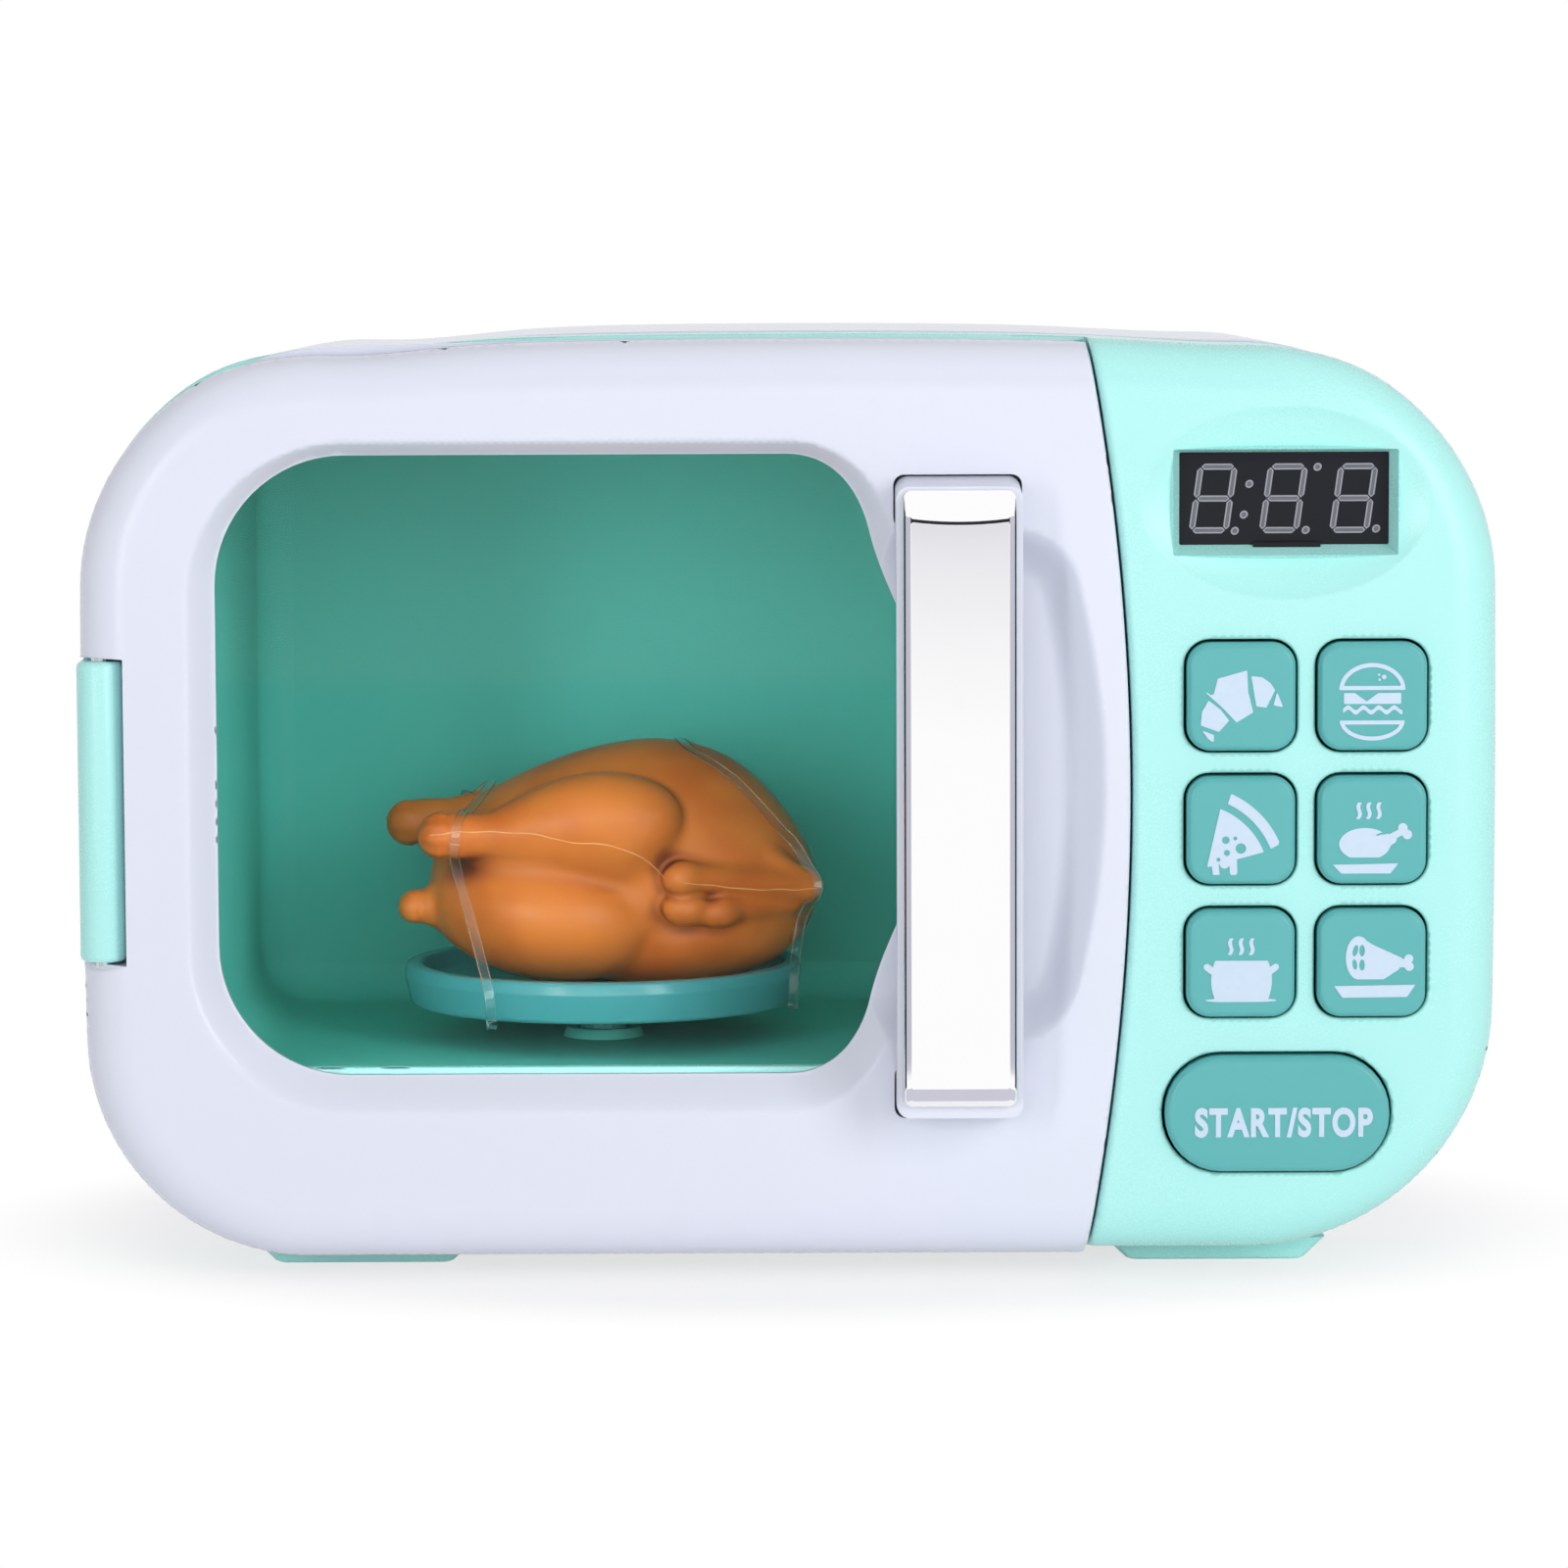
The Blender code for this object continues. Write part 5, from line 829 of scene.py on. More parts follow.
@dataclass
class Shell:
    """A thin moulded plate: a relief in front, skirts round its edge and holes, and its inside.

    The front is y = depth(x, z) over the outline less its holes. The edge's skirt runs back to
    an end, turns in to the inner outline and comes up to the inside, a wall's thickness behind.
    """

    outline: Outline
    inner: Outline
    depth: Depth
    end: float
    holes: list[Outline] = field(default_factory=list)
    wall: float = 2.2
    facing: float = 1.0
    origin: float = 0.0
    fine: float = 0.8
    coarse: float = 5.0
    rings: list[Outline] = field(default_factory=list)
    inner_depth: Depth | None = None
    far_outline: Outline | None = None
    tolerance: float = 0.006

    def draft(self) -> MeshDraft:
        """The closed mesh of the shell."""
        made = MeshDraft()
        extra = self.extra_points()
        flat, triangles = filled([self.outline, *self.holes], extra)
        self.add_face(made, flat, triangles, self.depth, False)
        back = self.inner_depth or (lambda x, z: self.depth(x, z) + self.wall)
        lattice = self.lattice(self.coarse, self.inner, 1.5)
        inner_flat, inner_triangles = filled([self.inner, *self.holes], lattice)
        self.add_face(made, inner_flat, inner_triangles, back, True)
        front_edge = self.depth(*self.outline.T)
        far = np.full(len(self.outline), self.end)
        far_outline = self.outline if self.far_outline is None else self.far_outline
        self.add_wall(made, self.outline, front_edge, far, False, far_outline)
        self.add_wall(made, self.inner, back(*self.inner.T), np.full(len(self.inner), self.end), True)
        rim, rim_triangles = filled([far_outline, self.inner], np.zeros((0, 2)))
        self.add_face(made, rim, rim_triangles, lambda x, z: np.full_like(x, self.end), True, False)
        for hole in self.holes:
            self.add_wall(made, hole, self.depth(*hole.T), back(*hole.T), True)
        return made

    def lattice(self, pitch: float, outline: Outline, clear: float) -> np.ndarray:
        """A square lattice of points inside an outline, clear of it and of the holes."""
        low, high = outline.min(axis=0), outline.max(axis=0)
        x, z = np.meshgrid(np.arange(low[0], high[0], pitch), np.arange(low[1], high[1], pitch))
        x = x + (np.arange(x.shape[0]) % 2)[:, None] * pitch / 2
        points = np.stack((x.reshape(-1), z.reshape(-1)), axis=1)
        return cleared(points, outline, self.holes, clear)

    def extra_points(self) -> np.ndarray:
        """Fine lattice points where the relief bends, coarse ones elsewhere, and the rings."""
        lattice = self.lattice(self.fine, self.outline, self.fine * 0.45)
        x, z = lattice.T
        step = self.fine
        here = self.depth(x, z)
        bend = (np.abs(self.depth(x + step, z) + self.depth(x - step, z) - 2 * here)
                + np.abs(self.depth(x, z + step) + self.depth(x, z - step) - 2 * here))
        column, row = np.round(lattice / self.coarse), lattice / self.coarse
        on_coarse = (np.abs(row - column) < self.fine / self.coarse / 2).all(axis=1)
        chosen = lattice[(bend > self.tolerance) | on_coarse]
        if self.rings:
            ring_points = cleared(np.concatenate(self.rings), self.outline, self.holes, 0.12)
            chosen = chosen[self.clear_of(ring_points, chosen, self.fine * 0.5)]
            chosen = np.concatenate((chosen, ring_points))
        return chosen

    @staticmethod
    def clear_of(others: np.ndarray, points: np.ndarray, least: float) -> np.ndarray:
        """Whether each point's cell of a square net, and the cells beside it, hold none of the others."""
        taken = set(map(tuple, np.floor(others / least).astype(int).tolist()))
        cells = np.floor(points / least).astype(int).tolist()
        return np.array([(a, b) not in taken for a, b in cells], bool)

    def add_face(self, made: MeshDraft, flat: np.ndarray, triangles: np.ndarray, depth: Depth,
                 inner: bool, exact: bool = True) -> None:
        """Adds a relief with its true normals, worked out from small steps of its depth."""
        x, z = flat.T
        y = self.origin + self.facing * depth(x, z)
        points = np.stack((x, y, z), axis=1)
        normals = None
        if exact and not inner:
            normals = relief_normals(depth, x, z, self.facing, 0.02)
        made.add(points, triangles, inner == (self.facing > 0), normals)

    def add_wall(self, made: MeshDraft, loop: Outline, near: np.ndarray, far: np.ndarray,
                 inner: bool, far_loop: Outline | None = None) -> None:
        """Adds a skirt from one depth to another round a loop, which may end on a drafted loop."""
        far_loop = loop if far_loop is None else far_loop
        rows = []
        for share in (0.0, 1.0):
            y = self.origin + self.facing * (near + (far - near) * share)
            at = loop + (far_loop - loop) * share
            rows.append(np.stack((at[:, 0], y, at[:, 1]), axis=1))
        made.add_grid(np.stack(rows), wrap_columns=True, flip=inner != (self.facing > 0))


@dataclass
class ControlPanel:
    """The mint panel on the right of the housing, with its display dish and button openings."""

    form: BodyForm
    display: tuple[float, float] = (89.5, 53.2)
    dish_half: tuple[float, float] = (25.8, 17.2)
    dish_depth: float = 3.6
    dish_cap: float = 66.0
    opening: tuple[float, float] = (40.3, 19.0)
    columns: tuple[float, float] = (81.5, 105.0)
    rows: tuple[float, float, float] = (18.6, -5.4, -29.4)
    button: float = 20.4
    button_radius: float = 4.7
    start: tuple[float, float, float, float] = (88.2, -56.7, 41.4, 22.0)
    edge_round: float = 1.5
    hole_round: float = 0.45

    def button_boxes(self) -> list[tuple[float, float, float, float, float]]:
        """Centre, half sizes and corner radius of every button opening, the long one last."""
        boxes = [(x, z, self.button / 2, self.button / 2, self.button_radius)
                 for z in self.rows for x in self.columns]
        x, z, width, height = self.start
        return boxes + [(x, z, width / 2, height / 2, height / 2 - 0.3)]

    def depth(self, x: np.ndarray, z: np.ndarray) -> np.ndarray:
        """Pillow at the body's edge, rounded edge at the door, the dish, and soft button edges."""
        form = self.form
        result = form.pillow(form.inset_at(x, z))
        result = result + eased(form.from_edge(x, z) - form.door_gap, self.edge_round)
        spread = math.sin(math.radians(self.dish_cap))
        radius = self.dish_depth / (1 - math.cos(math.radians(self.dish_cap)))
        out = np.hypot((x - self.display[0]) / self.dish_half[0],
                       (z - self.display[1]) / self.dish_half[1]) * spread
        bowl = radius * (np.sqrt(np.maximum(1 - out ** 2, 0)) - math.cos(math.radians(self.dish_cap)))
        soft = 0.10
        bowl = (bowl + np.sqrt(bowl ** 2 + soft ** 2)) / 2
        result = result + np.where(out < 1.3, bowl, 0.0)
        for cx, cz, half_x, half_z, round_ in self.button_boxes():
            away = box_distance(x, z, (cx, cz), (half_x, half_z), round_)
            result = result + eased(np.maximum(away, 0), self.hole_round)
        return result

    def build(self, palette: Palette) -> bpy.types.Object:
        """Makes the panel."""
        form = self.form
        outline = form.side_of(0.0, form.door_gap, True)
        inner = form.side_of(form.wall, form.door_gap + form.wall, True)
        holes = [rounded_box(x - a, x + a, z - b, z + b, (r,) * 4, 8, 1.5)
                 for x, z, a, b, r in self.button_boxes()]
        x, z = self.display
        holes.append(rounded_box(x - self.opening[0] / 2, x + self.opening[0] / 2,
                                 z - self.opening[1] / 2, z + self.opening[1] / 2, (0.4,) * 4, 2, 1.5))
        rings = [form.outline(s, 30, 2.0) for s in soft_insets(form.pillow_width)]
        levels = np.linspace(-form.half_height, form.half_height, 110)
        for away in (0.1, 0.3, 0.6, 1.0, 1.5):
            rings.append(np.stack((form.edge_x(levels) + form.door_gap + away, levels), axis=1))
        for cx, cz, a, b, r in self.button_boxes():
            for grow in (0.15, 0.45):
                rings.append(rounded_box(cx - a - grow, cx + a + grow, cz - b - grow, cz + b + grow,
                                         (r + grow,) * 4, 8, 1.5))
        angle = np.linspace(0, 2 * np.pi, 120, endpoint=False)
        for grow in (0.985, 1.0, 1.015):
            rings.append(np.stack((x + self.dish_half[0] * grow * np.cos(angle),
                                   z + self.dish_half[1] * grow * np.sin(angle)), axis=1))
        shell = Shell(outline, inner, self.depth, form.housing_end, holes, rings=rings)
        return shell.draft().build("control_panel", Body.HOUSING, palette.mint, Slot.MINT)


def soft_insets(width: float) -> list[float]:
    """Insets whose rings divide a quarter ellipse evenly: width (1 - sin a)."""
    return [width * (1 - math.sin(math.radians(a))) for a in (85, 77, 68, 59, 50, 41, 32, 23, 14, 5, 0)]


@dataclass
class DoorSurround:
    """The mint frame behind the door, the hinge barrel and the front feet."""

    form: BodyForm
    opening: tuple[float, float, float, float] = (-106.0, 35.3, -50.6, 63.5)
    opening_radius: float = 10.0
    latch: tuple[float, float, float, float] = (49.8, 0.0, 3.6, 6.1)
    hinge: tuple[float, float] = (-123.35, 5.0)
    barrel_radius: float = 4.15
    barrel_middle: float = -1.8
    barrel_height: float = 54.3
    barrel_web: float = 5.2
    feet: tuple[float, float] = (-78.0, 78.7)
    foot_half: float = 16.0
    foot_height: float = 3.0
    foot_slant: float = 3.2
    foot_length: float = 16.0

    def build(self, palette: Palette) -> list[bpy.types.Object]:
        """Makes the frame plate, the barrel and the feet."""
        form = self.form
        outline = form.side_of(0.0, form.door_gap, False)
        inner = form.side_of(form.wall, form.door_gap - form.wall, False)
        left, right, low, high = self.opening
        hole = rounded_box(left, right, low, high, (self.opening_radius,) * 4, 8, 6.0)
        x, z, half_x, half_z = self.latch
        slot = rounded_box(x - half_x, x + half_x, z - half_z, z + half_z, (0.6,) * 4, 3, 4.0)

        def depth(px: np.ndarray, pz: np.ndarray) -> np.ndarray:
            """Flat, with a small soft edge round the outside and the opening."""
            middle = ((left + right) / 2, (low + high) / 2)
            half = ((right - left) / 2, (high - low) / 2)
            away = box_distance(px, pz, middle, half, self.opening_radius)
            return (form.frame_face + eased(form.inset_at(px, pz), 0.8)
                    + eased(np.maximum(away, 0), 0.5))

        shell = Shell(outline, inner, depth, form.housing_end, [hole, slot], wall=form.wall,
                      rings=[form.outline(0.3, 26), form.outline(0.8, 26)])
        plate = shell.draft().build("door_surround", Body.HOUSING, palette.mint, Slot.MINT)
        return [plate, self.barrel(palette)] + [
            foot_piece(f"front_foot_{side}", x, 21.5, self, form, palette.mint, Slot.MINT)
            for side, x in zip(("left", "right"), self.feet)]

    def barrel(self, palette: Palette) -> bpy.types.Object:
        """The hinge barrel with its web: one closed outline seen from above, carried upwards.

        The outline shrinks towards both ends by radius - sqrt(radius^2 - (radius - t)^2), which
        rounds them.
        """
        x, y = self.hinge
        radius, end = self.barrel_radius, self.form.frame_face + 1.0
        web = x - radius + self.barrel_web
        curve = arc((x, y), radius, 180, 400, 30)
        outline = np.concatenate(([(x - radius, end)], curve, [(web, y + radius), (web, end)]))
        centre = np.array((x, y))
        made = MeshDraft()
        low = self.barrel_middle - self.barrel_height / 2
        high = self.barrel_middle + self.barrel_height / 2
        rows = []
        edge = 1.1
        away = [0, 0.06, 0.18, 0.36, 0.6, 0.85, edge]
        levels = [low + t for t in away] + [high - t for t in away[::-1]]
        for level in levels:
            drop = float(eased(np.array(min(level - low, high - level)), edge))
            shift = outline - centre
            size = np.linalg.norm(shift, axis=1, keepdims=True)
            near = outline - shift / size * np.minimum(drop, size)
            near[outline[:, 1] > y + radius + 0.01] = outline[outline[:, 1] > y + radius + 0.01]
            rows.append(np.column_stack((near, np.full(len(near), level))))
        made.add_grid(np.stack(rows), wrap_columns=True)
        for row, flip in ((rows[0], True), (rows[-1], False)):
            made.add_cap(row, 2, flip)
        return made.build("hinge_barrel", Body.HOUSING, palette.mint, Slot.MINT)


def foot_piece(name: str, centre: float, near: float, sizes: DoorSurround, form: BodyForm,
               finish: Finish, slot: Slot) -> bpy.types.Object:
    """A low foot with slanted ends: rounded slabs whose outline narrows towards the floor."""
    low = -form.half_height - sizes.foot_height
    rows = []
    for share, soft in ((0.0, 0.55), (0.05, 0.25), (0.14, 0.0), (1.0, 0.0), (1.35, 0.0)):
        level = low + share * sizes.foot_height
        half = sizes.foot_half + sizes.foot_slant * min(share, 1.35) - soft
        box = rounded_box(centre - half, centre + half, near + soft,
                          near + sizes.foot_length - soft, (1.4,) * 4, 5, 60.0)
        rows.append(np.column_stack((box, np.full(len(box), level))))
    made = MeshDraft()
    made.add_grid(np.stack(rows), wrap_columns=True)
    for row, flip in ((rows[0], True), (rows[-1], False)):
        made.add_cap(row, 2, flip)
    return made.build(name, Body.HOUSING, finish, slot)


def bevelled(thing: bpy.types.Object, width: float, segments: int = 3, angle: float = 30.0) -> None:
    """Rounds a piece's edges past an angle by a width in millimetres."""
    bevel = thing.modifiers.new("rounded edges", "BEVEL")
    bevel.width = width * MILLIMETRE
    bevel.segments = segments
    bevel.limit_method = "ANGLE"
    bevel.angle_limit = math.radians(angle)
    bevel.use_clamp_overlap = True
    bevel.harden_normals = False


@dataclass
class Door:
    """The white door: soft front with its window bevel and finger scoop, and the chrome handle."""

    form: BodyForm
    front_end: float = 15.5
    draft: float = 1.0
    window: tuple[float, float, float, float] = (-102.5, 14.0, -49.9, 62.1)
    left_radius: float = 23.5
    right_radius: float = 13.5
    bulge: float = 15.0
    bulge_half: float = 51.0
    bevel_side: float = 5.0
    bevel_top: float = 2.7
    bevel_bottom: float = 6.3
    recess: float = 5.0
    scoop_right: float = 58.0
    scoop_middle: float = 2.6
    scoop_half: float = 46.2
    scoop_radius: float = 9.0
    scoop_bow: float = 8.6
    scoop_run: float = 8.6
    notch: tuple[float, float, float] = (-118.7, -29.45, 25.85)
    handle_x: float = 30.85
    handle_rise: float = 0.5
    handle_height: float = 115.3
    handle_width: float = 22.4
    handle_leg: float = 9.0
    bar_ends: tuple[float, float] = (56.2, -53.5)
    bar_half: float = 10.0
    bar_back: float = -12.3
    bar_front: float = -16.0
    bar_facets: tuple[float, float] = (4.9, 3.4)
    bar_sag: float = 0.75
    crown_half: float = 10.15
    bridge_corner: float = 2.3
    edge_round: float = 0.7

    def widened(self, share: "float | np.ndarray") -> tuple:
        """The window's sides, each moved out by a share of its bevel, and the share of the side's."""
        left, right, low, high = self.window
        side, top, bottom = (share * m for m in (self.bevel_side, self.bevel_top, self.bevel_bottom))
        return left - side, right + side, low - bottom, high + top, side

    def window_outline(self, share: float, steps: int = 16, pitch: float = 1.6) -> Outline:
        """The window's edge, widened by a share of the bevel; its right side swells by a cos^2 bulge."""
        left, right, low, high, side = self.widened(share)
        one, two = self.right_radius + side, self.left_radius + side
        box = rounded_box(left, right, low, high, (one, two, two, one), steps, pitch)
        rise = (box[:, 1] - (low + high) / 2) / self.bulge_half
        swell = self.bulge * np.cos(np.pi / 2 * np.clip(rise, -1, 1)) ** 2
        box[:, 0] += np.where(box[:, 0] > right - self.right_radius, swell, 0)
        return box

    def window_distance(self, x: np.ndarray, z: np.ndarray, share: np.ndarray) -> np.ndarray:
        """Signed distance from the window's edge widened by a share of the bevel."""
        left, right, low, high, side = self.widened(share)
        middle = (low + high) / 2
        swell = self.bulge * np.cos(np.pi / 2 * np.clip((z - middle) / self.bulge_half, -1, 1)) ** 2
        flat_x = np.where(x - swell > right - self.right_radius, x - swell,
                          np.minimum(x, right - self.right_radius))
        radius = np.where(flat_x > (left + right) / 2, self.right_radius, self.left_radius) + side
        return box_distance(flat_x, z, ((left + right) / 2, middle),
                            ((right - left) / 2, (high - low) / 2), radius)

    def bevel_depth(self, x: np.ndarray, z: np.ndarray) -> np.ndarray:
        """Depth of the window's hollow bevel: recess t^1.12, t being nought outside and one inside."""
        low, high = np.zeros_like(x), np.full_like(x, 1.6)
        for _ in range(22):
            middle = (low + high) / 2
            out = self.window_distance(x, z, middle) > 0
            low, high = np.where(out, middle, low), np.where(out, high, middle)
        share = (low + high) / 2
        far = np.maximum(self.window_distance(x, z, np.full_like(x, 1.6)), 0) / self.bevel_side
        across = 1 - share - far
        depth = self.recess * np.sign(across) * np.abs(across) ** 1.12
        soft = 0.34
        smooth = (depth + np.sqrt(depth ** 2 + soft ** 2)) / 2
        return np.where(across > -1.2, smooth - 0.011 * np.clip(-across, 0, 1), 0.004)

    def scoop_depth(self, x: np.ndarray, z: np.ndarray) -> np.ndarray:
        """Depth of the finger scoop: recess sin(pi/2 t)^1.35 over its run t from nought to one.

        Its right edge draws in by the bow times the square of the height from its middle.
        """
        left = self.window[1] - 14.0
        share = (x - left) / (self.scoop_right - left)
        up = (z - self.scoop_middle) / self.scoop_half
        flat_x = x + self.scoop_bow * np.clip(share, 0, 1.2) * up ** 2
        low, high = np.full_like(x, -3.0), np.full_like(x, self.scoop_run)
        for _ in range(22):
            inset = (low + high) / 2
            radius = self.scoop_radius - inset * self.scoop_radius / self.scoop_run / 2
            right, half = self.scoop_right - inset, self.scoop_half - inset
            centre = ((left - 40 + right) / 2, self.scoop_middle)
            within = box_distance(flat_x, z, centre, ((right - left + 40) / 2, half), radius) <= 0
            low, high = np.where(within, inset, low), np.where(within, high, inset)
        step = np.clip((low + high) / 2 / self.scoop_run, 0, 1)
        return np.where(x > left, self.recess * np.sin(np.pi / 2 * step) ** 1.35, 0)

    def depth(self, x: np.ndarray, z: np.ndarray) -> np.ndarray:
        """Pillow, rounded right edge, and the deeper of bevel and scoop, blended where they meet."""
        form = self.form
        one, two = self.bevel_depth(x, z), self.scoop_depth(x, z)
        soft = 0.35
        cut = (one + two + np.sqrt((one - two) ** 2 + soft ** 2)) / 2 - soft / 2
        result = form.pillow(form.inset_at(x, z) - form.door_inset)
        return result + eased(-form.from_edge(x, z), self.edge_round) + np.maximum(cut, 0)

    def notched(self, outline: Outline, grow: float) -> Outline:
        """An outline with the room for the hinge barrel cut out of its left side."""
        right, low, high = self.notch[0] + grow, self.notch[1] - grow, self.notch[2] + grow
        gone = (outline[:, 0] < right) & (outline[:, 1] > low) & (outline[:, 1] < high)
        first = int(np.flatnonzero(gone & ~np.roll(gone, 1))[0])
        rest = np.roll(outline, -first, axis=0)[int(gone.sum()):]
        left = float(outline[gone][:, 0].mean())
        edge = np.array([(left, high), (right, high), (right, low), (left, low)])
        steps = np.linspace(high, low, 20)[1:-1]
        wall = np.stack((np.full_like(steps, right), steps), axis=1)
        return np.concatenate((edge[:2], wall, edge[2:], rest))

    def pockets(self, gap: float) -> list[Outline]:
        """The seats of the two handle legs in the door's face."""
        reach = (self.handle_height - self.handle_leg) / 2
        half_x, half_z = self.handle_width / 2 + gap, self.handle_leg / 2 + gap
        return [rounded_box(self.handle_x - half_x, self.handle_x + half_x, z - half_z, z + half_z,
                            (1.6 + gap,) * 4, 6, 2.0)
                for z in (self.handle_rise + reach, self.handle_rise - reach)]

    def build(self, palette: Palette) -> list[bpy.types.Object]:
        """Makes the door's front and its handle."""
        form = self.form
        outline = self.notched(form.side_of(form.door_inset, 0.0, False), 0.0)
        inner = self.notched(form.side_of(form.door_inset + form.wall, -self.draft - form.wall, False),
                             form.wall)
        drafted = outline.copy()
        drafted[:, 0] -= np.where(np.abs(form.from_edge(*outline.T)) < 0.06, self.draft, 0)
        rings = [form.outline(form.door_inset + s, 34, 1.8) for s in soft_insets(form.pillow_width)]
        rings += [self.window_outline(share) for share in
                  (0.12, 0.28, 0.45, 0.62, 0.78, 0.88, 0.95, 1.0, 1.04, 1.08, 1.14)]
        levels = np.linspace(-form.half_height, form.half_height, 130)
        rings += [np.stack((form.edge_x(levels) - away, levels), axis=1) for away in (0.1, 0.3, 0.7)]
        shell = Shell(outline, inner, self.depth, self.front_end,
                      [self.window_outline(0.0), *self.pockets(form.gap)], wall=1.2, rings=rings,
                      far_outline=drafted)
        front = shell.draft().build("door_front", Body.DOOR, palette.white, Slot.WHITE)
        return [front, self.handle_base(palette), self.handle_bar(palette)]

    def handle_base(self, palette: Palette) -> bpy.types.Object:
        """The white bridge: its side seen from the right, carried along x and rounded.

        Towards both sides its ends draw in by r - r cos a at r sin a, so that the corners are round.
        """
        half, inner = self.handle_height / 2, self.handle_height / 2 - self.handle_leg
        front = -12.0
        side = rounded_profile([
            (1.5, half, 0), (0.0, half, 0), (front, half - 1.4, 0), (front, 1.4 - half, 0),
            (0.0, -half, 0), (1.5, -half, 0), (1.5, -inner, 0), (0.0, -inner, 0),
            (-7.0, self.handle_leg - inner, 5.0), (-7.0, inner - self.handle_leg, 5.0),
            (0.0, inner, 0), (1.5, inner, 0)], 6)
        side[:, 1] += self.handle_rise
        made = MeshDraft()
        radius, reach = self.bridge_corner, self.handle_width / 2
        angles = np.linspace(0, np.pi / 2, 7)
        stations = reach - radius + radius * np.sin(angles)
        drops = radius * (1 - np.cos(angles))
        stations = np.concatenate((-stations[::-1], stations))
        drops = np.concatenate((drops[::-1], drops))
        up = side[:, 1] - self.handle_rise
        outer = np.where(np.abs(up) > inner + 2.0, np.sign(up), 0.0)
        rows = np.stack([np.column_stack((np.full(len(side), self.handle_x + x), side[:, 0],
                                          side[:, 1] - outer * drop))
                         for x, drop in zip(stations, drops)])
        made.add_grid(rows, wrap_columns=True)
        for row, turned_round in ((rows[0], True), (rows[-1], False)):
            made.add_cap(row, 0, turned_round)
        thing = made.build("handle_bridge", Body.DOOR, palette.white, Slot.WHITE)
        bevelled(thing, 0.6, 4, 40.0)
        return thing

    def bar_crown(self, x: np.ndarray, z: np.ndarray) -> np.ndarray:
        """How far the bar's face falls away: soft hinges to a facet at the top and one at the foot.

        A hinge is slope (t + sqrt(t^2 + r^2)) / 2, t being the height past its line; the top line
        sags by 0.75 mm in the middle.
        """
        top, bottom = self.bar_ends
        across = (x - self.handle_x) / self.crown_half
        over = z - (top - self.bar_facets[0]) + self.bar_sag * (1 - across ** 2)
        under = bottom + self.bar_facets[1] - z
        upper = 0.5 * (over + np.sqrt(over ** 2 + 0.3)) / 2
        lower = 0.52 * (under + np.sqrt(under ** 2 + 0.12)) / 2
        return upper + lower + 0.05 * across ** 2

    def handle_bar(self, palette: Palette) -> bpy.types.Object:
        """The chrome bar: a frame of a sloping border round a flat face, and a facet at each end.

        Loops of its rounded outline go from the back up its side, round a small edge and in along
        the border; the face inside them is filled. All but the back follow the crown.
        """
        top, bottom = self.bar_ends
        half, back, front = self.bar_half, self.bar_back, self.bar_front

        def loop(inset: float) -> Outline:
            """The bar's outline drawn in by an inset."""
            return rounded_box(self.handle_x - half + inset, self.handle_x + half - inset, bottom + inset,
                               top - inset, (1.5 - inset * 0.7,) * 4, 8, 0.9)

        levels = [(0.0, back), (0.0, front + 1.0), (0.03, front + 0.72), (0.12, front + 0.52),
                  (0.27, front + 0.4), (0.42, front + 0.34), (1.12, front + 0.06), (1.25, front + 0.015),
                  (1.4, front)]
        loops = [loop(inset) for inset, _ in levels]
        count = max(len(one) for one in loops)
        rows = []
        for one, (inset, depth) in zip(loops, levels):
            one = resampled(one, count)
            fall = 0.0 if depth == back else self.bar_crown(*one.T)
            rows.append(np.column_stack((one[:, 0], np.full(count, depth) + fall, one[:, 1])))
        made = MeshDraft()
        made.add_grid(np.stack(rows), wrap_columns=True, flip=True)
        edge = rows[-1][:, (0, 2)]
        steps = np.concatenate((np.arange(bottom + 1.6, bottom + 5.2, 0.22),
                                np.arange(bottom + 6, top - 8, 2.5),
                                np.arange(top - 7.6, top - 1.6, 0.22)))
        x, z = np.meshgrid(self.handle_x + np.arange(-8.4, 8.5, 0.7), steps)
        lattice = np.stack((x.reshape(-1), z.reshape(-1)), axis=1)
        flat, triangles = filled([edge], cleared(lattice, edge, (), 0.15))
        depth = front + self.bar_crown(*flat.T)
        normals = relief_normals(self.bar_crown, *flat.T, 1.0, 0.01)
        made.add(np.column_stack((flat[:, 0], depth, flat[:, 1])), triangles, False, normals)
        made.add_cap(rows[0], 1, True)
        return made.build("handle_chrome", Body.DOOR, palette.chrome, Slot.CHROME, sharp=50.0)


Field = Callable[[np.ndarray, np.ndarray], np.ndarray]


def disc(x: np.ndarray, z: np.ndarray, cx: float, cz: float, rx: float, rz: float | None = None,
         turn: float = 0.0) -> np.ndarray:
    """Nearly the signed distance from an ellipse turned by an angle in degrees."""
    rz = rx if rz is None else rz
    cosine, sine = math.cos(math.radians(turn)), math.sin(math.radians(turn))
    u = ((x - cx) * cosine + (z - cz) * sine) / rx
    v = ((z - cz) * cosine - (x - cx) * sine) / rz
    size = np.hypot(u, v)
    slope = np.hypot(u / rx, v / rz) / np.maximum(size, 1e-6)
    return (size - 1) / np.maximum(slope, 1e-6)


def capsule(x: np.ndarray, z: np.ndarray, start: Sequence[float], end: Sequence[float],
            radius: float, end_radius: float | None = None) -> np.ndarray:
    """Signed distance from a stroke with round ends, which may taper."""
    end_radius = radius if end_radius is None else end_radius
    dx, dz = end[0] - start[0], end[1] - start[1]
    share = np.clip(((x - start[0]) * dx + (z - start[1]) * dz) / (dx * dx + dz * dz), 0, 1)
    away = np.hypot(x - start[0] - share * dx, z - start[1] - share * dz)
    return away - radius - (end_radius - radius) * share


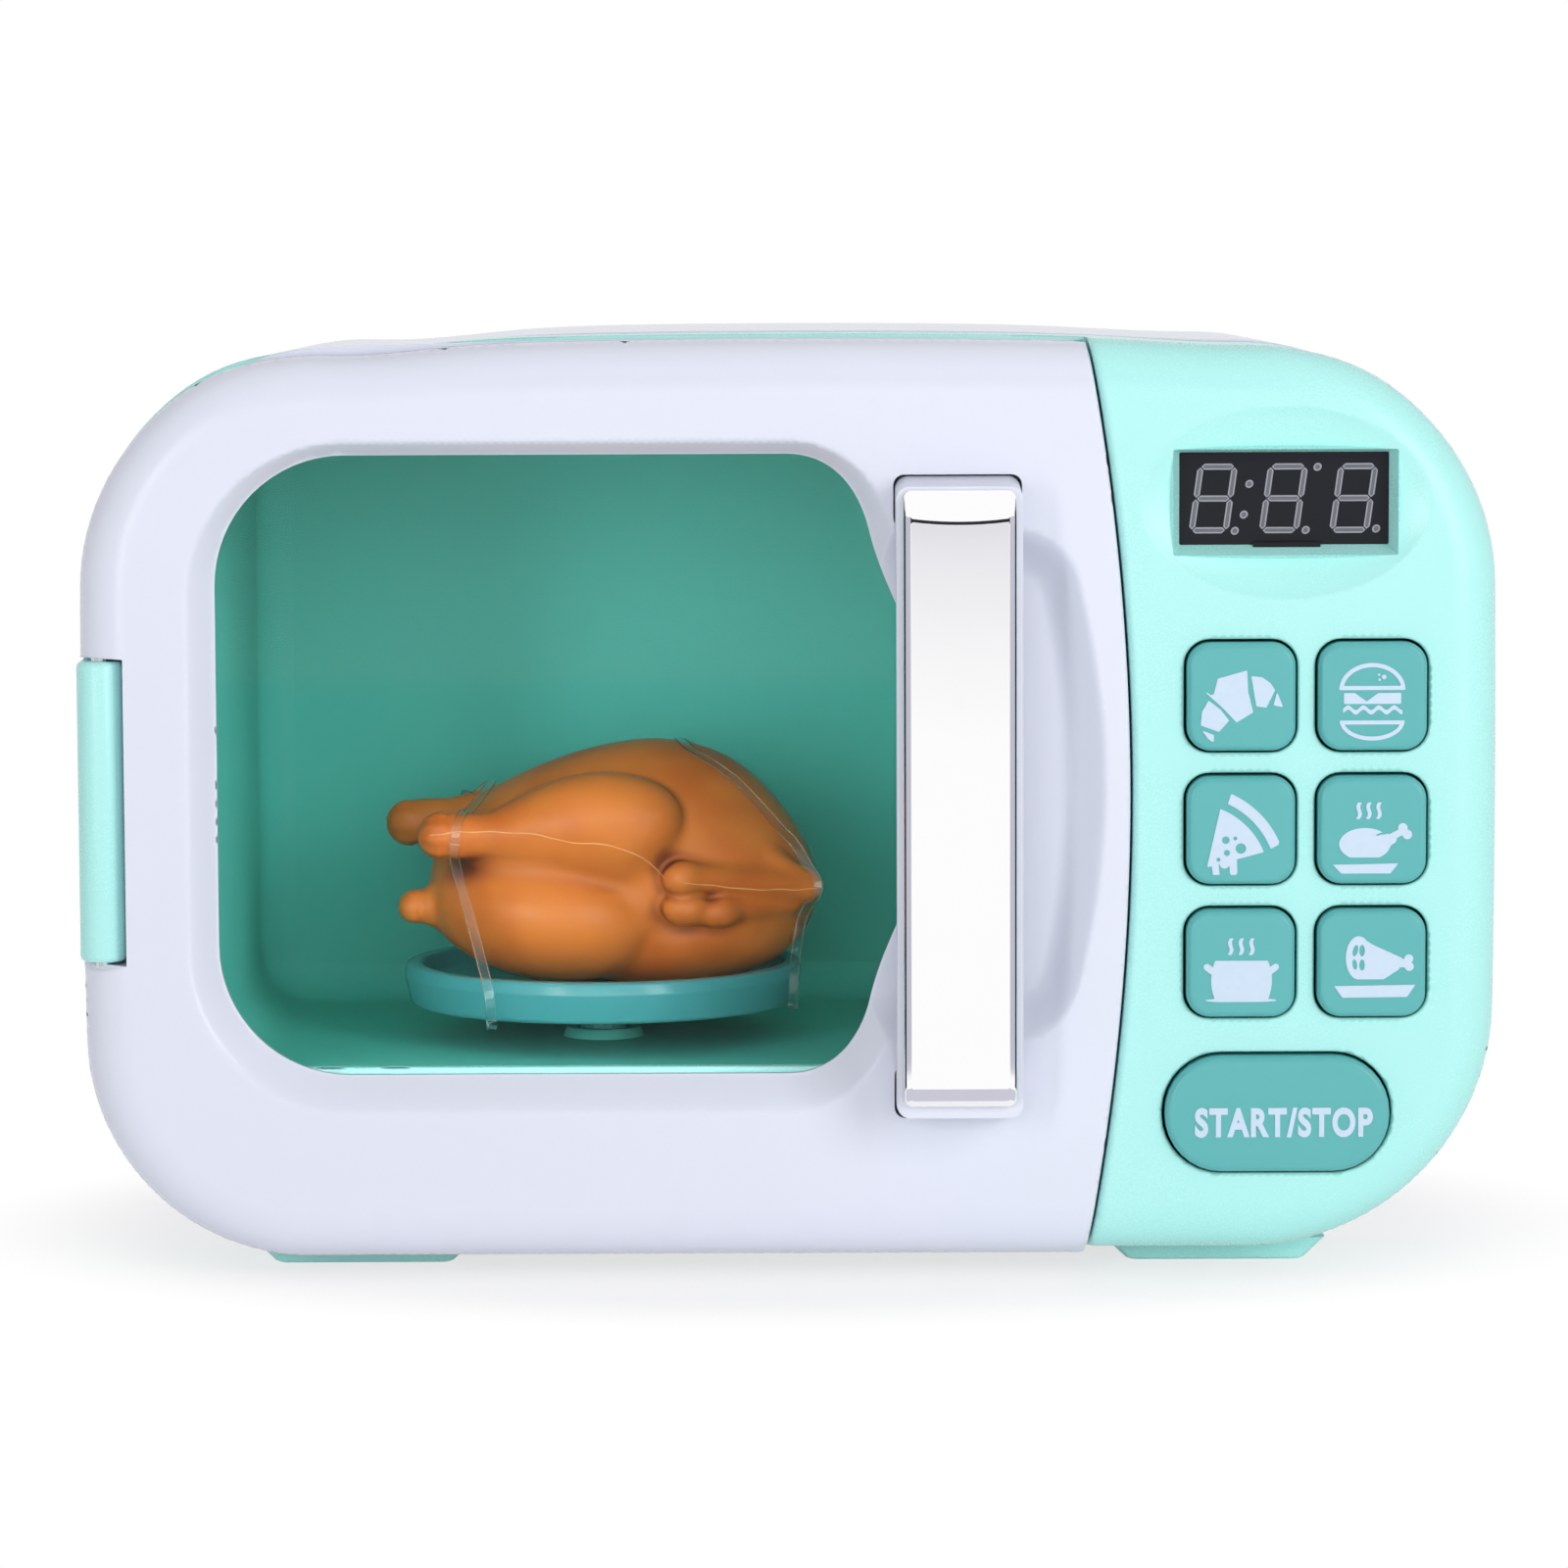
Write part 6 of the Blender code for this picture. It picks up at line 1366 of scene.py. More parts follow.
def polygon(x: np.ndarray, z: np.ndarray, corners: Sequence[Sequence[float]],
            radius: float = 0.0) -> np.ndarray:
    """Signed distance from a polygon grown by a radius, which rounds its corners."""
    points = np.asarray(corners, float)
    start, end = points, np.roll(points, -1, axis=0)
    flat = np.stack((x.reshape(-1), z.reshape(-1)), axis=1)
    side = end - start
    toward = flat[:, None, :] - start
    share = np.clip((toward * side).sum(axis=2) / (side ** 2).sum(axis=1), 0, 1)
    away = np.hypot(*np.moveaxis(toward - share[..., None] * side, 2, 0)).min(axis=1)
    away = np.where(inside(points, flat), -away, away)
    return away.reshape(x.shape) - radius


def waves(x: np.ndarray, z: np.ndarray, base: float, rise: float, length: float, phase: float,
          half: float) -> np.ndarray:
    """Signed distance, nearly, from a band about a sine line."""
    return np.abs(z - base - rise * np.sin(2 * np.pi * (x - phase) / length)) - half


def every(*fields: np.ndarray) -> np.ndarray:
    """The shape that lies in all of the given ones."""
    return np.maximum.reduce(fields)


def either(*fields: np.ndarray) -> np.ndarray:
    """The shape that lies in any of the given ones."""
    return np.minimum.reduce(fields)


def croissant_picture(x: np.ndarray, z: np.ndarray) -> np.ndarray:
    """A crescent roll in five pieces, from a crumb at the left to a small one at the right."""
    pieces = (((-6.2, 0.7), (-5.5, 0.2), (-4.9, 0.5), (-4.2, 3.2), (0.8, 4.6), (1.0, 0.9), (1.9, -2.7),
               (-0.9, -4.4), (-3.6, -1.6)),
              ((-5.9, -0.8), (-3.9, -2.3), (-2.4, -4.2), (-4.1, -6.1), (-7.2, -5.0), (-7.0, -2.7)),
              ((-6.8, -6.2), (-5.1, -6.9), (-5.1, -8.0), (-5.9, -7.4)),
              ((1.8, 3.6), (3.6, 3.4), (5.0, 2.4), (5.8, 1.2), (4.3, -1.8), (2.7, -1.6)),
              ((6.3, 0.5), (7.2, -1.7), (5.8, -1.4)))
    return either(*[polygon(x, z, piece, 0.12) for piece in pieces])


def burger_picture(x: np.ndarray, z: np.ndarray) -> np.ndarray:
    """A burger: an outlined dome with seeds, cheese with a notch, a wavy leaf and the lower bun."""
    dome = every(disc(x, z, -0.2, 1.2, 5.9, 4.8), 1.15 - z)
    top = every(dome, -(dome + 0.75))
    seeds = either(disc(x, z, 1.9, 3.5, 0.4), disc(x, z, 1.0, 3.9, 0.22), disc(x, z, 1.1, 3.0, 0.24))
    cheese = every(box_distance(x, z, (-0.15, -0.35), (5.1, 0.98), 0.1),
                   -polygon(x, z, ((-3.4, 0.7), (1.0, 0.7), (-1.2, -0.9))))
    leaf = every(waves(x, z, -2.4, 0.42, 2.75, 0.3, 0.4), np.abs(x + 0.1) - 5.3)
    under = every(disc(x, z, -0.2, -4.3, 5.8, 3.6), z + 4.3)
    foot = every(under, -(under + 0.72))
    return either(top, seeds, cheese, leaf, foot)


def pizza_picture(x: np.ndarray, z: np.ndarray) -> np.ndarray:
    """A slice of pizza: its crust apart at the upper right, five holes and three drips."""
    crust = every(np.abs(disc(x, z, -8.9, -9.0, 16.2)) - 0.95,
                  polygon(x, z, ((-2.9, 3.6), (-1.5, 7.6), (9.0, 4.0), (6.6, -2.6), (4.6, -3.6))))
    body = every(disc(x, z, -8.9, -9.0, 13.9), polygon(x, z, ((-3.6, 3.9), (8.0, -2.6), (-5.9, -6.3)), 0.2))
    drips = either(capsule(x, z, (-4.7, -6.0), (-4.5, -7.9), 0.62),
                   capsule(x, z, (-3.1, -5.0), (-3.0, -5.9), 0.9),
                   capsule(x, z, (-1.5, -4.6), (-1.4, -7.4), 0.68))
    holes = either(disc(x, z, -2.8, -1.7, 0.68), disc(x, z, -1.1, -1.4, 0.36), disc(x, z, -0.1, -3.2, 0.95),
                   disc(x, z, -2.6, -4.0, 0.55), disc(x, z, -4.1, -5.2, 0.36))
    return either(crust, every(either(body, drips), -holes))


def steam(x: np.ndarray, z: np.ndarray, centre: float, low: float) -> np.ndarray:
    """One curl of steam: a short upright wave that leans to the right."""
    bend = x - centre - 0.16 * (z - low) - 0.26 * np.sin(2 * np.pi * (z - low) / 3.1)
    return every(np.abs(bend) - 0.34, np.abs(z - low - 1.5) - 1.5)


def roast_picture(x: np.ndarray, z: np.ndarray) -> np.ndarray:
    """A roast bird on its dish under three curls of steam, its bone to the right."""
    dish = polygon(x, z, ((-7.1, -6.2), (4.6, -6.0), (3.2, -7.8), (-5.6, -7.8)))
    body = every(either(disc(x, z, -1.4, -2.5, 4.6, 2.9), capsule(x, z, (1.2, -2.2), (3.4, -1.6), 1.9, 0.9)),
                 -(z + 4.9))
    bone = either(capsule(x, z, (3.0, -1.4), (5.2, -0.3), 0.6), disc(x, z, 5.4, 0.4, 0.85),
                  disc(x, z, 6.2, -0.8, 0.85))
    fold = every(np.abs(disc(x, z, 2.0, -2.7, 2.2, 2.1)) - 0.16, 1.0 - z - 2.0, x - 2.4)
    curls = [steam(x, z, centre, 2.0) for centre in (-2.7, -0.95, 0.85)]
    return either(dish, every(body, -fold), bone, *curls)


def stew_picture(x: np.ndarray, z: np.ndarray) -> np.ndarray:
    """A stew pot with slanted handles, a thin ground line and three curls of steam."""
    bulge = 4.7 + 0.75 * np.sin(np.pi * np.clip((z + 6.5) / 7.0, 0, 1)) ** 0.8
    pot = every(np.abs(x - 0.1) - bulge, z - 0.55, -(z + 6.3))
    grips = either(capsule(x, z, (-6.1, -0.6), (-4.9, -1.5), 0.6),
                   capsule(x, z, (6.2, -0.6), (5.0, -1.5), 0.6))
    ground = every(disc(x, z, 0.0, -6.6, 6.4, 0.38), np.abs(z + 6.6) - 0.3)
    curls = [steam(x, z, centre, 1.6) for centre in (-2.1, -0.2, 1.7)]
    return either(pot, grips, ground, *curls)


def ham_picture(x: np.ndarray, z: np.ndarray) -> np.ndarray:
    """A leg of ham on its dish: its cut face to the left with four holes, the bone to the right."""
    dish = polygon(x, z, ((-6.8, -4.1), (7.8, -3.9), (6.3, -6.1), (-5.3, -6.2)))
    meat = either(disc(x, z, -2.4, 1.0, 2.3, 3.9), polygon(x, z, ((-2.4, 4.5), (0.2, 3.0), (5.2, 0.7),
                                                               (4.6, -0.9), (2.0, -2.6), (-2.4, -2.6)), 0.3))
    bone = either(capsule(x, z, (4.6, 0.0), (6.0, 0.0), 0.75), disc(x, z, 6.6, 0.8, 0.8),
                  disc(x, z, 6.7, -0.6, 0.8))
    holes = either(disc(x, z, -3.0, 2.3, 0.45, 1.05, -14), disc(x, z, -1.8, 2.3, 0.5, 1.05, 0),
                   disc(x, z, -3.1, -0.2, 0.42, 0.95, 8), disc(x, z, -1.8, -0.3, 0.5, 1.0, 0))
    return either(dish, every(meat, -holes), bone)


def traced(shape: Field, half: float, pitch: float) -> tuple[np.ndarray, np.ndarray, list[Outline]]:
    """Meshes the inside of a flat shape.

    Every square cell that the edge crosses gets one point, the mean of the edge's crossings of the
    cell's sides; cells inside keep their middle. Four cells about a grid point inside make a quad.

    Args:
        shape: below nought inside.
        half: half the width of the square that holds it.
        pitch: the cells' size.

    Returns:
        Points (x, z), quads, and the edge's quads as pairs of points, outline side to the right.
    """
    axis = np.arange(-half, half + pitch, pitch)
    x, z = np.meshgrid(axis, axis, indexing="ij")
    value = shape(x, z)
    solid = value < 0
    total = np.zeros((len(axis) - 1, len(axis) - 1, 2))
    number = np.zeros((len(axis) - 1, len(axis) - 1))
    for (a, b), (c, d) in (((0, 0), (1, 0)), ((1, 0), (1, 1)), ((1, 1), (0, 1)), ((0, 1), (0, 0))):
        size = len(axis) - 1
        one, two = value[a:a + size, b:b + size], value[c:c + size, d:d + size]
        crossed = (one < 0) != (two < 0)
        share = np.where(crossed, one / np.where(one == two, 1, one - two), 0)
        total[..., 0] += np.where(crossed, a + (c - a) * share, 0)
        total[..., 1] += np.where(crossed, b + (d - b) * share, 0)
        number += crossed
    mean = np.where(number[..., None] > 0, total / np.maximum(number[..., None], 1), 0.5)
    corner = np.stack((x[:-1, :-1], z[:-1, :-1]), axis=-1)
    points = (corner + mean * pitch).reshape(-1, 2)
    index = np.arange(len(points)).reshape(len(axis) - 1, -1)
    core = solid[1:-1, 1:-1]
    quads = np.stack((index[:-1, :-1], index[1:, :-1], index[1:, 1:], index[:-1, 1:]), axis=-1)[core]
    edges = []
    for one, two, start, end in (
            (solid[1:-1, 1:-1], solid[2:, 1:-1], index[1:, :-1], index[1:, 1:]),
            (solid[1:-1, 1:-1], solid[1:-1, 2:], index[1:, 1:], index[:-1, 1:]),
            (solid[1:-1, 1:-1], solid[:-2, 1:-1], index[:-1, 1:], index[:-1, :-1]),
            (solid[1:-1, 1:-1], solid[1:-1, :-2], index[:-1, :-1], index[1:, :-1])):
        cut = one & ~two
        edges.append(np.stack((start[cut], end[cut]), axis=1))
    return points, quads, np.concatenate(edges)


def raised(shape: Field, centre: tuple[float, float], half: float, front: float, thick: float,
           pitch: float = 0.11) -> MeshDraft:
    """A flat picture with a thickness: its front, its back and the wall between them."""
    points, quads, edges = traced(shape, half, pitch)
    placed = points + np.asarray(centre)
    layers = [np.column_stack((placed[:, 0], np.full(len(placed), y), placed[:, 1]))
              for y in (front, front + thick)]
    made = MeshDraft()
    made.add(layers[0], quads)
    made.add(layers[1], quads, True)
    both = np.concatenate(layers)
    count = len(placed)
    walls = np.stack((edges[:, 0], edges[:, 0] + count, edges[:, 1] + count, edges[:, 1]), axis=1)
    made.add(both, walls)
    return made


def soft_slab(box: Callable[[float], Outline], front: float, back: float, radius: float,
              crown: Field | None = None) -> MeshDraft:
    """A slab with a soft front edge.

    Rows of its outline are drawn in by radius (1 - sin a) while the depth falls by radius (1 - cos a);
    the crown adds a little depth away from the middle of the front.
    """
    made = MeshDraft()
    rows = [np.column_stack((box(0.0), np.full(len(box(0.0)), back)))]
    for angle in (90, 72, 54, 38, 24, 12, 0):
        drawn = radius * (1 - math.sin(math.radians(angle)))
        loop = box(drawn)
        rows.append(np.column_stack((loop, np.full(len(loop), front + radius * (1 - math.cos(
            math.radians(angle)))))))
    stack = np.stack(rows)[:, :, (0, 2, 1)]
    if crown is not None:
        stack[1:, :, 1] += crown(stack[1:, :, 0], stack[1:, :, 2])
    made.add_grid(stack[::-1], wrap_columns=True)
    for row, flip in ((rows[-1], False), (rows[0], True)):
        lattice = np.zeros((0, 2))
        if crown is not None and not flip:
            low, high = row[:, :2].min(axis=0), row[:, :2].max(axis=0)
            x, z = np.meshgrid(np.arange(low[0], high[0], 1.1), np.arange(low[1], high[1], 1.1))
            lattice = np.stack((x.reshape(-1), z.reshape(-1)), axis=1)
            lattice = cleared(lattice, row[:, :2], (), 0.5)
        flat, triangles = filled([row[:, :2]], lattice)
        depth = np.full(len(flat), row[0, 2])
        if crown is not None and not flip:
            depth = depth + crown(flat[:, 0], flat[:, 1])
        made.add(np.column_stack((flat[:, 0], depth, flat[:, 1])), triangles, flip)
    return made


@dataclass
class Keys:
    """The seven buttons, each with its picture or its words."""

    panel: ControlPanel
    proud: float = 2.3
    clearance: float = 0.5
    back: float = 2.6
    edge: float = 1.15
    picture_height: float = 0.16
    pictures: tuple = (
        ("croissant", Body.CROISSANT, croissant_picture), ("burger", Body.BURGER, burger_picture),
        ("pizza", Body.PIZZA, pizza_picture), ("roast", Body.ROAST, roast_picture),
        ("stew", Body.STEW, stew_picture), ("ham", Body.HAM, ham_picture))

    def build(self, palette: Palette) -> None:
        """Makes every cap and its marking."""
        boxes = self.panel.button_boxes()
        for (name, body, picture), box in zip(self.pictures, boxes):
            self.cap(f"{name}_button", body, box, palette)
            made = raised(picture, box[:2], 8.0, -self.proud - self.picture_height, 0.4)
            made.build(f"{name}_picture", body, palette.icon, Slot.TEAL, sharp=60.0)
        self.cap("start_stop_button", Body.START, boxes[-1], palette)
        self.words(palette, boxes[-1])

    def cap(self, node: str, body: Body, box: Sequence[float], palette: Palette) -> None:
        """One cap: a soft slab with a slightly crowned face, drawn in from its opening."""
        cx, cz, half_x, half_z, radius = box

        def outline(inset: float) -> Outline:
            """The cap's edge drawn in by an inset."""
            total = self.clearance + inset
            return rounded_box(cx - half_x + total, cx + half_x - total, cz - half_z + total,
                               cz + half_z - total, (max(radius - total, 0.8),) * 4, 8, 2.0)

        def crown(x: np.ndarray, z: np.ndarray) -> np.ndarray:
            """Falls by 0.12 mm times the fourth power of the way out from the middle."""
            return 0.12 * np.clip((x - cx) ** 4 / half_x ** 4 + (z - cz) ** 4 / half_z ** 4, 0, 2)

        made = soft_slab(outline, -self.proud, self.back, self.edge, crown)
        thing = made.build(f"{node}_cap", body, palette.button, Slot.TEAL, sharp=50.0)
        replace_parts(thing, node)

    def words(self, palette: Palette, box: Sequence[float]) -> None:
        """START / STOP in plain bold capitals, low on the long button."""
        curve = bpy.data.curves.new("start_stop_letters", "FONT")
        curve.body = "START/STOP"
        curve.size = 1.0
        curve.offset = 0.042
        curve.extrude = 0.02
        curve.resolution_u = 6
        curve.space_character = 1.14
        shape = bpy.data.objects.new("start_stop_letters", curve)
        bpy.context.scene.collection.objects.link(shape)
        bpy.context.view_layer.update()
        mesh = bpy.data.meshes.new_from_object(shape.evaluated_get(
            bpy.context.evaluated_depsgraph_get()))
        bpy.data.objects.remove(shape)
        bpy.data.curves.remove(curve)
        points = np.empty(len(mesh.vertices) * 3, np.float32)
        mesh.vertices.foreach_get("co", points)
        points = points.reshape(-1, 3).astype(float)
        low, high = points.min(axis=0), points.max(axis=0)
        size = (32.0, 5.4)
        flat = (points - (low + high) / 2) / (high - low)
        place = np.column_stack((box[0] + 1.1 + flat[:, 0] * size[0],
                                 np.where(flat[:, 2] > 0, -self.proud - self.picture_height,
                                          -self.proud + 0.25),
                                 box[1] - 1.48 + flat[:, 1] * size[1]))
        world = (place + DRAWING_ORIGIN) * MILLIMETRE
        mesh.vertices.foreach_set("co", world.astype(np.float32).reshape(-1))
        mesh.update()
        mesh.shade_flat()
        finished("start_stop_words", mesh, Body.START, palette.icon, Slot.TEAL)


@dataclass
class Display:
    """The sunk display: its sloping mint walls, black face, its tab and pale outlined digits."""

    panel: ControlPanel
    sight: tuple[float, float] = (37.6, 16.6)
    sight_rise: float = 0.55
    face: float = 4.75
    digit_height: float = 12.5
    digit_width: float = 7.2
    pitch: float = 12.6
    slant: float = 0.14
    stroke: float = 0.55
    line: float = 0.13

    def build(self, palette: Palette) -> None:
        """Makes the wall, the face and the digits."""
        self.wall(palette)
        self.glass(palette)
        x, z = self.panel.display
        middle = (x, z + self.sight_rise)
        made = raised(self.segments, middle, 20.0, self.face - 0.02, 0.03, 0.1)
        made.build("display_digits", Body.HOUSING, palette.unlit, Slot.BLACK, sharp=60.0)
        made = raised(lambda px, pz: np.abs(self.segments(px, pz) + self.line) - self.line, middle, 20.0,
                      self.face - 0.03, 0.03, 0.1)
        made.build("display_digit_rims", Body.HOUSING, palette.segment, Slot.BLACK, sharp=60.0)

    def ring(self, width: float, height: float, radius: float, rise: float = 0.0) -> Outline:
        """A rounded outline about the display's middle, or above it by a rise."""
        x, z = self.panel.display
        z = z + rise
        return rounded_box(x - width / 2, x + width / 2, z - height / 2, z + height / 2,
                           (radius,) * 4, 3, 90.0)

    def wall(self, palette: Palette) -> None:
        """Four sloping walls from the dish down to the face, with their outer side: a closed ring."""
        width, height = self.panel.opening
        rings = [(self.ring(width - 0.04, height - 0.04, 0.4), None),
                 (self.ring(*self.sight, 0.3, self.sight_rise), self.face),
                 (self.ring(self.sight[0] + 0.9, self.sight[1] + 0.9, 0.3, self.sight_rise),
                  self.face + 0.1),
                 (self.ring(width + 1.2, height + 1.2, 0.4), 2.6)]
        rows = []
        for loop, depth in rings:
            y = self.panel.depth(*loop.T) + 0.12 if depth is None else np.full(len(loop), depth)
            rows.append(np.column_stack((loop[:, 0], y, loop[:, 1])))
        made = MeshDraft()
        made.add_grid(np.stack(rows), wrap_rows=True, wrap_columns=True)
        made.build("display_bezel", Body.HOUSING, palette.mint, Slot.MINT, sharp=25.0)

    def glass(self, palette: Palette) -> None:
        """The black face: a thin slab behind the walls."""
        made = soft_slab(lambda inset: self.ring(self.sight[0] + 0.7 - 2 * inset,
                                                 self.sight[1] + 0.7 - 2 * inset, 0.3,
                                                 self.sight_rise),
                         self.face, self.face + 0.045, 0.02)
        made.build("display_face", Body.HOUSING, palette.black, Slot.BLACK)
        x, z = self.panel.display
        edge = z + self.sight_rise - self.sight[1] / 2
        low = edge - 0.75
        made = soft_slab(lambda inset: rounded_box(x - 5.6 + inset, x + 6.5 - inset, low + inset,
                                                   edge + 0.5 - inset, (0.15,) * 4, 2, 9.0),
                         self.face - 1.0, self.face + 0.04, 0.12)
        made.build("display_tab", Body.HOUSING, palette.black, Slot.BLACK)

    def segments(self, x: np.ndarray, z: np.ndarray) -> np.ndarray:
        """Three slanted eights of seven hexagonal bars, a colon and the points of the module."""
        flat = x - z * self.slant
        shapes = [self.eight(flat, z, (number - 1) * self.pitch - 0.1) for number in range(3)]
        dot = 0.72
        for cx, cz in ((-6.6, 2.6), (-6.8, -2.9), (-8.0, -5.8), (4.7, -5.7), (17.3, -5.5), (5.2, 5.6)):
            shapes.append(disc(flat, z, cx, cz, dot))
        return either(*shapes)

    def eight(self, x: np.ndarray, z: np.ndarray, centre: float) -> np.ndarray:
        """Seven bars: three level ones and four upright ones, with pointed ends and thin gaps."""
        half_w = self.digit_width / 2 - self.stroke
        half_h = self.digit_height / 2 - self.stroke
        gap = 0.14
        bars = []
        for level in (half_h, 0.0, -half_h):
            along, across = np.abs(x - centre), np.abs(z - level)
            bars.append(np.maximum(across - self.stroke, along + across - (half_w - gap)))
        for side in (-1, 1):
            for up in (-1, 1):
                along = np.abs(z - up * half_h / 2)
                across = np.abs(x - centre - side * half_w)
                bars.append(np.maximum(across - self.stroke, along + across - (half_h / 2 - gap)))
        return either(*bars)


@dataclass
class Oven:
    """The liner and the turntable plate."""

    table: tuple[float, float] = (-35.35, 76.0)
    plate_base: float = -46.3
    plate_radius: float = 38.25
    rim: float = 3.4
    opening: tuple[float, float, float, float] = (-106.0, 35.3, -52.3, 63.5)
    corner: float = 10.0
    near: float = 21.5
    back: float = 133.0

    def build(self, palette: Palette) -> None:
        """Makes the liner and the plate."""
        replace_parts(self.liner(palette), "cavity_liner")
        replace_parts(self.plate(palette), "turntable_plate")

    def box(self, grow: float) -> Outline:
        """The oven's opening, grown on all sides."""
        left, right, low, high = self.opening
        return rounded_box(left - grow, right + grow, low - grow, high + grow,
                           (self.corner + grow,) * 4, 8, 7.0)

    def liner(self, palette: Palette) -> bpy.types.Object:
        """A deep tray: rings of its opening from the flange inwards, round the back edge, then outside."""
        wall = 1.8
        rings = [(4.4, self.near), (0.5, self.near), (0.15, self.near + 0.15), (0.0, self.near + 0.5)]
        rings += [(0.0, y) for y in (45.0, 70.0, 95.0, self.back - 7.0)]
        rings += [(-7.0 * (1 - math.cos(math.radians(a))), self.back - 7.0 * (1 - math.sin(math.radians(a))))
                  for a in (15, 30, 45, 60, 75, 90)]
        inside_count = len(rings)
        rings += [(-7.0 + wall * 0.4, self.back + wall), (wall, self.back - 5.0), (wall, self.near + wall),
                  (4.4, self.near + wall)]
        rows = []
        for grow, y in rings:
            loop = self.box(grow)
            rows.append(np.column_stack((loop[:, 0], np.full(len(loop), y), loop[:, 1])))
        made = MeshDraft()
        counts = {len(row) for row in rows}
        if len(counts) > 1:
            rows = [resampled(row, max(counts)) for row in rows]
        stack = np.stack(rows)
        made.add_grid(stack[:inside_count], wrap_columns=True)
        made.add_grid(np.concatenate((stack[inside_count:], stack[:1])), wrap_columns=True)
        for row, flip in ((stack[inside_count - 1], False), (stack[inside_count], True)):
            made.add_cap(row, 1, flip)
        self.collar(made)
        return made.build("oven_liner", Body.HOUSING, palette.liner, Slot.LINER, sharp=50.0)

    def collar(self, made: MeshDraft) -> None:
        """The low collar round the spindle, a closed turned ring on the floor."""
        low = self.opening[2]
        profile = [(5.0, low - 0.4), (7.8, low - 0.4), (7.5, low + 0.9), (6.9, low + 1.8), (5.4, low + 1.8),
                   (5.0, low + 1.5), (5.0, low - 0.4)]
        ring = turned(profile, 48, (self.table[0], self.table[1], 0.0))
        made.add_grid(ring, wrap_columns=True, flip=True)

    def plate(self, palette: Palette) -> bpy.types.Object:
        """The plate: a turned profile with a raised rim, a foot ring and three low rings inside."""
        outer, rim, base = self.plate_radius, self.rim, self.plate_base
        inner = outer - rim
        shape = rounded_profile([
            (0.0, 4.9, 0), (inner - 1.6, 4.9, 1.5), (inner, 8.7, 0.9), (outer - 0.5, 8.7, 0.8),
            (outer, 6.4, 1.4), (outer - 1.2, 0.8, 1.2), (outer - 9.0, 0.8, 0.3), (outer - 9.5, 1.5, 0.3),
            (6.4, 1.5, 0.3), (6.2, 0.0, 0.3), (4.9, 0.0, 0.2), (4.9, 2.5, 0.2), (0.0, 2.5, 0)], 6)
        shape = np.column_stack((np.maximum(shape[:, 0], 0.0), shape[:, 1]))
        made = MeshDraft()
        made.add_grid(turned(shape, 128, (self.table[0], self.table[1], base)), wrap_columns=True,
                      flip=True)
        return made.build("turntable_dish", Body.TURNTABLE, palette.teal, Slot.TEAL, sharp=40.0)


def resampled(loop: np.ndarray, count: int) -> np.ndarray:
    """A closed loop of points brought to a count, evenly by its own numbering."""
    places = np.linspace(0, len(loop), count, endpoint=False)
    low = np.floor(places).astype(int)
    share = (places - low)[:, None]
    return loop[low % len(loop)] * (1 - share) + loop[(low + 1) % len(loop)] * share


def ball(p: np.ndarray, centre: Sequence[float], radii: Sequence[float], turn: float = 0.0,
         tilt: float = 0.0) -> np.ndarray:
    """Nearly the distance from an ellipsoid, turned about z and then tilted about y, in degrees."""
    q = p - np.asarray(centre, float)
    a, b = math.radians(turn), math.radians(tilt)
    u = q[..., 0] * math.cos(a) + q[..., 1] * math.sin(a)
    v = q[..., 1] * math.cos(a) - q[..., 0] * math.sin(a)
    along = u * math.cos(b) + q[..., 2] * math.sin(b)
    up = q[..., 2] * math.cos(b) - u * math.sin(b)
    local = np.stack((along, v, up), axis=-1) / np.asarray(radii, float)
    size = np.linalg.norm(local, axis=-1)
    slope = np.linalg.norm(local / np.asarray(radii, float), axis=-1)
    return size * (size - 1) / np.maximum(slope, 1e-9)


def limb(p: np.ndarray, start: Sequence[float], end: Sequence[float], radius: float,
         end_radius: float) -> np.ndarray:
    """Distance from a round-ended stroke in space whose radius changes evenly."""
    start, end = np.asarray(start, float), np.asarray(end, float)
    along = end - start
    share = np.clip(((p - start) @ along) / (along @ along), 0, 1)
    return np.linalg.norm(p - start - share[..., None] * along, axis=-1) - radius - (
        end_radius - radius) * share


def joined(one: np.ndarray, two: np.ndarray, soft: float) -> np.ndarray:
    """The union of two shapes, filled in where they meet over a soft distance."""
    share = np.maximum(soft - np.abs(one - two), 0) / soft
    return np.minimum(one, two) - share * share * soft / 4


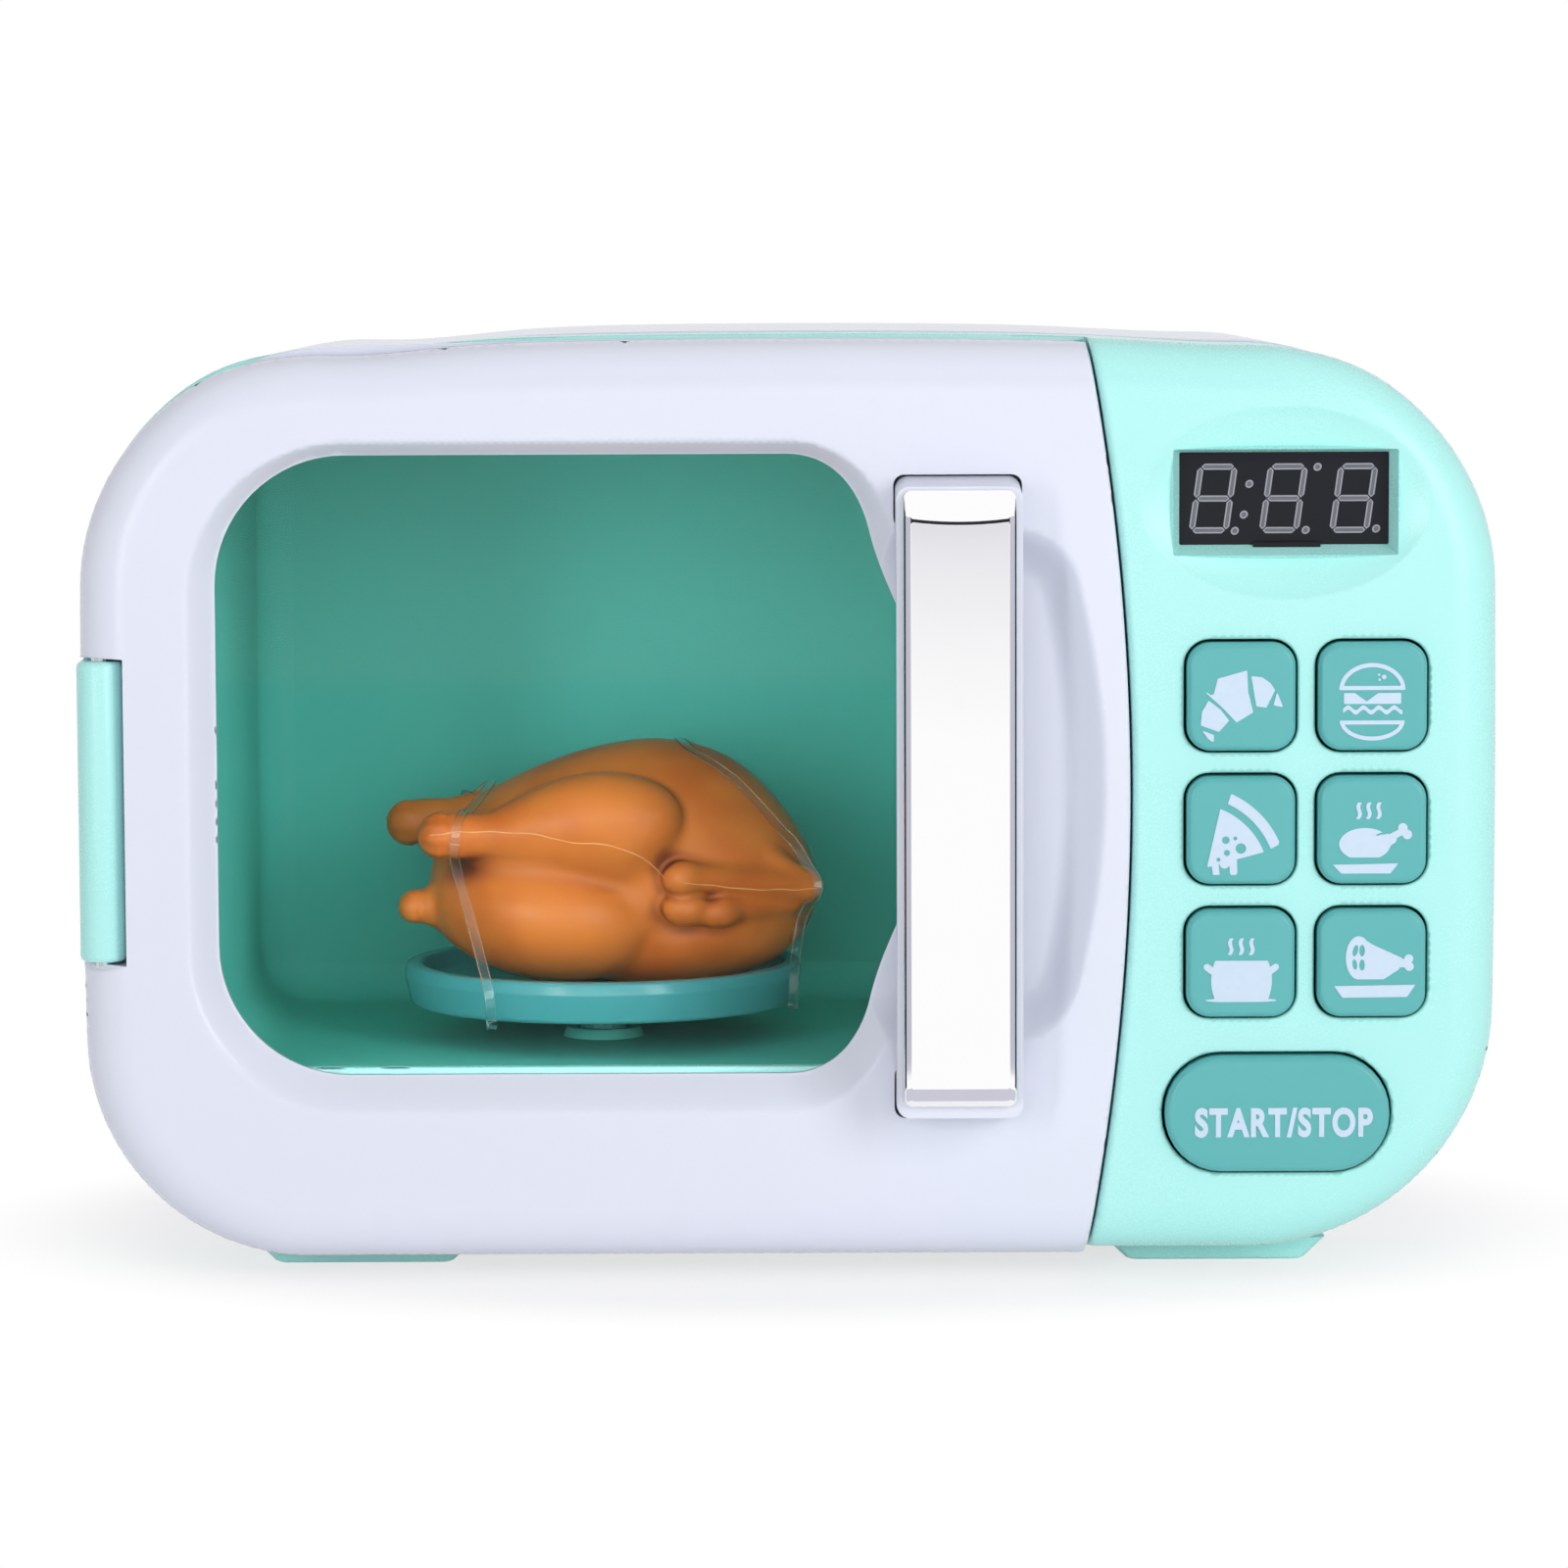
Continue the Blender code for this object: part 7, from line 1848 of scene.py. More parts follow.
def netted(shape: Callable[[np.ndarray], np.ndarray], low: Sequence[float], high: Sequence[float],
           pitch: float) -> tuple[np.ndarray, np.ndarray]:
    """Meshes the surface where a shape is nought.

    Each cell that the surface crosses gets one point, the mean of its edges' crossings, and each grid
    edge that crosses gets a quad of the four cells about it. One step down the slope then puts every
    point on the surface.

    Args:
        shape: below nought inside, of points (..., 3).
        low: lowest corner.
        high: highest corner.
        pitch: the cells' size.

    Returns:
        Points and quads.
    """
    axes = [np.arange(a, b + pitch, pitch) for a, b in zip(low, high)]
    grid = np.stack(np.meshgrid(*axes, indexing="ij"), axis=-1)
    value = np.stack([shape(layer) for layer in grid])
    solid = value < 0
    size = tuple(count - 1 for count in value.shape)
    total, number = np.zeros((*size, 3)), np.zeros(size)
    corners = [(i, j, k) for i in (0, 1) for j in (0, 1) for k in (0, 1)]

    def corner(data: np.ndarray, at: tuple[int, int, int]) -> np.ndarray:
        """The values at one corner of every cell."""
        return data[at[0]:at[0] + size[0], at[1]:at[1] + size[1], at[2]:at[2] + size[2]]

    for one in corners:
        for two in corners:
            if sum(two) - sum(one) == 1 and all(b >= a for a, b in zip(one, two)):
                first, second = corner(value, one), corner(value, two)
                crossed = corner(solid, one) != corner(solid, two)
                share = np.where(crossed, first / np.where(first == second, 1, first - second), 0)
                for axis in range(3):
                    total[..., axis] += np.where(
                        crossed, one[axis] + (two[axis] - one[axis]) * share, 0)
                number += crossed
    index = np.full(size, -1)
    active = number > 0
    index[active] = np.arange(int(active.sum()))
    start = grid[:-1, :-1, :-1][active]
    points = start + total[active] / number[active][:, None] * pitch
    quads = []
    for axis in range(3):
        one = [slice(1, -1)] * 3
        two = [slice(1, -1)] * 3
        one[axis], two[axis] = slice(0, -1), slice(1, None)
        a, b = solid[tuple(one)], solid[tuple(two)]
        others = [number for number in range(3) if number != axis]
        cells = []
        for shift in ((0, 0), (1, 0), (1, 1), (0, 1)):
            place = [slice(None)] * 3
            place[axis] = slice(0, None)
            for other, by in zip(others, shift):
                place[other] = slice(by, size[other] - 1 + by)
            cells.append(index[tuple(place)])
        rows = np.stack(cells, axis=-1)
        forward, backward = a & ~b, b & ~a
        outward = axis != 1
        quads.append(rows[forward] if outward else rows[forward][:, ::-1])
        quads.append(rows[backward][:, ::-1] if outward else rows[backward])
    normal = slope_of(shape, points)
    points = points - shape(points)[:, None] * normal
    return points, np.concatenate(quads)


def slope_of(shape: Callable[[np.ndarray], np.ndarray], points: np.ndarray,
             step: float = 0.05) -> np.ndarray:
    """The outward normal of a shape at points, from small steps along the three axes."""
    parts = []
    for axis in range(3):
        shift = np.zeros(3)
        shift[axis] = step
        parts.append(shape(points + shift) - shape(points - shift))
    normal = np.stack(parts, axis=-1)
    return normal / np.maximum(np.linalg.norm(normal, axis=-1, keepdims=True), 1e-9)


@dataclass
class Roast:
    """The play roast on the plate: body, legs, wings and tail blended into one skin."""

    table: tuple[float, float] = (-35.35, 76.0)
    rest: float = -41.1
    turn: float = -11.0
    pitch: float = 0.62

    @staticmethod
    def seen(across: float, down: float, depth: float) -> tuple[float, float, float]:
        """A point from where a view from in front shows it, and its depth.

        The view's units are thirds of a pixel of the reference frame from the roast's corner.
        """
        scale = 5974.8 / (1050.0 + depth)
        across, down = 395 + across / 3, 735 + down / 3
        x = (across - 802.06) / scale
        rise = (814.76 - down - 0.00403 * (across - 802.06)) / scale
        return x, depth, (rise - 0.094 * depth) / 0.9956 + 0.5

    def shape(self, p: np.ndarray) -> np.ndarray:
        """Distance from the roast: lobes joined softly, folds kept where they meet."""
        seen, turn = self.seen, self.turn
        back = ball(p, seen(815, 425, 77), (27.0, 22.0, 23.3), turn, 3)
        neck = ball(p, seen(1080, 520, 73), (14.5, 15.0, 14.5), turn, -32)
        crown = ball(p, seen(470, 390, 78), (22.0, 19.0, 14.5), turn, 22)
        body = joined(joined(back, neck, 7.0), crown, 8.0)
        belly = ball(p, seen(500, 575, 70), (24.0, 20.5, 13.6), turn, -7)
        body = joined(body, belly, 3.2)
        body = joined(body, ball(p, seen(900, 650, 74), (20.0, 17.0, 9.6), turn, 8), 2.4)
        soft = 1.1 + 2.2 * np.clip((-34.0 - p[..., 0]) / 16, 0, 1) + 2.2 * np.clip(
            (-9.0 - p[..., 2]) / 8, 0, 1)
        result = joined(body, self.leg(p), soft)
        far = joined(ball(p, seen(560, 300, 94), (15.5, 7.5, 9.5), turn, 14),
                     limb(p, seen(150, 305, 95.5), seen(470, 270, 94), 3.6, 6.6), 5.0)
        far = joined(far, self.knuckle(p, seen(118, 306, 95.5), seen(68, 312, 95.5)), 0.8)
        result = joined(result, far, 2.0)
        tail = limb(p, seen(82, 570, 66), seen(240, 562, 69), 3.2, 5.2)
        ring = np.abs(p[..., 0] + 69.5) - 0.35
        tail = tail + 0.22 * np.exp(-(ring / 0.5) ** 2)
        result = joined(result, tail, 1.8)
        result = self.wing(p, result)
        return np.maximum(result, self.rest - p[..., 2])

    def leg(self, p: np.ndarray) -> np.ndarray:
        """The near leg: a thigh that tapers into the shank, with its knuckle and two rings."""
        seen, turn = self.seen, self.turn
        thigh = ball(p, seen(680, 325, 59), (14.3, 9.4, 9.9), turn, 8)
        upper = ball(p, seen(520, 310, 58.5), (13.5, 7.8, 7.2), turn, 17)
        shank = limb(p, seen(225, 352, 57), seen(560, 350, 57.5), 3.5, 5.3)
        grown = joined(joined(thigh, upper, 5.0), shank, 4.5)
        return joined(grown, self.knuckle(p, seen(212, 352, 57), seen(165, 352, 57)), 0.7)

    def knuckle(self, p: np.ndarray, ring: Sequence[float], knob: Sequence[float]) -> np.ndarray:
        """The end of a shank: two thin rings and a rounded knob with faint flutes."""
        ring, knob = np.asarray(ring), np.asarray(knob)
        away = (ring - knob) / np.linalg.norm(ring - knob)
        collar = limb(p, ring - away * 0.3, ring + away * 0.3, 4.35, 4.35)
        second = limb(p, ring + away * 2.2, ring + away * 2.5, 4.1, 4.1)
        end = limb(p, knob, knob + away * 1.2, 4.5, 4.2)
        angle = np.arctan2(p[..., 1] - knob[1], p[..., 2] - knob[2])
        end = end + 0.10 * np.cos(9 * angle)
        return joined(joined(collar, second, 0.3), end, 0.3)

    def wing(self, p: np.ndarray, body: np.ndarray) -> np.ndarray:
        """The near wing folded on itself, with the lump of its tip below, and its twin behind."""
        seen = self.seen
        for depth, side in ((53.5, 1.0), (97.5, -1.0)):
            knee = seen(905, 482, depth)
            tip = seen(1283, 507, depth + side * 9.5)
            arm = limb(p, knee, tip, 2.85, 3.0)
            arm = joined(arm, ball(p, seen(900, 484, depth), (3.7, 3.2, 3.1)), 1.2)
            fold = limb(p, tip, seen(1175, 428, depth + side * 8.5), 2.7, 2.4)
            wing = joined(arm, fold, 1.4)
            lump = joined(ball(p, seen(915, 575, depth + side * 1.2), (4.6, 3.4, 3.4)),
                          ball(p, seen(1010, 592, depth + side * 1.8), (4.0, 3.0, 2.7)), 1.4)
            lump = joined(lump, limb(p, seen(1030, 572, depth + side * 2.5),
                                     seen(1235, 558, depth + side * 9.0), 2.7, 1.9), 1.6)
            body = joined(body, lump, 1.8)
            body = joined(body, wing, 1.5)
        return body

    def build(self, palette: Palette) -> None:
        """Makes the skin, the mask of its painted shade in the folds, and the mould's seam."""
        low = (self.table[0] - 45, self.table[1] - 32, self.rest - 1.5)
        high = (self.table[0] + 46, self.table[1] + 32, 9.0)
        points, quads = netted(self.shape, low, high, self.pitch)
        made = MeshDraft()
        made.add(points, quads, normals=slope_of(self.shape, points))
        thing = made.build("play_roast", Body.TURNTABLE, palette.roast_skin_painted_shade, Slot.ROAST, sharp=70.0,
                           weld=0.0001)
        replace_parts(thing, "roast_chicken")
        mesh = thing.data
        flat = np.empty(len(mesh.vertices) * 3, np.float32)
        mesh.vertices.foreach_get("co", flat)
        places = flat.reshape(-1, 3) / MILLIMETRE - DRAWING_ORIGIN
        # Painted shade: a point whose spot 3 mm out along its normal still lies near or inside the roast is
        # in a fold, and the skin's colour darkens there
        reach = 3.0
        out = places + slope_of(self.shape, places) * reach
        fold = np.clip(1 - self.shape(out) / reach, 0, 1)
        mesh.attributes.new("fold", "FLOAT", "POINT").data.foreach_set("value", fold.astype(np.float32))
        self.seam(palette)

    def on_skin(self, across: np.ndarray, down: np.ndarray) -> np.ndarray:
        """Where lines of sight from in front first meet the roast: steps of the distance itself."""
        depth = np.full_like(across, 40.0)
        for _ in range(60):
            points = np.stack(self.seen_all(across, down, depth), axis=-1)
            depth = depth + np.clip(self.shape(points), -0.5, 2.0) * 0.8
        return np.stack(self.seen_all(across, down, depth), axis=-1)

    def seen_all(self, across: np.ndarray, down: np.ndarray, depth: np.ndarray) -> tuple:
        """The same as seen, for arrays."""
        return self.seen(across, down, depth)

    def seam(self, palette: Palette) -> None:
        """The thin flash that the mould left, coloured paler than the skin as a painted highlight: a fine
        thread along the shank and on along the wing.
        """
        lines = {
            "leg": ((128, 352), (215, 343), (330, 340), (470, 352), (560, 374), (690, 384), (780, 418),
                    (850, 482)),
            "wing": ((905, 497), (1000, 508), (1120, 518), (1230, 520), (1318, 514))}
        for name, knots in lines.items():
            knots = np.asarray(knots, float)
            share = np.linspace(0, len(knots) - 1, 24 * (len(knots) - 1))
            across = np.interp(share, np.arange(len(knots)), knots[:, 0])
            down = np.interp(share, np.arange(len(knots)), knots[:, 1])
            soft = np.ones(9) / 9
            across[4:-4], down[4:-4] = (np.convolve(line, soft, "valid") for line in (across, down))
            down = down + 2.2 * np.sin(share * 5.1) * np.sin(share * 1.7)
            path = self.on_skin(across, down)
            width = 0.09 + 0.07 * np.abs(np.sin(share * 2.3 + 0.7)) * np.abs(np.sin(share * 0.9))
            made = MeshDraft()
            made.add_grid(thread(path, width, 6), wrap_columns=True)
            made.build(f"roast_seam_{name}", Body.TURNTABLE, palette.seam, Slot.ROAST, weld=0.0005)


def thread(path: np.ndarray, radius: np.ndarray, sides: int) -> np.ndarray:
    """A round thread about a path, whose ends close to points.

    At each point two directions square to the path carry a circle of the radius there.
    """
    radius = np.array(radius, float)
    radius[0] = radius[-1] = 0.0
    along = np.gradient(path, axis=0)
    along /= np.linalg.norm(along, axis=1, keepdims=True)
    up = np.array((0.0, 0.0, 1.0))
    side = np.cross(along, up)
    side /= np.maximum(np.linalg.norm(side, axis=1, keepdims=True), 1e-9)
    over = np.cross(side, along)
    angle = np.linspace(0, 2 * np.pi, sides, endpoint=False)
    ring = side[:, None] * np.cos(angle)[:, None] + over[:, None] * np.sin(angle)[:, None]
    return path[:, None] + ring * radius[:, None, None]


@dataclass
class RearCover:
    """The white rear shell: its sides, rounded back edge and back wall with all its openings."""

    form: BodyForm
    near: float = 40.3
    wall: float = 2.2
    socket_radius: float = 2.9
    socket_end: float = 62.5
    screws: tuple = ((-75.0, 71.8), (-75.0, -70.0), (64.0, 71.8), (64.0, -70.0))
    speaker: tuple[float, float] = (91.0, 47.0)
    slot_pitch: float = 3.4
    slot_width: float = 1.6
    battery: tuple[float, float, float, float] = (75.0, -34.0, 56.9, 45.0)
    feet_near: float = 120.0

    def slots(self) -> list[Outline]:
        """The seven upright slots of the loudspeaker, longest in the middle."""
        x, z = self.speaker
        result = []
        for number in range(-3, 4):
            across = number * self.slot_pitch
            half = math.sqrt(12.4 ** 2 - across ** 2)
            near = self.slot_width / 2
            result.append(rounded_box(x + across - near, x + across + near, z - half, z + half,
                                      (near * 0.99,) * 4, 5, 4.0))
        return result

    def square(self, grow: float, radius: float) -> Outline:
        """The battery opening grown on all sides."""
        x, z, width, height = self.battery
        return rounded_box(x - width / 2 - grow, x + width / 2 + grow, z - height / 2 - grow,
                           z + height / 2 + grow, (radius,) * 4, 8, 6.0)

    def build(self, palette: Palette) -> bpy.types.Object:
        """Makes the shell as rings from its front edge round the back, and the same again inside."""
        form, back = self.form, self.form.back
        made = MeshDraft()
        outer, inner = [(0.5, self.near + 0.25), (0.5, 90.0)], [(0.5 + self.wall, self.near)]
        for angle in (0, 12, 25, 38, 51, 64, 77, 90):
            drawn = form.cover_round * (1 - math.cos(math.radians(angle)))
            depth = back - form.cover_round * (1 - math.sin(math.radians(angle)))
            outer.append((0.5 + drawn, depth))
            inner.append((0.5 + self.wall + drawn, depth - self.wall))
        outer = [(0.75, self.near)] + outer
        for levels, flip in ((outer, False), (inner, True)):
            loops = [form.outline(inset) for inset, _ in levels]
            count = max(len(loop) for loop in loops)
            rows = [np.column_stack((loop[:, 0], np.full(count, depth), loop[:, 1]))
                    for loop, (_, depth) in zip((resampled(loop, count) for loop in loops), levels)]
            made.add_grid(np.stack(rows), wrap_columns=True, flip=flip)
            if flip:
                edge = rows[0][:, (0, 2)]
                flat, triangles = filled([first[:, (0, 2)], edge], np.zeros((0, 2)))
                made.add(placed_at(flat, self.near), triangles, False)
                inner_edge = rows[-1][:, (0, 2)]
            else:
                first, outer_edge = rows[0], rows[-1][:, (0, 2)]
        sockets = [rounded_box(x - r, x + r, z - r, z + r, (r * 0.999,) * 4, 8, 9.0)
                   for x, z in self.screws for r in (self.socket_radius,)]
        rebate, opening = self.square(3.3, 6.0), self.square(0.0, 3.0)
        slots = self.slots()
        flat, triangles = filled([outer_edge, *slots, *sockets, rebate], np.zeros((0, 2)))
        made.add(placed_at(flat, back), triangles, True)
        flat, triangles = filled([inner_edge, *slots, opening], np.zeros((0, 2)))
        made.add(placed_at(flat, back - self.wall), triangles, False)
        flat, triangles = filled([rebate, opening], np.zeros((0, 2)))
        made.add(placed_at(flat, back - 1.1), triangles, True)
        walls = [(slot, back - self.wall, back) for slot in slots]
        walls += [(socket, self.socket_end, back) for socket in sockets]
        walls += [(rebate, back - 1.1, back), (opening, back - self.wall, back - 1.1)]
        for loop, low, high in walls:
            made.add_grid(np.stack((placed_at(loop, low), placed_at(loop, high))), wrap_columns=True,
                          flip=False)
        for socket in sockets:
            flat, triangles = filled([socket], np.zeros((0, 2)))
            made.add(placed_at(flat, self.socket_end), triangles, True)
        return made.build("rear_shell", Body.HOUSING, palette.white, Slot.WHITE, sharp=40.0)


def placed_at(flat: np.ndarray, depth: float) -> np.ndarray:
    """Points (x, z) put at one depth."""
    return np.column_stack((flat[:, 0], np.full(len(flat), depth), flat[:, 1]))


@dataclass
class Tie:
    """A clear band round the roast and its plate, with thicker edges."""

    name: str
    knots: tuple
    half: float = 0.95
    thick: float = 0.07
    edge: float = 0.17

    def build(self, palette: Palette, roast: Roast) -> bpy.types.Object:
        """Smooths the path through its knots, lifts it off the roast and sweeps the section along it.

        Lift: a point nearer than 0.3 mm moves out along the roast's slope, and neighbours even out.
        The section is a flat band whose thickness swells to a bead at both edges.
        """
        knots = np.asarray(self.knots, float)
        share = np.linspace(0, len(knots), 320, endpoint=False)
        low = np.floor(share).astype(int)
        part = (share - low)[:, None]
        before, one, two, after = (knots[(low + shift) % len(knots)] for shift in (-1, 0, 1, 2))
        path = 0.5 * (2 * one + (two - before) * part + (2 * before - 5 * one + 4 * two - after) * part ** 2
                      + (3 * one - before - 3 * two + after) * part ** 3)
        straight = one + (two - one) * part
        path = path * 0.5 + straight * 0.5
        for _ in range(9):
            path = (np.roll(path, 1, axis=0) + 2 * path + np.roll(path, -1, axis=0)) / 4
            away = roast.shape(path)
            path = path + slope_of(roast.shape, path) * np.maximum(0.3 - away, 0)[:, None]
        along = np.roll(path, -1, axis=0) - np.roll(path, 1, axis=0)
        along /= np.linalg.norm(along, axis=1, keepdims=True)
        outward = path - path.mean(axis=0)
        outward[:, 0] = 0
        side = np.cross(along, outward)
        side /= np.linalg.norm(side, axis=1, keepdims=True)
        normal = np.cross(side, along)
        section = [(-1.0, 0.0), (-0.96, 1.0), (-0.86, 0.9), (-0.8, 0.35), (0.0, 0.35), (0.8, 0.35),
                   (0.86, 0.9), (0.96, 1.0), (1.0, 0.0), (0.96, -1.0), (0.86, -0.9), (0.8, -0.35),
                   (0.0, -0.35), (-0.8, -0.35), (-0.86, -0.9), (-0.96, -1.0)]
        rows = np.stack([path + side * across * self.half + normal * up * self.edge
                         for across, up in section], axis=1)
        made = MeshDraft()
        made.add_grid(rows, wrap_rows=True, wrap_columns=True, flip=True)
        return made.build(self.name, Body.TURNTABLE, palette.band, Slot.CLEAR, sharp=50.0)


TIES = {
    "tie_left": ((-55.0, 38.5, -46.0), (-55.1, 37.2, -44.5), (-55.6, 37.2, -38.2), (-59.2, 44.0, -26.0),
                 (-62.5, 51.0, -15.5), (-62.0, 55.0, -10.2), (-57.0, 70.0, -3.6), (-57.0, 84.0, -3.6),
                 (-62.0, 95.0, -9.0), (-62.5, 101.0, -15.0), (-58.0, 109.0, -27.0), (-55.6, 115.2, -38.2),
                 (-55.1, 115.6, -44.5), (-55.0, 114.0, -46.0)),
    "tie_right": ((1.1, 63.6, -46.0), (1.2, 62.3, -44.5), (1.4, 62.3, -38.0), (2.8, 61.8, -28.5),
                  (5.8, 60.5, -22.0), (1.0, 64.0, -13.2), (-9.0, 67.0, -6.0), (-19.0, 71.0, 1.0),
                  (-21.0, 81.0, 2.0), (-10.0, 87.0, -5.0), (1.0, 90.0, -13.2), (5.8, 92.0, -22.0),
                  (2.8, 91.0, -28.5), (1.4, 89.9, -38.0), (1.2, 89.9, -44.5), (1.1, 88.6, -46.0))}


# Name, place, aim and size in millimetres, watts, and whether reflections show the lamp.
LAMPS = (("key_softbox", (700, -900, 380), (0, 0, 80), (420, 620), 4.6, True),
         ("strip_softbox", (-520, -1050, 170), (-20, 0, 90), (130, 620), 2.6, True),
         ("front_softbox", (0, -1500, 170), (0, 0, 80), (900, 700), 4.7),
         ("top_softbox", (0, 60, 900), (0, 0, 60), (700, 600), 0.9),
         ("back_softbox", (0, 1300, 420), (0, 0, 80), (1100, 700), 6.0))
LILAC_CARD, BLACK_CARD = (0.52, 0.51, 0.6), (0.02, 0.02, 0.025)
# Name, place, aim and size in millimetres, colour, and the fade at its foot.
FLAGS = (("brow_flag", (0, -1150, 560), (0, 0, 90), (1700, 500), (0.03, 0.03, 0.035)),
         ("side_flag_0", (-160, -270, 150), (30, -80, 150), (200, 296), LILAC_CARD),
         ("side_flag_2", (220, -270, 150), (30, -80, 150), (200, 296), LILAC_CARD),
         ("edge_flag_0", (30.85 - 16, -84, 90), (30.85, -84, 90), (8, 112), BLACK_CARD),
         ("edge_flag_2", (30.85 + 16, -84, 90), (30.85, -84, 90), (8, 112), BLACK_CARD),
         ("floor_flag", (30, -120, 0.6), (30, -120, 100), (110, 66), (0.6, 0.59, 0.68)),
         ("grey_flag", (30, -1250, 150), (30, 0, 150), (460, 280), (0.77, 0.76, 0.80), 95.0))


@dataclass
class Studio:
    """A pale floor, soft lamps and the camera at the photograph's angle."""

    target: tuple[float, float, float] = (0.0, -67.0, 87.7)
    distance: float = 1050.0
    tilt: float = 5.394
    roll: float = 0.231
    focal: float = 5974.8
    frame_size: float = 1600.0
    centre: tuple[float, float] = (802.06, 814.76)

    def build(self) -> None:
        """Makes floor, lamps, world and camera."""
        self.floor()
        self.world()
        for lamp in LAMPS:
            self.lamp(*lamp)
        for flag in FLAGS:
            self.flag(*flag)
        self.camera()
        bpy.context.scene.view_settings.view_transform = "Standard"

    def floor(self) -> None:
        """A wide white floor that keeps the shadow and shows plain white to the camera's far view."""
        graph = Graph("floor_paper")
        where = graph.place()
        paper = graph.noise(where, 300.0, 3.0)
        paint = graph.principled(Base_Color=graph.blend(paper, (0.95, 0.95, 0.95), (0.97, 0.97, 0.97)),
                                 Roughness=0.7)
        glow = graph.add("ShaderNodeEmission", {}, {"Color": (1, 1, 1, 1), "Strength": 1.0})
        reach = graph.add("ShaderNodeVectorMath", {"operation": "LENGTH"}, {
            0: graph.moved(where, (0, 0.0, 0), (7.4, 10.5, 0))}, "Value")
        away = reach.ramp(0.86, 1.22)
        path = graph.add("ShaderNodeLightPath", {}, {}, "Is Camera Ray")
        other = graph.add("ShaderNodeLightPath", {}, {}, "Is Glossy Ray")
        third = graph.add("ShaderNodeLightPath", {}, {}, "Is Transmission Ray")
        seen = (path + other + third).clamped()
        mix = graph.add("ShaderNodeMixShader", {}, {0: seen * (away * 0.3 + 0.7), 1: paint, 2: glow})
        mesh = bpy.data.meshes.new("studio_floor")
        half = 6.0
        mesh.from_pydata([(-half, -half, 0), (half, -half, 0), (half, half, 0), (-half, half, 0)], [],
                         [(0, 1, 2, 3)])
        thing = bpy.data.objects.new("studio_floor", mesh)
        bpy.context.scene.collection.objects.link(thing)
        mesh.materials.append(graph.close(mix))

    def world(self) -> None:
        """White to the eye, to reflections and through glass; a soft even light to the rest."""
        world = bpy.data.worlds.new("studio")
        bpy.context.scene.world = world
        world.use_nodes = True
        tree = world.node_tree
        tree.nodes.clear()
        way_out = tree.nodes.new("ShaderNodeOutputWorld")
        light = tree.nodes.new("ShaderNodeBackground")
        light.inputs["Strength"].default_value = 0.38
        sight = tree.nodes.new("ShaderNodeBackground")
        sight.inputs["Strength"].default_value = 1.0
        for node, colour in ((light, (0.96, 0.97, 1.0, 1.0)), (sight, (1.0, 1.0, 1.0, 1.0))):
            node.inputs["Color"].default_value = colour
        path = tree.nodes.new("ShaderNodeLightPath")
        total = tree.nodes.new("ShaderNodeMath")
        total.operation = "ADD"
        total.use_clamp = True
        first = tree.nodes.new("ShaderNodeMath")
        first.operation = "ADD"
        tree.links.new(path.outputs["Is Camera Ray"], first.inputs[0])
        tree.links.new(path.outputs["Is Glossy Ray"], first.inputs[1])
        tree.links.new(first.outputs[0], total.inputs[0])
        tree.links.new(path.outputs["Is Transmission Ray"], total.inputs[1])
        mix = tree.nodes.new("ShaderNodeMixShader")
        tree.links.new(total.outputs[0], mix.inputs[0])
        tree.links.new(light.outputs[0], mix.inputs[1])
        tree.links.new(sight.outputs[0], mix.inputs[2])
        tree.links.new(mix.outputs[0], way_out.inputs["Surface"])

    def flag(self, name: str, place: Sequence[float], aim: Sequence[float], size: Sequence[float],
             colour: tuple, fade: float = 0.5) -> None:
        """A studio flag: a card that only reflections see, so that metal has something to show.

        It starts white at its foot and reaches its colour after the fade, in millimetres.
        """
        graph = Graph(name)
        x, y = (value * MILLIMETRE / 2 for value in size)
        _, height, _ = graph.parts(graph.place())
        glow = graph.add("ShaderNodeEmission", {}, {
            "Color": graph.blend(height.ramp(-y, fade * MILLIMETRE - y), (0.97, 0.97, 0.97), colour),
            "Strength": 1.0})
        mesh = bpy.data.meshes.new(name)
        mesh.from_pydata([(-x, -y, 0), (x, -y, 0), (x, y, 0), (-x, y, 0)], [], [(0, 1, 2, 3)])
        mesh.materials.append(graph.close(glow))
        thing = bpy.data.objects.new(name, mesh)
        thing.location = Vector(place) * MILLIMETRE
        thing.rotation_euler = (Vector(aim) - Vector(place)).to_track_quat("Z", "Y").to_euler()
        for ray in ("camera", "diffuse", "transmission", "volume_scatter", "shadow"):
            setattr(thing, f"visible_{ray}", False)
        bpy.context.scene.collection.objects.link(thing)

    def lamp(self, name: str, place: Sequence[float], aim: Sequence[float], size: Sequence[float],
             power: float, mirrored: bool = False) -> None:
        """One area lamp; places and sizes in millimetres of the frame, power in watts."""
        data = bpy.data.lights.new(name, "AREA")
        data.shape = "RECTANGLE"
        data.size, data.size_y = (value * MILLIMETRE for value in size)
        data.energy = power
        thing = bpy.data.objects.new(name, data)
        thing.visible_glossy = mirrored
        thing.location = Vector(place) * MILLIMETRE
        turn = (Vector(aim) - Vector(place)).to_track_quat("-Z", "Y")
        thing.rotation_euler = turn.to_euler()
        bpy.context.scene.collection.objects.link(thing)

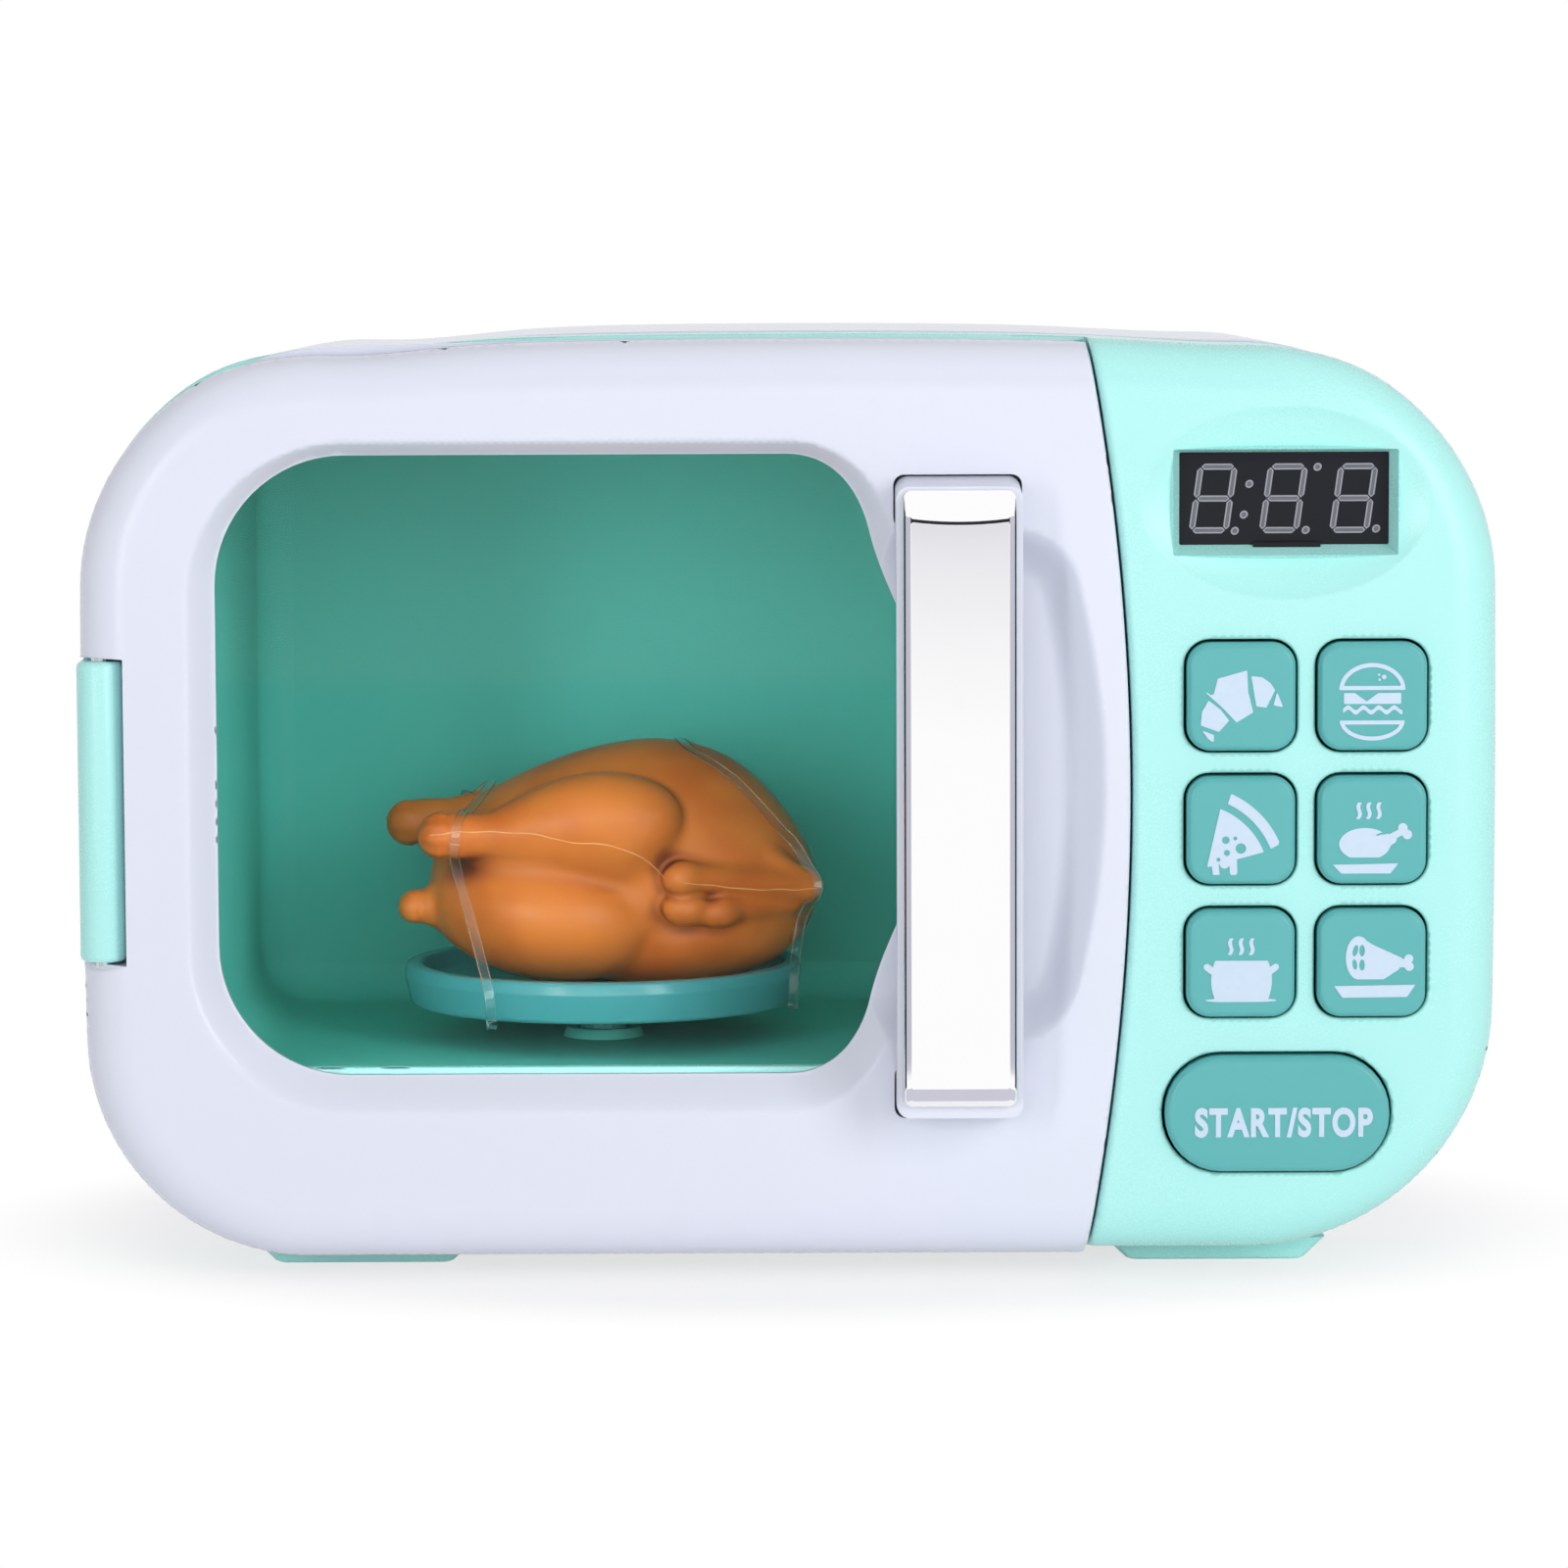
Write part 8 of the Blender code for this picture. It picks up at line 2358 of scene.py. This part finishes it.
    def camera(self) -> None:
        """The camera, from a target, a tilt and a distance; a small shift frames the photograph."""
        data = bpy.data.cameras.new("photo_camera")
        data.sensor_width = 36.0
        data.sensor_fit = "HORIZONTAL"
        data.lens = data.sensor_width * self.focal / self.frame_size
        middle = self.frame_size / 2
        data.shift_x = -(self.centre[0] - middle) / self.frame_size
        data.shift_y = (self.centre[1] - middle) / self.frame_size
        data.clip_start, data.clip_end = 0.05, 40.0
        tilt = math.radians(self.tilt)
        forward = Vector((0, math.cos(tilt), -math.sin(tilt)))
        thing = bpy.data.objects.new("photo_camera", data)
        thing.location = (Vector(self.target) - forward * self.distance) * MILLIMETRE
        turn = forward.to_track_quat("-Z", "Y").to_matrix() @ Matrix.Rotation(
            -math.radians(self.roll), 3, "Z")
        thing.rotation_euler = turn.to_euler()
        bpy.context.scene.collection.objects.link(thing)
        bpy.context.scene.camera = thing


def dress_nodes(palette: Palette) -> None:
    """Gives every CAD node that stays its own finish."""
    finishes = {
        Slot.MINT: palette.mint, Slot.WHITE: palette.white, Slot.TEAL: palette.teal,
        Slot.LINER: palette.liner, Slot.CHROME: palette.chrome, Slot.STEEL: palette.steel,
        Slot.CLEAR: palette.pane, Slot.BLACK: palette.black, Slot.BOARD: palette.board,
        Slot.NATURAL: palette.natural, Slot.JACKET: palette.jacket, Slot.ROAST: palette.roast,
    }
    slots = {part["node"]: part["material_slot"] for part in frame["record"]["subparts"]}
    for name, node in frame["nodes"].items():
        finish = finishes[Slot(slots.get(name, Slot.WHITE.value))]
        if name == "drive_spindle":
            finish = palette.teal
        for number in range(max(len(node.data.materials), 1)):
            if number < len(node.data.materials):
                node.data.materials[number] = finish.material()
            else:
                node.data.materials.append(finish.material())


def main() -> None:
    """Builds the toy, its finishes and its studio in order."""
    logging.basicConfig(level=logging.INFO, format="%(message)s")
    palette = Palette()
    form = BodyForm()
    dress_nodes(palette)
    shell = BodyForm(low_lift=2.0)
    panel = ControlPanel(shell)
    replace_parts(panel.build(palette), "front_housing")
    for piece in DoorSurround(shell).build(palette):
        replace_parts(piece, "front_housing")
    front, bridge, bar = Door(form).build(palette)
    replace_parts(front, "door_frame")
    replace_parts(bridge, "handle_base")
    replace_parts(bar, "handle_bar")
    Keys(panel).build(palette)
    Display(panel).build(palette)
    Oven().build(palette)
    roast = Roast()
    roast.build(palette)
    for name, knots in TIES.items():
        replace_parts(Tie(name, knots).build(palette, roast), f"packing_{name}")
    cover = BodyForm(sag=0.1, shoulder=(1.25, 76.0, 20.0), shoulder_lean=0.55)
    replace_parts(RearCover(cover).build(palette), "rear_cover")
    surround = DoorSurround(form)
    for side, x in zip(("left", "right"), surround.feet):
        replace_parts(foot_piece(f"rear_foot_{side}", x, RearCover.feet_near, surround, form,
                               palette.white, Slot.WHITE), "rear_cover")
    Studio().build()


if __name__ == "__main__":
    main()
